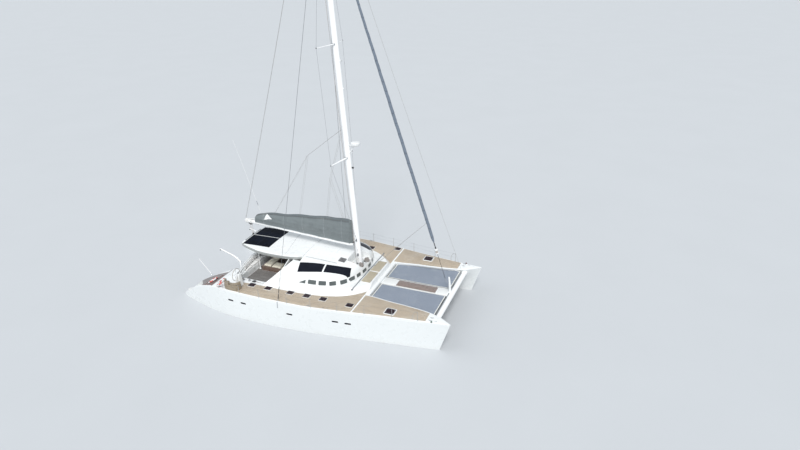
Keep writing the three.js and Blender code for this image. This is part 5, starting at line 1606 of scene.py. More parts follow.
def winch(b, at, axis=(0, 0, 1), k=1.0, mi=0, dark=1, lines=None):
    o, ax = Vector(at), Vector(axis).normalized()
    b.lathe([(0.075 * k, 0), (0.078 * k, 0.012 * k), (0.072 * k, 0.02 * k)], o, ax, 28, dark)
    b.lathe([(0.070 * k, 0.018 * k), (0.068 * k, 0.03 * k), (0.052 * k, 0.045 * k), (0.047 * k, 0.075 * k), (0.050 * k, 0.10 * k), (0.060 * k, 0.112 * k)], o, ax, 28, mi)
    b.lathe([(0.061 * k, 0.112 * k), (0.064 * k, 0.118 * k), (0.050 * k, 0.126 * k), (0.064 * k, 0.134 * k), (0.062 * k, 0.144 * k), (0.03 * k, 0.15 * k), (0.014 * k, 0.151 * k), (0.014 * k, 0.142 * k), (0.0, 0.142 * k)], o, ax, 28, mi)
    if lines is not None:
        a = Vector((1, 0, 0)) if abs(ax.x) < 0.9 else Vector((0, 1, 0))
        a = (a - ax * a.dot(ax)).normalized()
        c = ax.cross(a)
        pts = [o + ax * (0.05 + 0.0115 * t / (2 * math.pi)) * k + (a * math.cos(t) + c * math.sin(t)) * 0.056 * k for t in [j * 2 * math.pi / 20 for j in range(70)]]
        b.tube(pts, 0.0055 * k, 7, lines)


def cleat(b, at, along_dir, k=1.0, mi=0):
    """a horn cleat on two feet"""
    d = Vector(along_dir).normalized()
    o = Vector(at)
    up = Vector((0, 0, 1))
    s = d.cross(up)
    for t in (-0.045, 0.045):
        b.lathe([(0.024 * k, 0), (0.022 * k, 0.006 * k), (0.013 * k, 0.015 * k), (0.012 * k, 0.048 * k)], o + d * t * k, (0, 0, 1), 14, mi)
    b.tube([o + d * x * k + up * z * k for x, z in ((-0.155, 0.066), (-0.12, 0.060), (-0.06, 0.054), (0, 0.053), (0.06, 0.054), (0.12, 0.060), (0.155, 0.066))], [0.004 * k, 0.0105 * k, 0.0145 * k, 0.0155 * k, 0.0145 * k, 0.0105 * k, 0.004 * k], 12, mi)


def block(b, at, axis, k=1.0, cheek=0, sheave=1):
    o, ax = Vector(at), Vector(axis).normalized()
    for s in (-1, 1):
        b.lathe([(0.034 * k, s * 0.012 * k), (0.036 * k, s * 0.015 * k), (0.030 * k, s * 0.019 * k), (0.0, s * 0.021 * k)], o, ax, 20, cheek)
    b.lathe([(0.031 * k, -0.011 * k), (0.032 * k, -0.009 * k), (0.025 * k, 0), (0.032 * k, 0.009 * k), (0.031 * k, 0.011 * k)], o, ax, 20, sheave)


b = Build()
for z, s, k in ((3.62, -1, 0.85), (3.62, 1, 0.85), (4.75, -1, 0.72), (4.75, 1, 0.72)):
    winch(b, (mast_x(z), s * 0.139, z), (0, s, 0), k, 0, 1, 2)
for s in (-1, 1):
    for i, z in enumerate((3.30, 3.98)):
        b.tube([(mast_x(z), s * 0.150, z - 0.11), (mast_x(z), s * 0.162, z - 0.04), (mast_x(z), s * 0.162, z + 0.04), (mast_x(z), s * 0.150, z + 0.11)], [0.005, 0.012, 0.012, 0.005], 8, 0)
b.make("mast_winches", [STEEL, BLACK], sharp=50)

SPREADERS = [("lower_spreaders", 10.7, 1.33, 1.6, 10.58), ("upper_spreaders", 17.9, 0.93, 1.75, 17.87)]
for name, z, tx, ty, tz in SPREADERS:
    b = Build()
    x0 = mast_x(z)
    b.loft([[(x0 + px, py, z + dz) for px, py in ((-0.236, -0.06), (-0.226, -0.066), (0.03, -0.162), (0.04, -0.156), (0.04, 0.156), (0.03, 0.162), (-0.226, 0.066), (-0.236, 0.06))] for dz in (-0.045, -0.04, 0.04, 0.045)], 1)
    for s in (-1, 1):
        pts = span(0, 1, 0.1)
        rings = []
        root, tip = Vector((x0 - 0.06, s * 0.118, z)), Vector((tx, s * ty, tz))
        for t in pts:
            p = root.lerp(tip, t)
            a, c = 0.078 + (0.038 - 0.078) * t, 0.026 + (0.016 - 0.026) * t
            rings.append([(p.x + math.cos(k / 24 * 2 * math.pi) * a, p.y, p.z + math.sin(k / 24 * 2 * math.pi) * c) for k in range(24)])
        b.loft(rings, 0)
        b.lathe([(0.03, -0.035), (0.038, -0.03), (0.04, 0.0), (0.038, 0.03), (0.03, 0.035)], (tx, s * (ty - 0.012), tz), (0.06, 0, 1), 18, 2)
    ob = b.make(f"{name}_arms", [MASTPAINT, ALU, GREYPLASTIC], sharp=45, slot="spar_white")
    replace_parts(ob, name)

# radar on its curved bracket, floodlight and deck camera on the mast's front
b = Build()
b.lathe([(0.0, 11.583), (0.22, 11.585), (0.27, 11.592), (0.298, 11.615), (0.308, 11.65), (0.31, 11.70), (0.3095, 11.712), (0.3095, 11.716), (0.311, 11.72), (0.308, 11.75), (0.296, 11.785), (0.268, 11.808), (0.2, 11.820), (0.0, 11.8247)], (2.37, 0, 0), seg=56)
b.box((1.80, -0.085, 11.540), (2.42, 0.085, 11.586), 0.018, 0, 3)
for y in (-0.07, 0.07):
    b.tube(curve([(1.905, y, 11.02), (1.99, y, 11.12), (2.10, y, 11.30), (2.21, y, 11.46), (2.30, y, 11.55)], 14), 0.021, 12, 1)
b.box((1.86, -0.10, 10.98), (1.915, 0.10, 11.08), 0.012, 1)
ob = b.make("radar_dome", [WHITEPLASTIC, MASTPAINT], sharp=55, slot="radar_plastic")
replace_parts(ob, "radar")
b = Build()
z = 10.05
b.box((mast_x(z) + 0.18, -0.03, z - 0.03), (mast_x(z) + 0.27, 0.03, z + 0.02), 0.01, 1)
b.lathe([(0.055, -0.06), (0.06, -0.05), (0.062, 0.0), (0.05, 0.03), (0.02, 0.04), (0.0, 0.04)], (mast_x(z) + 0.29, 0, z - 0.01), (0.5, 0, 0.86), 22, 1)
b.lathe([(0.05, -0.062), (0.05, -0.058), (0.0, -0.058)], (mast_x(z) + 0.29, 0, z - 0.01), (0.5, 0, 0.86), 22, 2)
z = 16.9
b.box((mast_x(z) + 0.17, -0.06, z - 0.07), (mast_x(z) + 0.26, 0.06, z + 0.08), 0.02, 0)
b.lathe([(0.045, 0.0), (0.05, 0.01), (0.046, 0.03), (0.0, 0.032)], (mast_x(z) + 0.25, 0, z + 0.01), (1, 0, -0.2), 20, 2)
b.make("mast_lights", [WHITEPLASTIC, BLACK, CLEAR], sharp=50)

SHROUD = (-1.31, 5.21, 2.038)
HEAD = Vector((0.77, 0.175, HOUNDS))
for s, side in SIDES:
    foot, head = Vector((SHROUD[0], side * SHROUD[1], SHROUD[2])), Vector((HEAD.x, side * HEAD.y, HEAD.z))
    d = (head - foot).normalized()
    b = Build()
    at = lambda m: foot + d * m
    b.tube([at(0.74), at(6), at(14), at(24.0)] + [head], 0.011, 12, 0)
    b.tube([at(0.02), at(0.10), at(0.11), at(0.14)], [0.016, 0.016, 0.026, 0.026], 14, 1)
    b.tube([at(0.14), at(0.17), at(0.46), at(0.49)], [0.020, 0.027, 0.027, 0.020], 16, 2)
    b.tube([at(0.49), at(0.50), at(0.62), at(0.63), at(0.80), at(0.82)], [0.014, 0.014, 0.014, 0.022, 0.017, 0.011], 14, 1)
    b.box((-0.016, -0.03, -0.05), (0.016, 0.03, 0.05), 0.006, 1, at=at(0.0) + Vector((0, 0, 0.03)))
    b.tube([at(0.55), at(0.58), at(0.98), at(1.02)], [0.018, 0.0235, 0.0235, 0.014], 12, 2)
    ob = b.make(f"{s}_shroud_wire", [WIRE, STEEL, BLACK], sharp=45, slot="rigging_steel")
    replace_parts(ob, f"{s}_shroud")
    # chainplate bolted to the topsides
    b = Build()
    x = SHROUD[0]
    yo = lambda z: hull_y(x * 1000, z * 1000, side) / 1000
    ring = []
    for z in (1.55, 1.58, 1.75, 1.9, 1.96):
        y = yo(z)
        ring.append([(x + u, y + side * v, z) for u, v in ((-0.035, -0.004), (0.035, -0.004), (0.035, 0.008), (0.029, 0.012), (-0.029, 0.012), (-0.035, 0.008))])
    y = yo(1.96)
    for z, yy in ((2.0, y + side * 0.002), (2.045, side * 5.212), (2.085, side * 5.205)):
        ring.append([(x + u, yy + side * v, z) for u, v in ((-0.03, -0.008), (0.03, -0.008), (0.03, 0.006), (0.026, 0.009), (-0.026, 0.009), (-0.03, 0.006))])
    b.loft(ring)
    for z in (1.62, 1.72, 1.82, 1.92):
        b.lathe([(0.013, 0), (0.013, 0.006), (0.006, 0.010), (0, 0.010)], (x, yo(z) + side * 0.010, z), (0, side, 0), 12)
    b.make(f"{s}_chainplate", [STEEL], sharp=40, slot="rigging_steel")
    # diamond wires over both spreader tips
    b = Build()
    top = (mast_x(25.9), side * 0.12, 25.9)
    t2, t1 = (0.93, side * 1.74, 17.87), (1.33, side * 1.59, 10.58)
    low = (mast_x(4.9), side * 0.13, 4.9)
    b.tube([top, t2], 0.006, 8, 0)
    b.tube([t2, t1], 0.006, 8, 0)
    b.tube([t1, low], 0.006, 8, 0)
    lv = Vector(low)
    dd = (Vector(t1) - lv).normalized()
    b.tube([lv, lv + dd * 0.03, lv + dd * 0.04, lv + dd * 0.24, lv + dd * 0.25, lv + dd * 0.36], [0.010, 0.010, 0.015, 0.015, 0.010, 0.008], 10, 1)
    b.make(f"{s}_diamond_wires", [WIRE, STEEL], sharp=45, slot="rigging_steel")

# forestay: furler, drum and the rolled jib
STAY_FOOT, STAY_HEAD = Vector((8.745, 0, 2.6)), Vector((0.985, 0, HOUNDS))
STAY = STAY_HEAD - STAY_FOOT
on_stay = lambda t: STAY_FOOT + STAY * t
b = Build()
b.tube([on_stay(0.0), on_stay(0.012), on_stay(0.013)], [0.02, 0.02, 0.014], 14, 2)
b.tube([on_stay(0.0128), on_stay(0.088)], 0.0135, 14, 4)
b.tube([on_stay(t + 0.03) for t in (0.0575, 0.0585, 0.0600, 0.0612, 0.0615, 0.0675, 0.0680, 0.0700, 0.0716, 0.0728, 0.0732)], [0.08, 0.117, 0.12, 0.118, 0.058, 0.058, 0.118, 0.125, 0.125, 0.118, 0.05], 30, 1)
b.tube([on_stay(t + 0.03) for t in (0.073, 0.078, 0.0785, 0.096)], [0.042, 0.045, 0.03, 0.028], 18, 4)
b.tube([on_stay(0.925), on_stay(0.9265), on_stay(0.9355), on_stay(0.937)], [0.03, 0.05, 0.05, 0.03], 18, 1)
b.tube([on_stay(0.93), on_stay(1.0)], 0.012, 10, 2)
# turns of the furling line on the drum
dirn = STAY.normalized()
a1 = dirn.cross(Vector((0, 1, 0))).normalized()
a2 = dirn.cross(a1)
pts = []
for j in range(9 * 18):
    t = 0.0918 + 0.0054 * j / (9 * 18)
    w = j / 18 * 2 * math.pi
    pts.append(on_stay(t) + (a1 * math.cos(w) + a2 * math.sin(w)) * 0.066)
b.tube(pts, 0.0065, 7, 3)
furler = b.make("jib_furler", [FURLED, WHITEPLASTIC, STEEL, ROPEW, BLACK], sharp=50)
# the roll itself: a spiral of cloth with the sun strip's edge standing proud
rings = []
sides_n = 36
for k, t in enumerate(span(0.1225, 0.925, 0.0042)):
    if t < 0.1365:
        r = 0.045 + (0.104 - 0.045) * ((t - 0.1225) / 0.014) ** 0.7
    elif t < 0.5:
        r = 0.104
    elif t < 0.9:
        r = 0.104 + (0.062 - 0.104) * (t - 0.5) / 0.4
    else:
        r = 0.062 + (0.036 - 0.062) * (t - 0.9) / 0.025
    twist = t * 24.6 / 0.95 * 2 * math.pi / 1.0
    ring = []
    for i in range(sides_n):
        a = i / sides_n * 2 * math.pi
        rel = ((a - twist) % (2 * math.pi)) / (2 * math.pi)      # the cloth's edge winds round the roll
        bump = 0.010 * (1 - rel) + 0.004 * math.sin(3 * a + t * 55) + 0.003 * math.sin(t * 240 + a)
        q = on_stay(t) + (a1 * math.cos(a) + a2 * math.sin(a)) * (r - 0.011 + bump)
        ring.append(q)
    rings.append(ring)
roll = Build().loft(rings).make("rolled_jib", FURLED, sharp=40, slot="furled_jib")
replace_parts(roll, "forestay_and_jib")
# sheets led from the clew to the track's car
b = Build()
clew = on_stay(0.178) + Vector((-0.10, -0.02, 0))
b.box((-0.03, -0.012, -0.05), (0.03, 0.012, 0.05), 0.01, 1, at=clew)
for s, side in SIDES:
    y = side * 0.06
    b.tube([clew, clew.lerp(Vector((3.02, y * 1.5, 2.485)), 0.5), (3.02, y * 1.5, 2.485)], 0.0075, 8, 0)
b.make("jib_sheets", [ROPEG, STEEL], sharp=80)

# running rigging at the mast
b = Build()
for n, (y, dx, m) in enumerate(((-0.165, -0.185, 0), (-0.185, -0.150, 1), (0.168, -0.18, 0), (0.185, -0.14, 2), (-0.150, -0.215, 2))):
    pts = [(mast_x(z) + dx - (0.05 if z > 6.5 else 0), y * (1 if z < 20 else 0.8), z) for z in (3.45, 5.2, 6.4, 9.5, 13.0, 17.5, 22.0, 27.9)]
    pts = [(x + (0.012 * math.sin(i * 2.1 + n)), yy, z) for i, (x, yy, z) in enumerate(pts)]
    b.tube(curve(pts, 44), 0.0065, 7, m)
b.make("halyards", [ROPEG, ROPEB, ROPEW], sharp=80)
# spare halyard set up tight to the port bow
b = Build()
p0, p1 = Vector((mast_x(28.1) + 0.24, 0.03, 28.07)), Vector((8.93, 2.95, 2.14))
pts = []
for k in range(40):
    t = k / 39
    p = p0.lerp(p1, t)
    sag = 4 * t * (1 - t)
    pts.append(p + Vector((-0.06 * sag, 0, -0.10 * sag)))
b.tube(pts, 0.006, 7, 0)
b.make("spare_halyard", [ROPEG], sharp=80)


# ---------------------------------------------------------------- boom and the bag that holds the mainsail
GOOSE, BOOM_END = (1.93, 0, 4.29), (-7.05, 0, 4.82)


def boom_z(x):
    return GOOSE[2] + (BOOM_END[2] - GOOSE[2]) * (GOOSE[0] - x) / (GOOSE[0] - BOOM_END[0])


def boom_ring(x, w, h, n=32):
    ring = []
    for i in range(n):
        a = (i + 0.5) / n * 2 * math.pi
        c, q = math.cos(a), math.sin(a)
        ring.append((x, math.copysign(abs(c) ** 0.62, c) * w, boom_z(x) + math.copysign(abs(q) ** 0.62, q) * h))
    return ring


BOOM = [[-7.05, 78, 96], [-7.035, 82, 102], [-6.75, 96, 118], [-6.6, 98, 119], [1.4, 98, 119], [1.62, 90, 108], [1.70, 84, 98], [1.78, 66, 76], [1.84, 52, 58]]
b = Build()
rows = []
for i in range(len(BOOM) - 1):
    n = 12 if BOOM[i + 1][0] - BOOM[i][0] > 1 else 1
    for k in range(n):
        t = k / n
        rows.append([p + (q - p) * t for p, q in zip(BOOM[i], BOOM[i + 1])])
rows.append(BOOM[-1])
b.loft([boom_ring(x, w / 1000, h / 1000) for x, w, h in rows], 0)
# end casting with its sheaves, gooseneck fork, reef line exits
b.loft([boom_ring(x, w, h) for x, w, h in ((-6.98, 0.088, 0.108), (-6.975, 0.092, 0.112), (-6.90, 0.094, 0.114), (-6.895, 0.090, 0.110))], 1, caps=True)
for z in (-0.05, 0.05):
    b.lathe([(0.045, -0.05), (0.048, -0.046), (0.04, -0.03), (0.04, 0.03), (0.048, 0.046), (0.045, 0.05)], (-7.03, 0, boom_z(-7.0) + z), (0, 1, 0), 20, 1)
b.box((1.80, -0.035, 4.262), (1.925, 0.035, 4.325), 0.010, 1)
b.lathe([(0.026, -0.06), (0.026, 0.06)], (1.93, 0, 4.293), (0, 0, 1), 16, 1)
for x in (-6.2, -5.95, -5.0, -2.4):
    b.tube([(x - 0.05, 0, boom_z(x) - 0.118), (x - 0.04, 0, boom_z(x) - 0.160), (x + 0.04, 0, boom_z(x) - 0.160), (x + 0.05, 0, boom_z(x) - 0.118)], 0.007, 8, 1)
boom = b.make("boom_spar", [MASTPAINT, ALU], body="boom", sharp=45, slot="spar_white")
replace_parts(boom, "boom")
b = Build()
# gooseneck on the mast
b.box((1.945, -0.05, 4.16), (2.03, 0.05, 4.20), 0.008, 0)
b.box((1.945, -0.05, 4.385), (2.03, 0.05, 4.425), 0.008, 0)
b.lathe([(0.017, 4.15), (0.017, 4.435), (0.0, 4.436)], (1.955, 0, 0), seg=14, mi=0)
b.make("gooseneck", [ALU], sharp=45)

BAGS = [[-6330, 5030, 118, 116, 60], [-5850, 5530, 122, 170, 60], [-4900, 5745, 125, 200, 70], [-3430, 5880, 125, 225, 85], [-1640, 6060, 125, 225, 85], [-280, 6170, 125, 220, 85], [920, 6215, 122, 205, 80], [1640, 6240, 118, 170, 70]]
JACKS = [-4.44, -2.32, -0.1, 1.25]      # where the lazy jacks hold the bag up


def bag_foot(x):
    """height of the bag's foot, laced up between its ties"""
    return boom_z(x) + 0.066 + 0.024 * abs(math.sin((x + 6.33) / 1.4 * math.pi)) ** 1.3


def bag_point(x, t):
    """point on the bag: t from -1 (starboard foot) over the ridge at 0 to 1 (port foot)"""
    zt, a, m, c = [along(BAGS, k, x * 1000) / 1000 for k in (1, 2, 3, 4)]
    z0 = bag_foot(x)
    u = 1 - abs(t)                      # 0 at the foot, 1 at the ridge
    near = min(abs(x - j) for j in JACKS)
    sag = 0.050 * min(1, near / 0.9) ** 1.4
    h = zt - z0
    keys = [(0.0, a, 0.0), (0.22, a * 1.12, 0.16), (0.45, m * 0.98, 0.36), (0.70, m * 0.90, 0.62), (0.86, c * 1.25, 0.86 - sag / max(h, 0.2) * 0.6), (0.94, c * 0.72, 0.965 - sag / max(h, 0.2)), (1.0, 0.004, 1.0 - sag / max(h, 0.2))]
    i = 0
    while i < len(keys) - 2 and u > keys[i + 1][0]:
        i += 1
    p0, p1, p2, p3 = keys[max(i - 1, 0)], keys[i], keys[i + 1], keys[min(i + 2, len(keys) - 1)]
    s = (u - p1[0]) / (p2[0] - p1[0])
    f = [0.5 * (2 * b_ + (c_ - a_) * s + (2 * a_ - 5 * b_ + 4 * c_ - d_) * s * s + (3 * b_ - a_ - 3 * c_ + d_) * s ** 3) for a_, b_, c_, d_ in zip(p0, p1, p2, p3)]
    y, z = f[1], z0 + f[2] * h
    side = -1 if t < 0 else 1
    mid = math.sin(math.pi * min(1, max(0, u))) ** 0.7
    # soft folds hang from the lazy jacks and the sail's layers press out from within
    fold = 0.014 * math.sin(x * 5.3 + side * 1.1 + 1.5 * u) + 0.008 * math.sin(x * 12.7 - 3.1 * u + side) + 0.006 * math.sin(x * 23 + 9 * u)
    lay = 0.012 * math.sin(f[2] * h * 21 + 0.8 * math.sin(x * 1.9))
    y = y + mid * (fold + lay) - 0.012 * mid
    return Vector((x, side * max(0.003, y), z))


xs = span(-6.13, 1.64, 0.075)
ts = [-1 + 2 * k / 56 for k in range(57)]
v, f = [], []
for x in xs:
    for t in ts:
        v.append(tuple(bag_point(x, t)))
m = len(ts)
for i in range(len(xs) - 1):
    for j in range(m - 1):
        f.append([i * m + j, i * m + j + 1, (i + 1) * m + j + 1, (i + 1) * m + j])
b = Build().add(v, f)
for i in range(len(f)):      # the strip along the ridge over the zip is coloured darker: painted shade of the zip's opening
    if abs(ts[i % (m - 1)] + 1 / 56) < 0.15:
        b.m[i] = 1
# end panels: gathered forward, pinched to a point aft
for e in (0, len(xs) - 1):
    ring = [Vector(v[e * m + j]) for j in range(m)]
    half = m // 2
    px = 0.0
    vv, ff = [], []
    nn = 8
    for j in range(half + 1):
        p, q = ring[j], ring[m - 1 - j]
        for k in range(nn + 1):
            s = k / nn
            w = p.lerp(q, s)
            out = 0.035 * math.sin(math.pi * s) * (1 if e else -1)
            vv.append((w.x + out, w.y, w.z))
    for j in range(half):
        for k in range(nn):
            ff.append([j * (nn + 1) + k, j * (nn + 1) + k + 1, (j + 1) * (nn + 1) + k + 1, (j + 1) * (nn + 1) + k])
    b.add(vv, ff)
bag = b.make("mainsail_cover", [BAGCLOTH, BAG_RIDGE_SHADE], body="boom", sharp=50, slot="sail_bag")
area = 0.0
for p in bag.data.polygons:
    area += p.area
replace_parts(bag, "mainsail_bag")


def bag_strip(b, path, width, lift, mi=0, across=None):
    """tape sewn on the bag along (x, t) points"""
    v, f = [], []
    for k, (x, t) in enumerate(path):
        p = bag_point(x, t)
        dx, dt = 0.02, 0.02
        ex = bag_point(x + dx, t) - bag_point(x - dx, t)
        et = bag_point(x, min(0.999, t + dt)) - bag_point(x, max(-0.999, t - dt))
        n = et.cross(ex)
        n.normalize()
        if n.y * (1 if t > 0 else -1) < 0 and abs(n.y) > 0.2:
            n = -n
        elif n.z < 0 and abs(n.y) <= 0.2:
            n = -n
        q0, q1 = path[max(k - 1, 0)], path[min(k + 1, len(path) - 1)]
        d = bag_point(*q1) - bag_point(*q0)
        w = n.cross(d).normalized() * width / 2
        v += [p - w - n * 0.002, p - w + n * lift, p + w + n * lift, p + w - n * 0.002]
    for k in range(len(path) - 1):
        a = k * 4
        for j in range(4):
            f.append([a + j, a + (j + 1) % 4, a + 4 + (j + 1) % 4, a + 4 + j])
    f += [[0, 1, 2, 3], [len(v) - 4 + j for j in (3, 2, 1, 0)]]
    b.add(v, f, mi)


b = Build()
for side in (-1, 1):
    for x in (-5.35, -3.62, -2.05, -0.35, 1.05):
        bag_strip(b, [(x, side * (1 - u)) for u in span(0.01, 0.90, 0.04)], 0.030, 0.0035)
    bag_strip(b, [(x, side * 0.115) for x in span(-6.08, 1.60, 0.08)], 0.050, 0.004, 1)
    bag_strip(b, [(x, side * 0.965) for x in span(-6.10, 1.60, 0.08)], 0.045, 0.004, 0)
# zip along the ridge
bag_strip(b, [(x, 0.012) for x in span(-6.08, 1.60, 0.06)], 0.05, 0.008, 1)
# straps that hold the bag under the boom
for x in (-5.9, -4.9, -3.9, -2.9, -1.9, -0.9, 0.1, 1.1):
    ring = boom_ring(x, 0.1035, 0.1245, 24)
    ring = [p for p in ring if p[2] < boom_z(x) + 0.02]
    pts = sorted(ring, key=lambda p: math.atan2(p[2] - boom_z(x) - 0.05, p[1]))
    b.tube([(p[0], p[1], p[2]) for p in pts], 0.004, 6, 1)
trim = b.make("cover_tapes", [BAGSEAM, BAGTRIM], body="boom", sharp=50, slot="sail_bag")

# the sail's clew looks out of the bag's after end, with the outhaul and white lashings at the boom's end
v, f = [], []
n1, n2 = 14, 10
A, C, D = Vector((-5.26, -0.02, 5.20)), Vector((-4.52, -0.02, 5.36)), Vector((-5.02, -0.0, 5.66))
for i in range(n1 + 1):
    for j in range(n2 + 1):
        u, w = i / n1, j / n2
        p = A.lerp(C, u) * (1 - w) + D * w
        s = bag_point(p.x, -0.999)
        zt, z0 = along(BAGS, 1, p.x * 1000) / 1000, bag_foot(p.x)
        t = -(1 - min(0.98, max(0.02, (p.z - z0) / (zt - z0))))
        q = bag_point(p.x, max(-0.97, min(-0.07, t)))
        v.append((p.x, q.y - 0.020 - 0.018 * math.sin(u * 9 + w * 3) * (1 - w) - 0.01, p.z if t < -0.07 else q.z))
for i in range(n1):
    for j in range(n2):
        a = i * (n2 + 1) + j
        f.append([a, a + 1, a + n2 + 2, a + n2 + 1])
clewcloth = Build().add(v, f).make("sail_clew", SAILWHITE, body="boom", sharp=70)
b = Build()
# two bands of white rope wound tight round the spar, and the taut outhaul above it
for x0, turns in ((-7.00, 7), (-6.60, 6)):
    pts = []
    for j in range(turns * 18 + 1):
        a = j / 18 * 2 * math.pi
        c, q = math.cos(a), math.sin(a)
        x = x0 + 0.034 * j / 18
        pts.append((x, math.copysign(abs(c) ** 0.62, c) * 0.112, boom_z(x) + math.copysign(abs(q) ** 0.62, q) * 0.134))
    b.tube(pts, 0.017, 8, 0)
b.tube([(-6.95, -0.05, boom_z(-6.95) + 0.135), (-6.62, -0.05, boom_z(-6.62) + 0.21), (-6.12, -0.05, 5.06)], 0.024, 10, 0)
b.tube([(-6.97, 0.04, boom_z(-6.97) + 0.135), (-6.62, 0.045, boom_z(-6.62) + 0.18), (-6.12, 0.05, 5.00)], 0.016, 10, 0)
block(b, (-6.72, 0, boom_z(-6.72) - 0.19), (0, 1, 0), 1.6, 2, 1)
block(b, (-6.52, 0, boom_z(-6.52) - 0.19), (0, 1, 0), 1.6, 2, 1)
block(b, (-6.62, 0.0, boom_z(-6.62) - 0.25), (0, 1, 0), 1.4, 2, 1)
b.make("boom_end_lashings", [ROPEP, STEEL, BLACK], body="boom", sharp=60)

# lines between the boom and what stands still; a straight one has two rings, so it stays straight as the boom swings
def bridging(name, pts, r, mats, mi=0, extra=None, sides_=8):
    b = Build()
    b.tube(pts, r, sides_, mi)
    if extra:
        extra(b)
    ob = b.make(name, mats, body=None, sharp=80)
    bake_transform(ob)
    return ob


def straight(a, c, n=40, sag=0.0):
    a, c = Vector(a), Vector(c)
    return [a.lerp(c, k / (n - 1)) - Vector((0, 0, sag * 4 * (k / (n - 1)) * (1 - k / (n - 1)))) for k in range(n)]


masthead = (mast_x(28.15) - 0.31, 0, 28.07)
for n, y in enumerate((-0.035, 0.035)):
    a = (-7.02, y, boom_z(-7.0) + 0.09)
    # the masthead is close to the boom's axis
    near_top = tuple(Vector(a).lerp(Vector(masthead), 0.97))
    bridging(f"topping_lift_{n + 1}", straight(a, (masthead[0], y * 0.4, masthead[2]), 60, 0.25), 0.006, [ROPEG])
for s, side in SIDES:
    knot = Vector((-1.27, side * 0.10, 10.5))
    top = Vector((mast_x(12.6) - 0.19, side * 0.12, 12.6))
    end = tuple(top)
    for n, j in enumerate(JACKS):
        p = bag_point(j, side * 0.13)
        a = (p.x, p.y, p.z)
        k = knot if n < 2 else Vector((0.35, side * 0.11, 9.0))
        bridging(f"{s}_lazy_jack_{n + 1}", straight(a, k, 2), 0.0045, [ROPEG])
    bridging(f"{s}_lazy_jack_5", straight(knot, top, 2), 0.005, [ROPEG])
    bridging(f"{s}_lazy_jack_6", straight((0.35, side * 0.11, 9.0), top, 2), 0.005, [ROPEG])

# mainsheet from the boom's blocks to the traveller on the hardtop's after edge
TRAV_X = -6.52
b = Build()
ys = span(-0.95, 0.95, 0.1)
b.loft([[(TRAV_X + u, y, hardtop_z(TRAV_X, y) + w) for u, w in ((-0.022, -0.004), (0.022, -0.004), (0.022, 0.008), (0.010, 0.014), (0.010, 0.024), (0.018, 0.028), (0.018, 0.040), (-0.018, 0.040), (-0.018, 0.028), (-0.010, 0.024), (-0.010, 0.014), (-0.022, 0.008))] for y in ys], 0)
b.box((TRAV_X - 0.035, -0.10, hardtop_z(TRAV_X, 0) + 0.026), (TRAV_X + 0.035, 0.10, hardtop_z(TRAV_X, 0) + 0.052), 0.008, 2)
for s in (-1, 1):
    b.box((TRAV_X - 0.028, s * 0.95 - 0.03, hardtop_z(TRAV_X, 0.95) - 0.002), (TRAV_X + 0.028, s * 0.95 + 0.03, hardtop_z(TRAV_X, 0.95) + 0.045), 0.008, 2)
    block(b, (TRAV_X, s * 0.06, hardtop_z(TRAV_X, 0) + 0.095), (1, 0.15 * s, 0), 1.3, 2, 1)
b.make("mainsheet_traveller", [ALU, STEEL, BLACK], sharp=45)
for n, (y0, x1, y1) in enumerate(((-0.06, -6.74, -0.02), (-0.03, -6.70, 0.015), (0.03, -6.54, -0.015), (0.06, -6.50, 0.02))):
    lo, hi = (TRAV_X + 0.004 * n, y0, hardtop_z(TRAV_X, 0) + 0.11), (x1, y1, boom_z(x1) - 0.21)
    bridging(f"mainsheet_{n + 1}", straight(hi, lo, 2), 0.0065, [ROPEW])


# ---------------------------------------------------------------- soft furnishing
CLOTHS = []


def pad_shape(outline, z0, z1, r, dip=0.0):
    """a pad's starting form: an outline with rounded edges below and above"""
    rings = []
    for k in range(4):
        a = k / 3 * math.pi / 2
        d = r * (1 - math.sin(a))
        rings.append([(x, y, z0 + r * 0.7 * (1 - math.cos(a))) for x, y in shrink(outline, d + 1e-4)])
    for k in range(4):
        a = k / 3 * math.pi / 2
        d = r * (1 - math.cos(a))
        rings.append([(x, y, z1 - r * (1 - math.sin(a))) for x, y in shrink(outline, d + 1e-4)])
    return rings


def blow(ob, voxel, cap, floor_z, pressure=4.0):
    """swells the pad like cloth under air, holds it to its seat, and keeps the result as mesh"""
    sc = bpy.context.scene
    m = ob.modifiers.new("grid", "REMESH")
    m.mode = "VOXEL"
    m.voxel_size = voxel
    bpy.context.view_layer.update()
    me = bpy.data.meshes.new_from_object(ob.evaluated_get(bpy.context.evaluated_depsgraph_get()))
    ob.modifiers.clear()
    ob.data = me
    start = [v.co.copy() for v in me.vertices]
    cl = ob.modifiers.new("air", "CLOTH")
    st = cl.settings
    st.quality = 4
    st.mass = 0.3
    st.use_pressure = True
    st.uniform_pressure_force = pressure
    st.tension_stiffness = st.compression_stiffness = 12
    st.shear_stiffness = 5
    st.bending_stiffness = 0.35
    st.effector_weights.gravity = 0
    for f in range(1, 21):
        sc.frame_set(f)
    me2 = bpy.data.meshes.new_from_object(ob.evaluated_get(bpy.context.evaluated_depsgraph_get()))
    ob.modifiers.clear()
    sc.frame_set(1)
    pts = []
    for v, p in zip(me2.vertices, start):
        d = v.co - p
        if d.length > cap:
            d = d * (cap / d.length)
        q = p + d
        q.z = max(q.z, floor_z)
        pts.append(q)
    for v, q in zip(me2.vertices, pts):
        v.co = q
    me2.update()
    ob.data = me2
    sub = ob.modifiers.new("finer", "SUBSURF")
    sub.levels = sub.render_levels = 1
    bpy.context.view_layer.update()
    me3 = bpy.data.meshes.new_from_object(ob.evaluated_get(bpy.context.evaluated_depsgraph_get()))
    ob.modifiers.clear()
    ob.data = me3
    return ob


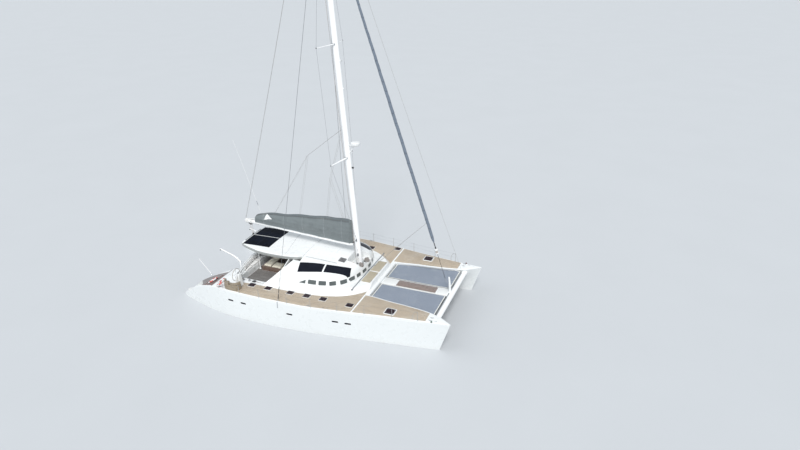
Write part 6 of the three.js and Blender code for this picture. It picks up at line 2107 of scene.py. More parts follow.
def cushion(name, outline, z0, z1, mats, r=0.03, cap=0.02, voxel=0.022, body="root", piping=0.0055, lines=(), copies=(), buttons=(), turn=None, slot=None, seed=0):
    """a padded piece with piped seams. turn places the pad made flat at the origin; copies are more placements of the same cut"""
    inset = 0.010
    rings = pad_shape(shrink(outline, inset), z0 + 0.0005, z1 - inset, r)
    ob = Build().loft(rings).raw(name + "_cut")
    blow(ob, voxel, cap, z0 + 0.0005)
    tree = BVHTree.FromObject(ob, bpy.context.evaluated_depsgraph_get())
    base_v = [v.co.copy() for v in ob.data.vertices]
    base_f = [list(p.vertices) for p in ob.data.polygons]
    # sewn channels and buttons press into the swollen top
    mid = (z0 + z1) / 2

    def pressed(p):
        d = 0.0
        if p.z > mid:
            for (x0, y0), (x1, y1), deep, wide in lines:
                ux, uy = x1 - x0, y1 - y0
                L = math.hypot(ux, uy)
                t = max(0, min(1, ((p.x - x0) * ux + (p.y - y0) * uy) / (L * L)))
                q = math.hypot(p.x - x0 - ux * t, p.y - y0 - uy * t)
                d = max(d, deep * math.exp(-(q / wide) ** 2))
            for x, y in buttons:
                d = max(d, 0.014 * math.exp(-(math.hypot(p.x - x, p.y - y) / 0.05) ** 2))
        return d
    base_v = [Vector((p.x, p.y, p.z - pressed(p))) for p in base_v]
    seams = []
    for zz, push in ((z1 - r * 0.75, 1), (z0 + r * 0.55, 1)):
        path = []
        n = len(outline)
        for k in range(n):
            p, q = outline[k], outline[(k + 1) % n]
            L = math.hypot(q[0] - p[0], q[1] - p[1])
            for j in range(max(1, int(L / 0.06))):
                t = j / max(1, int(L / 0.06))
                w = Vector((p[0] + (q[0] - p[0]) * t, p[1] + (q[1] - p[1]) * t, zz))
                hit = tree.find_nearest(w)
                path.append(hit[0] + hit[1] * piping * 0.35 if hit[0] is not None else w)
        path.append(path[0])
        seams.append(path)
    bpy.data.objects.remove(ob)
    out = []
    for n, place_at in enumerate((turn,) + tuple(copies)):
        M = place_at if place_at is not None else Matrix.Identity(4)
        b = Build()
        off = Vector((seed * 3.1 + n * 7.7, n * 1.3, seed))

        def settle(p):
            e = 0.0035 * mnoise.noise(p * 5.5 + off) + 0.0015 * mnoise.noise(p * 17 + off)
            k = min(1, max(0, (p.z - z0) / 0.02))
            return Vector((p.x + e * 0.6 * k, p.y + e * 0.6 * k, p.z + e * k * (1.4 if p.z > mid else 0.4)))
        b.add([M @ settle(p) for p in base_v], base_f)
        for path in seams:
            b.tube([M @ settle(p) for p in path], piping, 6, 1, caps=False)
        for x, y in buttons:
            b.lathe([(0.0, -0.004), (0.014, -0.003), (0.015, 0.001), (0.010, 0.004), (0.0, 0.0048)], M @ Vector((x, y, (z1 - 0.008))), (M.to_3x3() @ Vector((0, 0, 1))), 12, 1)
        o = b.make(name if n == 0 else f"{name}_{n + 1}", mats, body=body, sharp=65, slot=slot, merge=False)
        out.append(o)
    return out


def put(x=0, y=0, z=0, rx=0, ry=0, rz=0, flip=False):
    m = Matrix.Translation((x, y, z)) @ Matrix.Rotation(math.radians(rz), 4, "Z") @ Matrix.Rotation(math.radians(ry), 4, "Y") @ Matrix.Rotation(math.radians(rx), 4, "X")
    return m @ Matrix.Scale(-1, 4, (0, 1, 0)) if flip else m


# ---------------------------------------------------------------- cockpit floor and seats
sole = [(-5.62, -3.37), (-2.335, -3.37), (-2.335, 3.37), (-2.735, 3.37), (-2.735, 2.765), (-4.435, 2.765), (-4.435, -0.385), (-2.735, -0.385), (-2.735, -1.195), (-5.245, -1.195), (-5.245, 3.37), (-5.62, 3.37)]
b = Build()
pad(b, sole, 1.5004, 1.506, 0.003)
b.make("cockpit_sole", SOLE, sharp=40)
# drains with gratings near the floor's after edge
b = Build()
for y in (-2.9, 2.9):
    pad(b, rounded(-5.53, y, 0.10, 0.30, 0.02), 1.506, 1.511, 0.002, 0)
    for k in range(9):
        pad(b, rounded(-5.53, y - 0.12 + k * 0.03, 0.07, 0.010, 0.004, 2), 1.5109, 1.5125, 0.001, 1)
b.make("cockpit_drains", [STEEL, BLACK], sharp=40)

bow_line = lambda y: 0.052 * y * y
ysx = span(-3.38, 3.38, 0.169)
b = Build()
inside = [y for y in ysx if abs(y) <= 2.44]


def seat_part(y0, y1, x_front, x_back, z0, z1, bevel, n=28):
    yy = [y0 + (y1 - y0) * k / n for k in range(n + 1)]
    line = [(x_front(y), y) for y in yy] + [(x_back(y), y) for y in reversed(yy)]
    pad(b, line, z0, z1, bevel)


seat_part(-2.444, 2.444, lambda y: -5.64, lambda y: -6.165 + bow_line(y), 1.5004, 1.929, 0.022)
seat_part(-2.444, 2.444, lambda y: -6.166 + bow_line(y), lambda y: -6.318 + bow_line(y), 1.5004, 2.12, 0.0)
seat_part(-3.385, 3.385, lambda y: -6.172 + bow_line(y), lambda y: -6.318 + bow_line(y), 2.0312, 2.328, 0.028, 40)
for s in (-1, 1):
    seat_part(s * 2.452, s * 3.385, lambda y: -6.10 + bow_line(y), lambda y: -6.168 + bow_line(y), 2.0312, 2.16, 0.015)
seat = b.make("aft_bench", [GEL], sharp=35, slot="gelcoat")
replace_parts(seat, "cockpit_aft_seat")
b = Build()
# locker fronts under the bench
for y in (-1.98, -0.66, 0.66, 1.98):
    v = [(-5.6385, y + a, z) for a, z in rounded(0, 1.72, 1.16, 0.30, 0.04)]
    w = [(-5.632, y + a, z) for a, z in rounded(0, 1.72, 1.16, 0.30, 0.04)]
    w2 = [(-5.6295, y + a, z) for a, z in rounded(0, 1.72, 1.13, 0.27, 0.035)]
    b.loft([v, w, w2], 0)
    b.lathe([(0.026, 0), (0.026, 0.004), (0.018, 0.006), (0.0, 0.006)], (-5.6295, y + 0.44, 1.72), (1, 0, 0), 18, 1)
b.make("bench_locker_fronts", [GEL_IN, STEEL], sharp=40)
# rail along the bench's back
b = Build()
rail_z = 2.43
pts = [(-6.245 + bow_line(y), y, rail_z if abs(y) < 3.2 else rail_z - (abs(y) - 3.2) * 0.5) for y in span(-3.32, 3.32, 0.13)]
b.tube(pts, 0.024, 14, 0)
for y in (-3.3, -2.2, -1.1, 0, 1.1, 2.2, 3.3):
    x = -6.245 + bow_line(y)
    b.tube([(x, y, 2.325), (x, y, rail_z - (0.0 if abs(y) < 3.2 else 0.05))], 0.013, 12, 1)
    b.lathe([(0.034, 2.3282), (0.034, 2.334), (0.018, 2.340)], (x, y, 0), seg=18, mi=1)
b.make("bench_back_rail", [MASTPAINT, STEEL], sharp=50)

# bench cushions: six seats and six backs, white
def bench_outline(y0, y1, xf, xb, n=7):
    yy = [y0 + (y1 - y0) * k / n for k in range(n + 1)]
    line = [(xf(y), y) for y in yy] + [(xb(y), y) for y in reversed(yy)]
    # rounded corners
    out = []
    for k, p in enumerate(line):
        a, c = line[k - 1], line[(k + 1) % len(line)]
        u = Vector((p[0] - a[0], p[1] - a[1])).normalized()
        w = Vector((c[0] - p[0], c[1] - p[1])).normalized()
        if u.dot(w) < 0.5:
            P, r = Vector(p), 0.035
            p0, p1 = P - u * r, P + w * r
            for t in (0, 0.33, 0.67, 1):
                q = (p0 * (1 - t) ** 2 + P * 2 * t * (1 - t) + p1 * t * t)
                out.append((q.x, q.y))
        else:
            out.append(p)
    return out


W = 0.79
for k, y0 in enumerate((0.015, 0.82, 1.625)):
    o = bench_outline(y0, y0 + W, lambda y: -5.652, lambda y: -6.135 + bow_line(y))
    cushion(f"bench_seat_{k + 1}", o, 1.9296, 2.025, [WHITEVINYL, GREYBAG], r=0.028, cap=0.018, voxel=0.022, copies=(put(flip=True),), seed=k)
    o = bench_outline(y0, y0 + W, lambda y: -6.075 + bow_line(y), lambda y: -6.158 + bow_line(y), 7)
    cushion(f"bench_back_{k + 1}", o, 2.03, 2.318, [WHITEVINYL, GREYBAG], r=0.026, cap=0.014, voxel=0.02, copies=(put(flip=True),), seed=k + 10)

# settee in a U, open forwards, with a back along its after side
b = Build()
u_shape = [(-5.228, -1.178), (-2.752, -1.178), (-2.752, -0.402), (-4.452, -0.402), (-4.452, 2.782), (-2.752, 2.782), (-2.752, 3.328), (-5.228, 3.328)]
pad(b, u_shape, 1.5004, 1.849, 0.02)
pad(b, [(-5.228, 3.202), (-2.752, 3.202), (-2.752, 3.328), (-5.228, 3.328)], 1.84, 2.329, 0.03)
pad(b, [(-5.228, 0.702), (-5.112, 0.702), (-5.112, 3.215), (-5.228, 3.215)], 1.84, 2.329, 0.03)
# the base is coloured dark brown with a grain, standing in for shade: painted shade
st = b.make("settee_base", SETTEE_BASE_SHADE, sharp=35, slot="gelcoat")
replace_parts(st, "cockpit_settee")
b = Build()
for x0, x1, y in ((-4.35, -3.60, -0.3995), (-3.55, -2.85, -0.3995), (-4.35, -3.60, 2.7795), (-3.55, -2.85, 2.7795)):
    n = 1 if y < 0 else -1
    rect = rounded((x0 + x1) / 2, 1.675, x1 - x0 - 0.06, 0.24, 0.03)
    b.loft([[(a, y, z) for a, z in rect], [(a, y + 0.006 * n, z) for a, z in rect], [(a, y + 0.009 * n, z) for a, z in shrink(rect, 0.012)]], 0)
    b.lathe([(0.024, 0), (0.024, 0.004), (0.0, 0.006)], (x1 - 0.12, y + 0.009 * n, 1.70), (0, n, 0), 16, 1)
b.make("settee_locker_fronts", [GEL, STEEL], sharp=40)
C = [CREAM, GREYBAG]
long = bench_outline(-0.535, 0.535, lambda y: 0.315, lambda y: -0.315, 4)
first = cushion("settee_seat", long, 1.8502, 1.966, C, r=0.032, cap=0.022, voxel=0.024, turn=put(-4.765, -0.625), copies=(put(-4.765, 0.465), put(-4.765, 1.555), put(-4.765, 2.645)), seed=21, buttons=((0, -0.2), (0, 0.2)))
leg = bench_outline(-0.37, 0.37, lambda y: 0.405, lambda y: -0.405, 4)
more = cushion("settee_side", leg, 1.8502, 1.962, C, r=0.03, cap=0.020, voxel=0.024, turn=put(-4.02, -0.79), copies=(put(-3.19, -0.79),), seed=31, buttons=((-0.16, 0), (0.16, 0)))
leg2 = bench_outline(-0.195, 0.195, lambda y: 0.405, lambda y: -0.405, 3)
more2 = cushion("settee_port_side", leg2, 1.8502, 1.962, C, r=0.03, cap=0.018, voxel=0.022, turn=put(-4.02, 2.985), copies=(put(-3.19, 2.985),), seed=41, buttons=((-0.16, 0), (0.16, 0)))
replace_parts(first[0], "settee_cushions")
for o in first + more + more2:
    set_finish(o, "cushion_fabric")
# loose back cushions lean on the settee's back
bk = bench_outline(-0.52, 0.52, lambda y: 0.055, lambda y: -0.055, 4)
backs = cushion("settee_back", bk, 0.0, 0.33, C, r=0.03, cap=0.020, voxel=0.022, turn=put(-5.005, 1.26, 1.985, 0, -9), copies=(put(-5.005, 2.34, 1.985, 0, -9),), seed=51)
bk2 = bench_outline(-0.36, 0.36, lambda y: 0.052, lambda y: -0.052, 4)
cushion("settee_port_back", bk2, 0.0, 0.33, C, r=0.03, cap=0.020, voxel=0.022, turn=put(-4.02, 3.105, 1.98, 0, -9, 90), copies=(put(-3.24, 3.105, 1.98, 0, -9, 90),), seed=61)

# table on a turned leg
b = Build()
pad(b, rounded(-3.55, 1.30, 1.20, 1.70, 0.14, 8), 2.188, 2.2245, 0.008, 0)
pad(b, rounded(-3.55, 1.30, 1.12, 1.62, 0.11, 8), 2.180, 2.1885, 0.003, 1)
ring_o, ring_i = rounded(-3.55, 1.30, 1.19, 1.69, 0.135, 8), rounded(-3.55, 1.30, 1.14, 1.64, 0.11, 8)
b.lathe([(0.19, 1.5065), (0.19, 1.515), (0.17, 1.524), (0.062, 1.540), (0.052, 1.56), (0.050, 1.80), (0.046, 2.08), (0.052, 2.12), (0.15, 2.165), (0.16, 2.180)], (-3.55, 1.30, 0), seg=36, mi=2)
b.box((-3.62, 1.24, 1.9), (-3.48, 1.36, 1.94), 0.012, 2)
t = b.make("cockpit_table_top", [TABLEWOOD, GEL_IN, ALU], sharp=40, slot="table_wood")
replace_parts(t, "cockpit_table")

# saloon bulkhead: window frames, door track, handle
b = Build()
for w0, w1 in ((-2.65, -0.95), (0.70, 2.65)):
    o1, i1 = rounded((w0 + w1) / 2, 2.75, w1 - w0 + 0.07, 0.87, 0.05), rounded((w0 + w1) / 2, 2.75, w1 - w0 - 0.012, 0.788, 0.03)
    b.loft([[(-2.2704, y, z) for y, z in o1], [(-2.276, y, z) for y, z in shrink(o1, 0.002)], [(-2.278, y, z) for y, z in shrink(o1, 0.01)], [(-2.278, y, z) for y, z in shrink(i1, -0.004)], [(-2.270, y, z) for y, z in i1], [(-2.25, y, z) for y, z in i1]], 0, caps=False)
    b.box((-2.254, (w0 + w1) / 2 - 0.02, 2.352), (-2.246, (w0 + w1) / 2 + 0.02, 3.148), 0.002, 0)
b.box((-2.276, -0.80, 3.335), (-2.2705, 1.80, 3.375), 0.002, 1)
b.box((-2.33, -0.80, 3.372), (-2.2705, 1.80, 3.392), 0.004, 1)
b.make("aft_window_frames", [ALU, MASTPAINT], sharp=40)
b = Build()
b.tube(curve([(-2.316, -0.745, 2.30), (-2.352, -0.745, 2.32), (-2.356, -0.745, 2.42), (-2.352, -0.745, 2.52), (-2.316, -0.745, 2.54)], 16), 0.009, 10, 0)
b.box((-2.318, -0.775, 2.27), (-2.3125, -0.715, 2.57), 0.002, 0)
for y in (-0.62, 0.37):
    b.box((-2.345, y - 0.05, 3.30), (-2.3125, y + 0.05, 3.368), 0.008, 1)
b.box((-2.3015, -0.697, 1.63), (-2.2975, 0.447, 1.66), 0.001, 1)
b.make("saloon_door_fittings", [STEEL, BLACK], body="saloon_door", sharp=40)


# ---------------------------------------------------------------- helm stations
HX, HY, HZ = -4.95, 4.38, 2.0303


def helm_ring(a, bb, side, t0, t1, n):
    out = []
    for k in range(n + 1):
        t = t0 + (t1 - t0) * k / n
        c, q = math.cos(t), math.sin(t)
        out.append((HX - 0.17 + a * math.copysign(abs(c) ** 0.62, c), side * (HY + 0.33 + bb * abs(q) ** 0.62)))
    return out


for s, side in SIDES:
    # pedestal: moulded, leaning, with a sloped top for the instruments
    b = Build()
    rings = []
    for z, a, w in ((0.0008, 0.186, 0.226), (0.02, 0.186, 0.226), (0.05, 0.176, 0.216), (0.30, 0.165, 0.206), (0.55, 0.150, 0.194), (0.78, 0.132, 0.176), (0.86, 0.126, 0.168), (0.93, 0.118, 0.158), (0.952, 0.105, 0.146), (0.958, 0.088, 0.13)):
        xy = rounded(HX + 0.068, side * HY, 2 * a - 0.012, 2 * w, 0.055, 6)
        rings.append([(x, y, HZ + z) for x, y in xy])
    b.loft(rings, 0)
    # instrument panel on the after face
    for z, dz, wy, mi in ((0.60, 0.10, 0.11, 1), (0.74, 0.055, 0.045, 1)):
        for yy in ((0,) if mi == 1 and wy > 0.1 else (-0.075, 0.075)):
            xf = lambda zz: HX + 0.068 - (0.165 - (zz - 0.30) * 0.068) + 0.004
            rect = rounded(side * HY + yy, HZ + z, 2 * wy, 2 * dz, 0.012)
            lay = [[(xf(zz - HZ), y, zz) for y, zz in rect], [(xf(zz - HZ) - 0.012, y, zz) for y, zz in rect], [(xf(zz - HZ) - 0.014, y, zz) for y, zz in shrink(rect, 0.003)]]
            b.loft(lay, 2)
            rect2 = shrink(rect, 0.010)
            b.loft([[(xf(zz - HZ) - 0.0135, y, zz) for y, zz in rect2], [(xf(zz - HZ) - 0.0148, y, zz) for y, zz in rect2]], 3)
    # compass dome and guard rail
    b.lathe([(0.062, 0.955), (0.064, 0.965), (0.058, 0.972)], (HX + 0.045, side * HY, HZ), seg=28, mi=2)
    b.lathe([(0.055, 0.97), (0.05, 0.988), (0.034, 1.003), (0.014, 1.010), (0.0, 1.011)], (HX + 0.045, side * HY, HZ), seg=28, mi=3)
    yg = 0.20
    b.tube(curve([(HX + 0.12, side * HY - yg, HZ + 0.02), (HX + 0.115, side * HY - yg + 0.004, HZ + 0.6), (HX + 0.09, side * HY - yg + 0.03, HZ + 0.99), (HX + 0.088, side * HY, HZ + 1.055), (HX + 0.09, side * HY + yg - 0.03, HZ + 0.99), (HX + 0.115, side * HY + yg - 0.004, HZ + 0.6), (HX + 0.12, side * HY + yg, HZ + 0.02)], 60), 0.0125, 12, 4)
    # engine levers on the inboard side
    yi = side * (HY - 0.187)
    for k in (-0.028, 0.028):
        b.lathe([(0.026, 0), (0.026, 0.012), (0.012, 0.018)], (HX + 0.07 + k, yi, HZ + 0.78), (0, -side, 0), 16, 2)
        b.tube([(HX + 0.07 + k, yi - side * 0.02, HZ + 0.78), (HX + 0.07 + k + 0.01, yi - side * 0.03, HZ + 0.84), (HX + 0.07 + k + 0.03, yi - side * 0.035, HZ + 0.90)], 0.006, 8, 4)
        b.lathe([(0.0, -0.02), (0.012, -0.016), (0.015, 0.0), (0.012, 0.016), (0.0, 0.02)], (HX + 0.07 + k + 0.032, yi - side * 0.036, HZ + 0.912), (0.3, 0, 1), 14, 2)
    # bearing for the wheel
    b.lathe([(0.055, -5.055 + 0.035), (0.05, -5.055 + 0.018), (0.036, -5.055 + 0.012), (0.030, -5.055 + 0.002)], (0, side * HY, 2.8403), (1, 0, 0), 24, 4, ref=(0, 0, 1))
    con = b.make(f"{s}_helm_pedestal", [GEL_IN, GREYPLASTIC, BLACK, DISPLAY, STEEL], sharp=38, slot="gelcoat")
    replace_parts(con, f"{s}_helm_console")
    # wheel: rim bound in leather, five spokes, hub with its nut
    b = Build()
    c = Vector((-5.075, side * HY, 2.8403))
    N = 72
    rim = [c + Vector((0, math.cos(k / N * 2 * math.pi) * 0.43, math.sin(k / N * 2 * math.pi) * 0.43)) for k in range(N)]
    rr = []
    for k in range(N):
        ring = []
        out = (rim[k] - c).normalized()
        for j in range(12):
            a = j / 12 * 2 * math.pi
            ring.append(rim[k] + out * math.cos(a) * 0.0155 + Vector((1, 0, 0)) * math.sin(a) * 0.0155)
        rr.append(ring)
    b.loft(rr + [rr[0]], 1, caps=False)
    for k in range(30):
        t = (k + 0.5) / 30 * 2 * math.pi
        p = [c + Vector((0, math.cos(t + d) * 0.43, math.sin(t + d) * 0.43)) for d in (-0.008, 0.008)]
        b.tube([p[0], p[1]], 0.0163, 12, 2)
    for i in range(5):
        a = i * 2 * math.pi / 5 + 0.3
        d = Vector((0, math.cos(a), math.sin(a)))
        b.tube([c + d * 0.03, c + d * 0.12, c + d * 0.30, c + d * 0.425], [0.0115, 0.0095, 0.0075, 0.0072], 12, 0)
    b.lathe([(0.012, -0.030), (0.022, -0.028), (0.026, -0.020), (0.050, -0.018), (0.052, -0.010), (0.052, 0.012), (0.046, 0.018), (0.03, 0.02)], c, (1, 0, 0), 30, 0)
    w = b.make(f"{s}_helm_wheel", [STEEL, TANVINYL, BLACK], body=f"{s}_wheel", sharp=45, slot="rigging_steel")
    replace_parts(w, f"{s}_steering_wheel")
    # bench: moulded tub covered in tan vinyl, two seat pads, two padded backs
    b = Build()
    out1, in1 = helm_ring(0.610, 0.468, side, 0, math.pi, 44), helm_ring(0.310, 0.175, side, 0, math.pi, 44)
    plan = out1 + in1[::-1]
    b.loft([[(x, y, HZ + 0.0008) for x, y in shrink(plan, 0.006)], [(x, y, HZ + 0.03) for x, y in shrink(plan, 0.001)], [(x, y, HZ + 0.34) for x, y in plan], [(x, y, HZ + 0.365) for x, y in shrink(plan, 0.006)], [(x, y, HZ + 0.372) for x, y in shrink(plan, 0.016)]], 0)
    # seams in the covering and a foot welt
    for t in (0.10, 0.28, 0.42, 0.58, 0.72, 0.90):
        p = helm_ring(0.6125, 0.4705, side, t * math.pi, t * math.pi, 1)[0]
        b.tube([(p[0], p[1], HZ + 0.012), (p[0], p[1], HZ + 0.18), (p[0], p[1], HZ + 0.362)], 0.004, 6, 1)
    b.tube([(x, y, HZ + 0.036) for x, y in helm_ring(0.612, 0.470, side, 0, math.pi, 60)], 0.005, 6, 1)
    base = b.make(f"{s}_helm_bench", [TANVINYL, GREYBAG], sharp=45, slot="helm_seat_covering")
    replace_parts(base, f"{s}_helm_seat")
    if side < 0:
        pads = []
        for k, (t0, t1) in enumerate(((0.0, 0.488), (0.512, 1.0))):
            ol = helm_ring(0.516, 0.378, side, t0 * math.pi, t1 * math.pi, 22) + helm_ring(0.317, 0.182, side, t0 * math.pi, t1 * math.pi, 22)[::-1]
            pads.append(cushion(f"starboard_helm_pad_{k + 1}", ol, HZ + 0.372, HZ + 0.452, [TANVINYL, GREYBAG], r=0.024, cap=0.016, voxel=0.016, seed=70 + k)[0])
            ol = helm_ring(0.611, 0.469, side, t0 * math.pi, t1 * math.pi, 26) + helm_ring(0.522, 0.383, side, t0 * math.pi, t1 * math.pi, 26)[::-1]
            pads.append(cushion(f"starboard_helm_back_{k + 1}", ol, HZ + 0.372, HZ + 0.622, [TANVINYL, GREYBAG], r=0.030, cap=0.012, voxel=0.018, seed=80 + k)[0])
    else:
        for p in pads:
            q = mirrored(p, p.name.replace("starboard", "port"))



# ---------------------------------------------------------------- under the water
def foil(chord_nose, chord_tail, t, n=22):
    """(x, y) points of a foil section: full at a third of the chord, fine tail"""
    up = []
    for k in range(n + 1):
        u = (1 - math.cos(k / n * math.pi)) / 2          # 0 nose, 1 tail
        y = 5 * t * 2 * (0.2969 * math.sqrt(u) - 0.1260 * u - 0.3516 * u * u + 0.2843 * u ** 3 - 0.1015 * u ** 4)
        up.append((chord_nose + (chord_tail - chord_nose) * u, max(y, t * 0.03)))
    return up + [(x, -y) for x, y in reversed(up[1:-1])]


KEELS = [[-1330, 1000, -2000, 105], [-1310, 1012, -2008, 112], [-1100, 1250, -2150, 140], [-760, 1480, -2290, 165], [-560, 1500, -2300, 170]]
RUD = [[-1300, 110, -420, 30], [-1285, 114, -426, 34], [-900, 140, -500, 48], [-470, 150, -520, 55]]
for s, side in SIDES:
    b = Build()
    rings = []
    for z in [-1330, -1324, -1305] + span(-1270, -700, 95):
        n, t, w = [along(KEELS, k, z) / 1000 for k in (1, 2, 3)]
        k = 0.90 if z == -1330 else 0.96 if z == -1324 else 1.0
        rings.append([((x - (n + t) / 2) * (0.97 + 0.03 * k) + (n + t) / 2, side * 3.9 + y * 0.985 * k, z / 1000) for x, y in foil(n, t, w / 2, 26)])
    b.loft(rings, 0)
    ob = b.make(f"{s}_keel_fin", FOUL, sharp=40, slot="antifouling")
    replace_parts(ob, f"{s}_keel")
    b = Build()
    rings = []
    for z in [-1300, -1295, -1280] + span(-1250, -474, 97) + [-471]:
        n, t, w = [along(RUD, k, z) / 1000 for k in (1, 2, 3)]
        k = 0.8 if z == -1300 else 0.93 if z == -1295 else 1.0
        rings.append([(-8.3 + (x - (n + t) / 2) * (0.95 + 0.05 * k) + (n + t) / 2, side * 3.9 + y * 0.99 * k, z / 1000) for x, y in foil(n, t, w / 2, 22)])
    b.loft(rings, 0)
    b.lathe([(0.0447, -0.62), (0.0447, -0.40), (0.0447, -0.08), (0.041, -0.0705)], (-8.3, side * 3.9, 0), seg=26, mi=1)
    ob = b.make(f"{s}_rudder_blade", [FOUL, STEEL], body=f"{s}_rudder", sharp=40, slot="antifouling")
    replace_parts(ob, f"{s}_rudder")
    # saildrive leg with its pod, intake slots and anode
    b = Build()
    rings = []
    for z, t in ((-0.645, 0.088), (-0.76, 0.080), (-0.87, 0.074), (-0.935, 0.068)):
        rings.append([(-5.1 + x, side * 3.9 + y * 0.74, z) for x, y in foil(0.188, -0.188, t, 18)])
    b.loft(rings, 0)
    b.lathe([(0.0, 0.2095), (0.022, 0.205), (0.045, 0.185), (0.070, 0.150), (0.084, 0.105), (0.0865, 0.06), (0.0865, -0.10), (0.082, -0.16), (0.072, -0.205), (0.062, -0.229)], (-5.1, side * 3.9, -0.98), (1, 0, 0), 34, 0, ref=(0, 0, 1))
    b.lathe([(0.0875, -0.128), (0.0885, -0.135), (0.0800, -0.185), (0.078, -0.19)], (-5.1, side * 3.9, -0.98), (1, 0, 0), 34, 1, ref=(0, 0, 1))
    b.loft([[(-5.1 + x, side * 3.9 + y, z) for x, y in ((0.02, -0.012), (0.02, 0.012), (-0.19, 0.010), (-0.21, 0.003), (-0.21, -0.003), (-0.19, -0.010))] for z in (-1.135, -1.06)], 0)
    for w in (-1, 1):
        for k in range(4):
            b.box((-5.1 - 0.03 + 0.03 * k, side * 3.9 + w * 0.0490 - 0.004, -0.86), (-5.1 - 0.018 + 0.03 * k, side * 3.9 + w * 0.0490 + 0.004, -0.80), 0.003, 2)
    ob = b.make(f"{s}_saildrive_leg", [DRIVEPAINT, STEEL, BLACK], sharp=45, slot="drive_leg")
    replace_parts(ob, f"{s}_saildrive")
    # three-bladed propeller
    b = Build()
    c = Vector((-5.1, side * 3.9, -0.98))
    b.lathe([(0.050, -0.2385), (0.0575, -0.243), (0.0575, -0.31), (0.054, -0.332), (0.044, -0.352), (0.028, -0.385), (0.014, -0.398), (0.0, -0.3995)], c, (1, 0, 0), 34, 0, ref=(0, 0, 1))
    for i in range(3):
        a = i * 2 * math.pi / 3
        rot = Matrix.Rotation(-a, 4, "X")
        rings = []
        for k in range(15):
            u = k / 14
            r = 0.046 + (0.243 - 0.046) * u
            chord = 0.030 + 0.041 * math.sin(math.pi * min(1, (u * 0.92 + 0.06))) ** 0.75 * (1 if u < 0.75 else 1 - ((u - 0.75) / 0.25) ** 2 * 0.55)
            th = 0.0068 * (1 - 0.72 * u)
            pitch = math.atan2(0.12, r)
            ring = []
            for x, y in foil(-chord, chord, th / 2 * 1.4, 9):
                X = -0.292 + math.sin(pitch) * x * 0.75 + math.cos(pitch) * y
                Y = math.cos(pitch) * x - math.sin(pitch) * y * 0.6
                ring.append(c + (rot @ Vector((X, Y, r))))
            rings.append(ring)
        b.loft(rings, 0)
    ob = b.make(f"{s}_propeller_cast", BRONZE, body=f"{s}_propeller", sharp=42, slot="bronze")
    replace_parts(ob, f"{s}_propeller")


# ---------------------------------------------------------------- davits, antenna, flagstaff
for s, side in SIDES:
    y = side * 1.9
    b = Build()
    b.lathe([(0.0595, 1.5008), (0.0595, 1.52), (0.056, 1.54), (0.0545, 2.20), (0.054, 2.35)], (-6.56, y, 0), seg=26, mi=0)
    for k in range(6):
        a = k / 6 * 2 * math.pi
        b.lathe([(0.006, 1.52), (0.006, 1.526), (0.0, 1.527)], (-6.56 + math.cos(a) * 0.057, y + math.sin(a) * 0.057, 0), seg=8, mi=1)
    arm = curve([(-6.50, y, 2.305), (-7.00, y, 2.685), (-7.62, y, 2.905), (-8.225, y, 3.108)], 34)
    b.tube(arm, [0.056 + (0.039 - 0.056) * k / 33 for k in range(34)], 20, 0)
    b.tube([arm[0], arm[1]], [0.060, 0.060], 20, 1)
    # sheave box at the end, guide eyes and the fall led back to a cleat
    b.box((-8.248, y - 0.022, 3.055), (-8.19, y + 0.022, 3.155), 0.008, 1)
    for k in (9, 18, 27):
        b.tube([arm[k] + Vector((0, 0, -0.045 - 0.004)), arm[k] + Vector((0, 0, -0.062))], 0.010, 8, 1)
    fall = [arm[33] + Vector((0, 0, -0.058)), arm[27] + Vector((0, 0, -0.060)), arm[18] + Vector((0, 0, -0.064)), arm[9] + Vector((0, 0, -0.070)), Vector((-6.618, y, 2.24)), Vector((-6.622, y, 2.0))]
    b.tube(fall, 0.006, 8, 2)
    b.tube([(-6.612, y, 1.90), (-6.640, y, 1.93), (-6.640, y, 2.05), (-6.612, y, 2.08)], [0.005, 0.010, 0.010, 0.005], 8, 1)
    block(b, arm[33] + Vector((0.012, 0, -0.105)), (0, 1, 0), 1.2, 3, 1)
    ob = b.make(f"{s}_davit_arm", [MASTPAINT, STEEL, ROPEW, BLACK], sharp=50, slot="spar_white")
    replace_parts(ob, f"{s}_davit")

b = Build()
p0, p1, p2, p3 = Vector((-7.08, 2.99, 1.885)), Vector((-7.16, 2.99, 2.14)), Vector((-7.164, 2.99, 2.155)), Vector((-9.555, 2.99, 9.895))
d = (p1 - p0).normalized()
b.lathe([(0.05, 0), (0.05, 0.008), (0.03, 0.014)], (-7.08, 2.99, 1.872), seg=24, mi=1)
b.tube([p0, p0 + d * 0.05, p0 + d * 0.06, p0 + d * 0.22, p0 + d * 0.235, p1], [0.024, 0.024, 0.020, 0.020, 0.024, 0.024], 18, 1)
pts = [p2.lerp(p3, k / 40) for k in range(41)]
b.tube([p1] + pts, [0.024] + [0.024 - 0.012 * k / 40 for k in range(41)], 14, 0)
b.tube([pts[13], pts[14], pts[15]], [0.0225, 0.0265, 0.0225], 14, 1)
ob = b.make("whip_aerial", [WHITEPLASTIC, STEEL], sharp=50, slot="spar_white")
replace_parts(ob, "whip_antenna")
b = Build()
q0, q1 = Vector((-8.215, -3.15, 1.505)), Vector((-9.205, -3.15, 2.704))
d = (q1 - q0).normalized()
b.tube([q0, q0 + d * 0.16, q0 + d * 0.165], [0.029, 0.029, 0.024], 18, 1)
b.tube([q0 + d * 0.02, q0 + d * 0.17, q0 + d * 0.9, q1 - d * 0.03, q1 - d * 0.025, q1], [0.024, 0.0245, 0.022, 0.018, 0.024, 0.008], 16, 0)
b.tube([q0 + d * 0.5 + Vector((0.026, 0, 0.004)), q1 - d * 0.04 + Vector((0.024, 0, 0.004))], 0.003, 6, 2)
ob = b.make("flag_staff", [MASTPAINT, STEEL, ROPEW], sharp=50, slot="rigging_steel")
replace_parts(ob, "flagstaff")


# ---------------------------------------------------------------- deck gear
def sheer_z(x):
    """height of the deck edge, metres"""
    return along(HULL, 6, x * 1000) / 1000


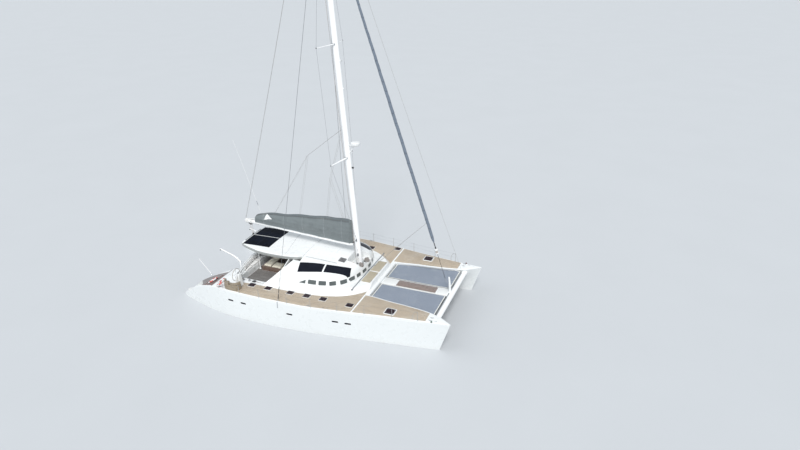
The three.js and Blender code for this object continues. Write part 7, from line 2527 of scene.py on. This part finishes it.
for s, side in SIDES:
    b = Build()
    xs_ = [-6.1, -4.35, -2.75, -0.62, 1.1, 2.9, 4.7, 6.5, 8.15]
    tops = []
    for n, x in enumerate(xs_):
        y = side * (deck_edge(x, 0.045) + 0.0)
        z = 2.031
        b.lathe([(0.034, z), (0.034, z + 0.006), (0.019, z + 0.014), (0.0165, z + 0.05)], (x, y, 0), seg=16, mi=0)
        b.tube([(x, y, z + 0.01), (x, y + side * 0.004, z + 0.33), (x, y + side * 0.008, z + 0.63)], [0.0125, 0.012, 0.012], 12, 0)
        b.lathe([(0.0125, 0.0), (0.015, 0.004), (0.012, 0.014), (0.0, 0.016)], (x, y + side * 0.008, z + 0.628), seg=12, mi=1)
        tops.append((x, y + side * 0.008, z + 0.61))
    # pulpit ends at each end of the wires
    for x, up in ((-6.1, 1), (8.15, -1)):
        t = tops[0] if up == 1 else tops[-1]
        b.tube(curve([t, (t[0] + up * 0.18, t[1], t[2] - 0.03), (t[0] + up * 0.32, t[1], t[2] - 0.28), (t[0] + up * 0.34, t[1], 2.035)], 18), 0.0115, 12, 0)
    b.make(f"{s}_stanchions", [STEEL, BLACK], sharp=50)
    b = Build()
    for dz in (0.0, -0.29):
        for p, q in zip(tops[:-1], tops[1:]):
            a, c = Vector(p) + Vector((0, 0, dz)), Vector(q) + Vector((0, 0, dz))
            n = 9
            b.tube([a.lerp(c, k / (n - 1)) - Vector((0, 0, 0.012 * 4 * (k / (n - 1)) * (1 - k / (n - 1)))) for k in range(n)], 0.0035, 6, 0)
    b.make(f"{s}_lifelines", [WIRE], sharp=80)
    b = Build()
    for x in (8.93, 0.9, -6.0):
        if x > 8:
            y = side * (3.9 + 0.02)
            cleat(b, (x, y, 2.032), (1, 0.12 * side, 0), 1.0, 0)
        else:
            cleat(b, (x, side * (deck_edge(x, 0.13)), 2.0385), (1, 0, 0), 1.0, 0)
    cleat(b, (8.93, side * (3.9 - 0.30), 2.032), (1, 0, 0), 0.9, 0)
    # fairlead on the bow and fuel and water fillers
    b.tube(curve([(9.32, side * 3.86, 2.028), (9.30, side * 3.86, 2.065), (9.26, side * 3.90, 2.078), (9.22, side * 3.94, 2.065), (9.20, side * 3.94, 2.028)], 14), 0.009, 10, 0)
    for x in (-1.6, 1.9, 2.15):
        y = side * (deck_edge(x, 0.20))
        b.lathe([(0.042, 2.0385), (0.042, 2.042), (0.034, 2.0435), (0.0, 2.0435)], (x, y, 0), seg=24, mi=0)
        b.box((x - 0.02, y - 0.003, 2.0434), (x + 0.02, y + 0.003, 2.0446), 0.001, 1)
    b.make(f"{s}_mooring_gear", [STEEL, BLACK], sharp=45)
    # winches and clutches on the coaming beside the helm
    b = Build()
    for x, y, k in ((-5.12, 3.66, 1.3), (-4.62, 3.62, 1.1)):
        winch(b, (x, side * y, 2.033), (0, 0, 1), k, 0, 1, 2 if k > 1.2 else None)
    b.box((-4.34, side * 3.62 - 0.10, 2.033), (-4.10, side * 3.62 + 0.10, 2.088), 0.012, 1)
    for k in range(4):
        y = side * 3.62 - 0.072 + 0.048 * k
        b.box((-4.30, y - 0.014, 2.086), (-4.16, y + 0.014, 2.112), 0.008, 0 if k % 2 else 1)
        if k in (1, 2):      # the two lines in use run straight from their clutches to the winches
            b.tube([(-4.34, y, 2.094), ((-4.62, side * 3.62 + (y - side * 3.62) * 1.6, 2.100) if k == 1 else (-5.12, side * 3.66 + (y - side * 3.62) * 2.2, 2.110))], 0.006, 7, 2 + k % 2)
        b.tube([(-4.11, y, 2.06), (-3.4, side * (3.63 + 0.012 * k), 2.052), (-2.6, side * (3.66 + 0.012 * k), 2.062)], 0.006, 7, 2 + k % 2)
    b.box((-2.66, side * 3.68 - 0.07, 2.031), (-2.52, side * 3.68 + 0.07, 2.078), 0.015, 1)
    b.make(f"{s}_cockpit_winches", [STEEL, BLACK, ROPEW, ROPEB], sharp=50)
    # navigation light on the bow's shoulder
    b = Build()
    x = 9.02
    y = deck_edge(x, 0.03)
    b.box((x - 0.06, side * y - 0.03, 2.031), (x + 0.06, side * y + 0.03, 2.075), 0.012, 1)
    b.lathe([(0.026, 2.072), (0.030, 2.078), (0.030, 2.108), (0.026, 2.114)], (x, side * y, 0), seg=20, mi=0)
    b.lathe([(0.031, 2.112), (0.031, 2.120), (0.02, 2.128), (0.0, 2.128)], (x, side * y, 0), seg=20, mi=1)
    b.make(f"{s}_side_light", [GREEN if side < 0 else RED, BLACK], sharp=45)

# handrails on the roof's shoulders
b = Build()
for s, side in SIDES:
    for x0, x1, y0 in ((-1.15, 1.35, 1.62),):
        pts = []
        for k in range(26):
            t = k / 25
            x = x0 + (x1 - x0) * t
            y = side * (y0 - 0.10 * t)
            lift = 0.055 * min(1, min(t, 1 - t) / 0.05)
            pts.append((x, y, roof_z(x, y) + 0.004 + lift))
        b.tube(pts, 0.011, 10, 0)
        for t in (0.25, 0.5, 0.75):
            x = x0 + (x1 - x0) * t
            y = side * (y0 - 0.10 * t)
            b.tube([(x, y, roof_z(x, y)), (x, y, roof_z(x, y) + 0.056)], 0.010, 10, 0)
b.make("roof_handrails", STEEL, sharp=50)

# lifebuoys on the starboard quarter, with their grab lines
def lifebuoy(b, at, normal, R=0.29, r=0.062):
    o, n = Vector(at), Vector(normal).normalized()
    a = Vector((0, 0, 1)) - n * n.z
    a = a.normalized() if a.length > 0.2 else Vector((1, 0, 0))
    c = n.cross(a)
    N = 48
    for part in range(8):
        rings = []
        for k in range(N // 8 + 1):
            t = (part * N // 8 + k) / N * 2 * math.pi
            d = a * math.cos(t) + c * math.sin(t)
            grow = 1.035 if part % 2 else 1.0
            rings.append([o + d * (R + math.cos(j / 16 * 2 * math.pi) * r * grow) + n * math.sin(j / 16 * 2 * math.pi) * r * 0.82 * grow for j in range(16)])
        b.loft(rings, 1 if part % 2 else 0)
    line = []
    for k in range(65):
        t = k / 64 * 2 * math.pi + 0.39
        bulge = abs(math.sin((t - 0.39) * 2)) * 0.045
        line.append(o + (a * math.cos(t) + c * math.sin(t)) * (R + r * 1.04 + bulge))
    b.tube(line, 0.006, 7, 2)


b = Build()
lifebuoy(b, (-7.543, -3.95, 1.676), (-0.536, 0.0, 0.844), 0.31, 0.066)
b.make("lifebuoy_1", [REDPLASTIC, WHITEPLASTIC, ROPEW], sharp=50)
b = Build()
lifebuoy(b, (-6.02, -4.95, 2.352), (-0.62, -0.22, 0.75), 0.31, 0.066)
b.make("lifebuoy_2", [REDPLASTIC, WHITEPLASTIC, ROPEW], sharp=50)
# turning blocks round the mast's foot
b = Build()
for k in range(6):
    a = math.radians(-100 + 40 * k)
    o = Vector((2.3 + math.cos(a) * 0.36, math.sin(a) * 0.32, 2.955))
    block(b, o + Vector((0, 0, 0.045)), (-math.sin(a), math.cos(a), 0), 1.25, 1, 0)
    b.box((-0.03, -0.02, -0.01), (0.03, 0.02, 0.01), 0.005, 0, at=o)
b.make("mast_foot_blocks", [STEEL, BLACK], sharp=45)


# flap of the bag that closes round the mast's after side, on the boom's side of the hinge
b = Build()
v, f = [], []
rows, cols = 26, 20
for i in range(rows + 1):
    z = 4.46 + (6.16 - 4.46) * i / rows
    zt, z0 = along(BAGS, 1, 1640) / 1000, bag_foot(1.64)
    u = min(0.985, max(0.02, (z - z0) / (zt - z0)))
    wide = abs(bag_point(1.635, -(1 - u)).y)
    for j in range(cols + 1):
        a = -1 + 2 * j / cols                          # -1 starboard edge at the bag, 0 at the mast, 1 port edge
        k = 1 - abs(a)
        x = 1.63 + 0.235 * math.sin(k * math.pi / 2) ** 0.9 + 0.012 * math.sin(z * 11 + a * 2) * k
        y = math.copysign((wide * 0.96) * (1 - k) ** 0.75 + 0.05 * k * (1 - k), a) + 0.010 * math.sin(z * 7.3 + 2 * a) * math.sin(math.pi * min(1, 1.1 * k))
        v.append((x, y, z))
for i in range(rows):
    for j in range(cols):
        q = i * (cols + 1) + j
        f.append([q, q + 1, q + cols + 2, q + cols + 1])
flap = Build().add(v, f).make("mainsail_cover_front", BAGCLOTH, body="boom", sharp=60)
b = Build()
for z in (4.62, 4.95, 5.28, 5.61, 5.94):
    b.tube(curve([(1.66, -0.165, z), (1.78, -0.125, z + 0.01), (1.874, -0.03, z + 0.012), (1.874, 0.03, z + 0.012), (1.78, 0.125, z + 0.01), (1.66, 0.165, z)], 26), 0.007, 8, 0)
    b.box((1.862, -0.022, z - 0.01), (1.888, 0.022, z + 0.036), 0.005, 1)
b.make("mainsail_cover_straps", [BAGTRIM, BLACK], body="boom", sharp=60)

# rope bags and the lines led through the mast well
def rope_bag(name, at, turn, size, mat, seed):
    """cloth bag that bulges low, drawn together and puckered at its mouth"""
    w, d, h = size
    M = Matrix.Translation(at) @ Matrix.Rotation(math.radians(turn), 4, "Z")
    rings = []
    N = 32
    for k in range(13):
        u = k / 12
        out = 1 + 0.16 * math.sin(math.pi * min(1, u * 1.15)) - 0.10 * u
        ring = []
        for j in range(N):
            a = j / N * 2 * math.pi
            c, q = math.cos(a), math.sin(a)
            e = 0.010 * math.sin(3 * a + seed) + 0.007 * math.sin(7 * a + 4 * u + seed * 2)
            ring.append(M @ Vector((math.copysign(abs(c) ** 0.7, c) * (w / 2 + e) * out, math.copysign(abs(q) ** 0.7, q) * (d / 2 + e) * out, h * u - (0.025 * math.sin(2 * a + seed) * u * u))))
        rings.append(ring)
    mouth, hub = rings[-1], sum((q for q in rings[-1]), Vector()) / N
    for k in range(1, 7):
        u = k / 6
        rings.append([hub.lerp(p, 1 - 0.86 * u) + Vector((0, 0, 0.045 * math.sin(u * 1.7) + 0.008 * (1 - abs(2 * u - 1)) * math.sin(j * 2.36))) for j, p in enumerate(mouth)])
    return Build().loft(rings).make(name, mat, sharp=70)


for n, (at, turn, size, mat) in enumerate((((2.70, 0.36, 2.934), 12, (0.34, 0.20, 0.26), GREYBAG), ((2.64, -0.44, 2.934), -20, (0.30, 0.19, 0.24), GREYBAG), ((2.02, -0.62, 2.934), 8, (0.36, 0.18, 0.24), TANBAG))):
    o = rope_bag(f"rope_bag_{n + 1}", Vector(at), turn, size, mat, n + 3)
b = Build()
ends = [(mast_x(3.5) - 0.18, -0.165, 3.45), (mast_x(3.5) - 0.15, -0.185, 3.45), (mast_x(3.5) - 0.18, 0.168, 3.45), (mast_x(3.5) - 0.14, 0.185, 3.45), (mast_x(3.5) - 0.215, -0.15, 3.45)]
for n, e in enumerate(ends):
    a = math.radians(-100 + 40 * n)
    o = (2.3 + math.cos(a) * 0.40, math.sin(a) * 0.36, 3.0)
    b.tube([e, o], 0.0065, 7, n % 3)
    b.tube([(o[0], o[1], 2.985), (1.60, -0.30 + 0.15 * n, 2.975)], 0.0065, 7, n % 3)
b.make("mast_well_lines", [ROPEG, ROPEW, ROPEB], sharp=80)

# joint across the hardtop
b = Build()
pts = [(-2.54, -1.92), (-2.66, -1.3), (-2.80, -0.65), (-2.93, 0.0), (-3.06, 0.54), (-3.12, 1.2), (-3.10, 1.9)]
line = [p for p in curve([(x, y, 0) for x, y in pts], 50)]
b.loft([[(p.x - 0.007, p.y, hardtop_z(p.x, p.y) - 0.004), (p.x + 0.007, p.y, hardtop_z(p.x, p.y) - 0.004), (p.x + 0.005, p.y, hardtop_z(p.x, p.y) + 0.0025), (p.x - 0.005, p.y, hardtop_z(p.x, p.y) + 0.0025)] for p in line])
b.make("hardtop_joint", GREYPLASTIC, sharp=60)

# looks of the pieces kept from the drawing
KEPT = {"bridgedeck": GEL, "starboard_aft_bulkhead": GEL_IN, "port_aft_bulkhead": GEL_IN, "starboard_aft_window": DARKGLASS, "port_aft_window": DARKGLASS,
        "saloon_door": MASTPAINT, "saloon_door_glass": DARKGLASS}
for n, m in KEPT.items():
    o = NODES[n]
    for i in range(len(o.material_slots)):
        o.material_slots[i].material = m
    if not o.material_slots:
        o.data.materials.append(m)


# ---------------------------------------------------------------- floor and light
def m_floor():
    k = Mat("studio_floor", (0.56, 0.58, 0.6, 1), 0.85, spec=0.15)
    k.vary(k.noise(0.15, 3), 0.015)
    return k.done()


floor = Build().add([(-900, -900, 0), (900, -900, 0), (900, 900, 0), (-900, 900, 0)], [[0, 1, 2, 3]]).make("studio_floor", m_floor(), body=None, merge=False)


def sun(name, direction, strength, angle, colour=(1, 1, 1)):
    l = bpy.data.lights.new(name, "SUN")
    l.energy, l.angle, l.color = strength, math.radians(angle), colour
    o = bpy.data.objects.new(name, l)
    o.rotation_mode = "QUATERNION"
    o.rotation_quaternion = Vector(direction).to_track_quat("Z", "Y")
    bpy.context.scene.collection.objects.link(o)


sun("key", (0.34, -0.80, 0.92), 2.55, 20, (1.0, 0.985, 0.965))
sun("fill", (-0.85, -0.30, 0.75), 0.5, 45, (0.95, 0.97, 1.0))
world = bpy.data.worlds.new("studio")
world.use_nodes = True
world.node_tree.nodes["Background"].inputs[0].default_value = (0.86, 0.93, 1.0, 1)
world.node_tree.nodes["Background"].inputs[1].default_value = 0.60
bpy.context.scene.world = world
bpy.context.scene.view_settings.view_transform = "Standard"
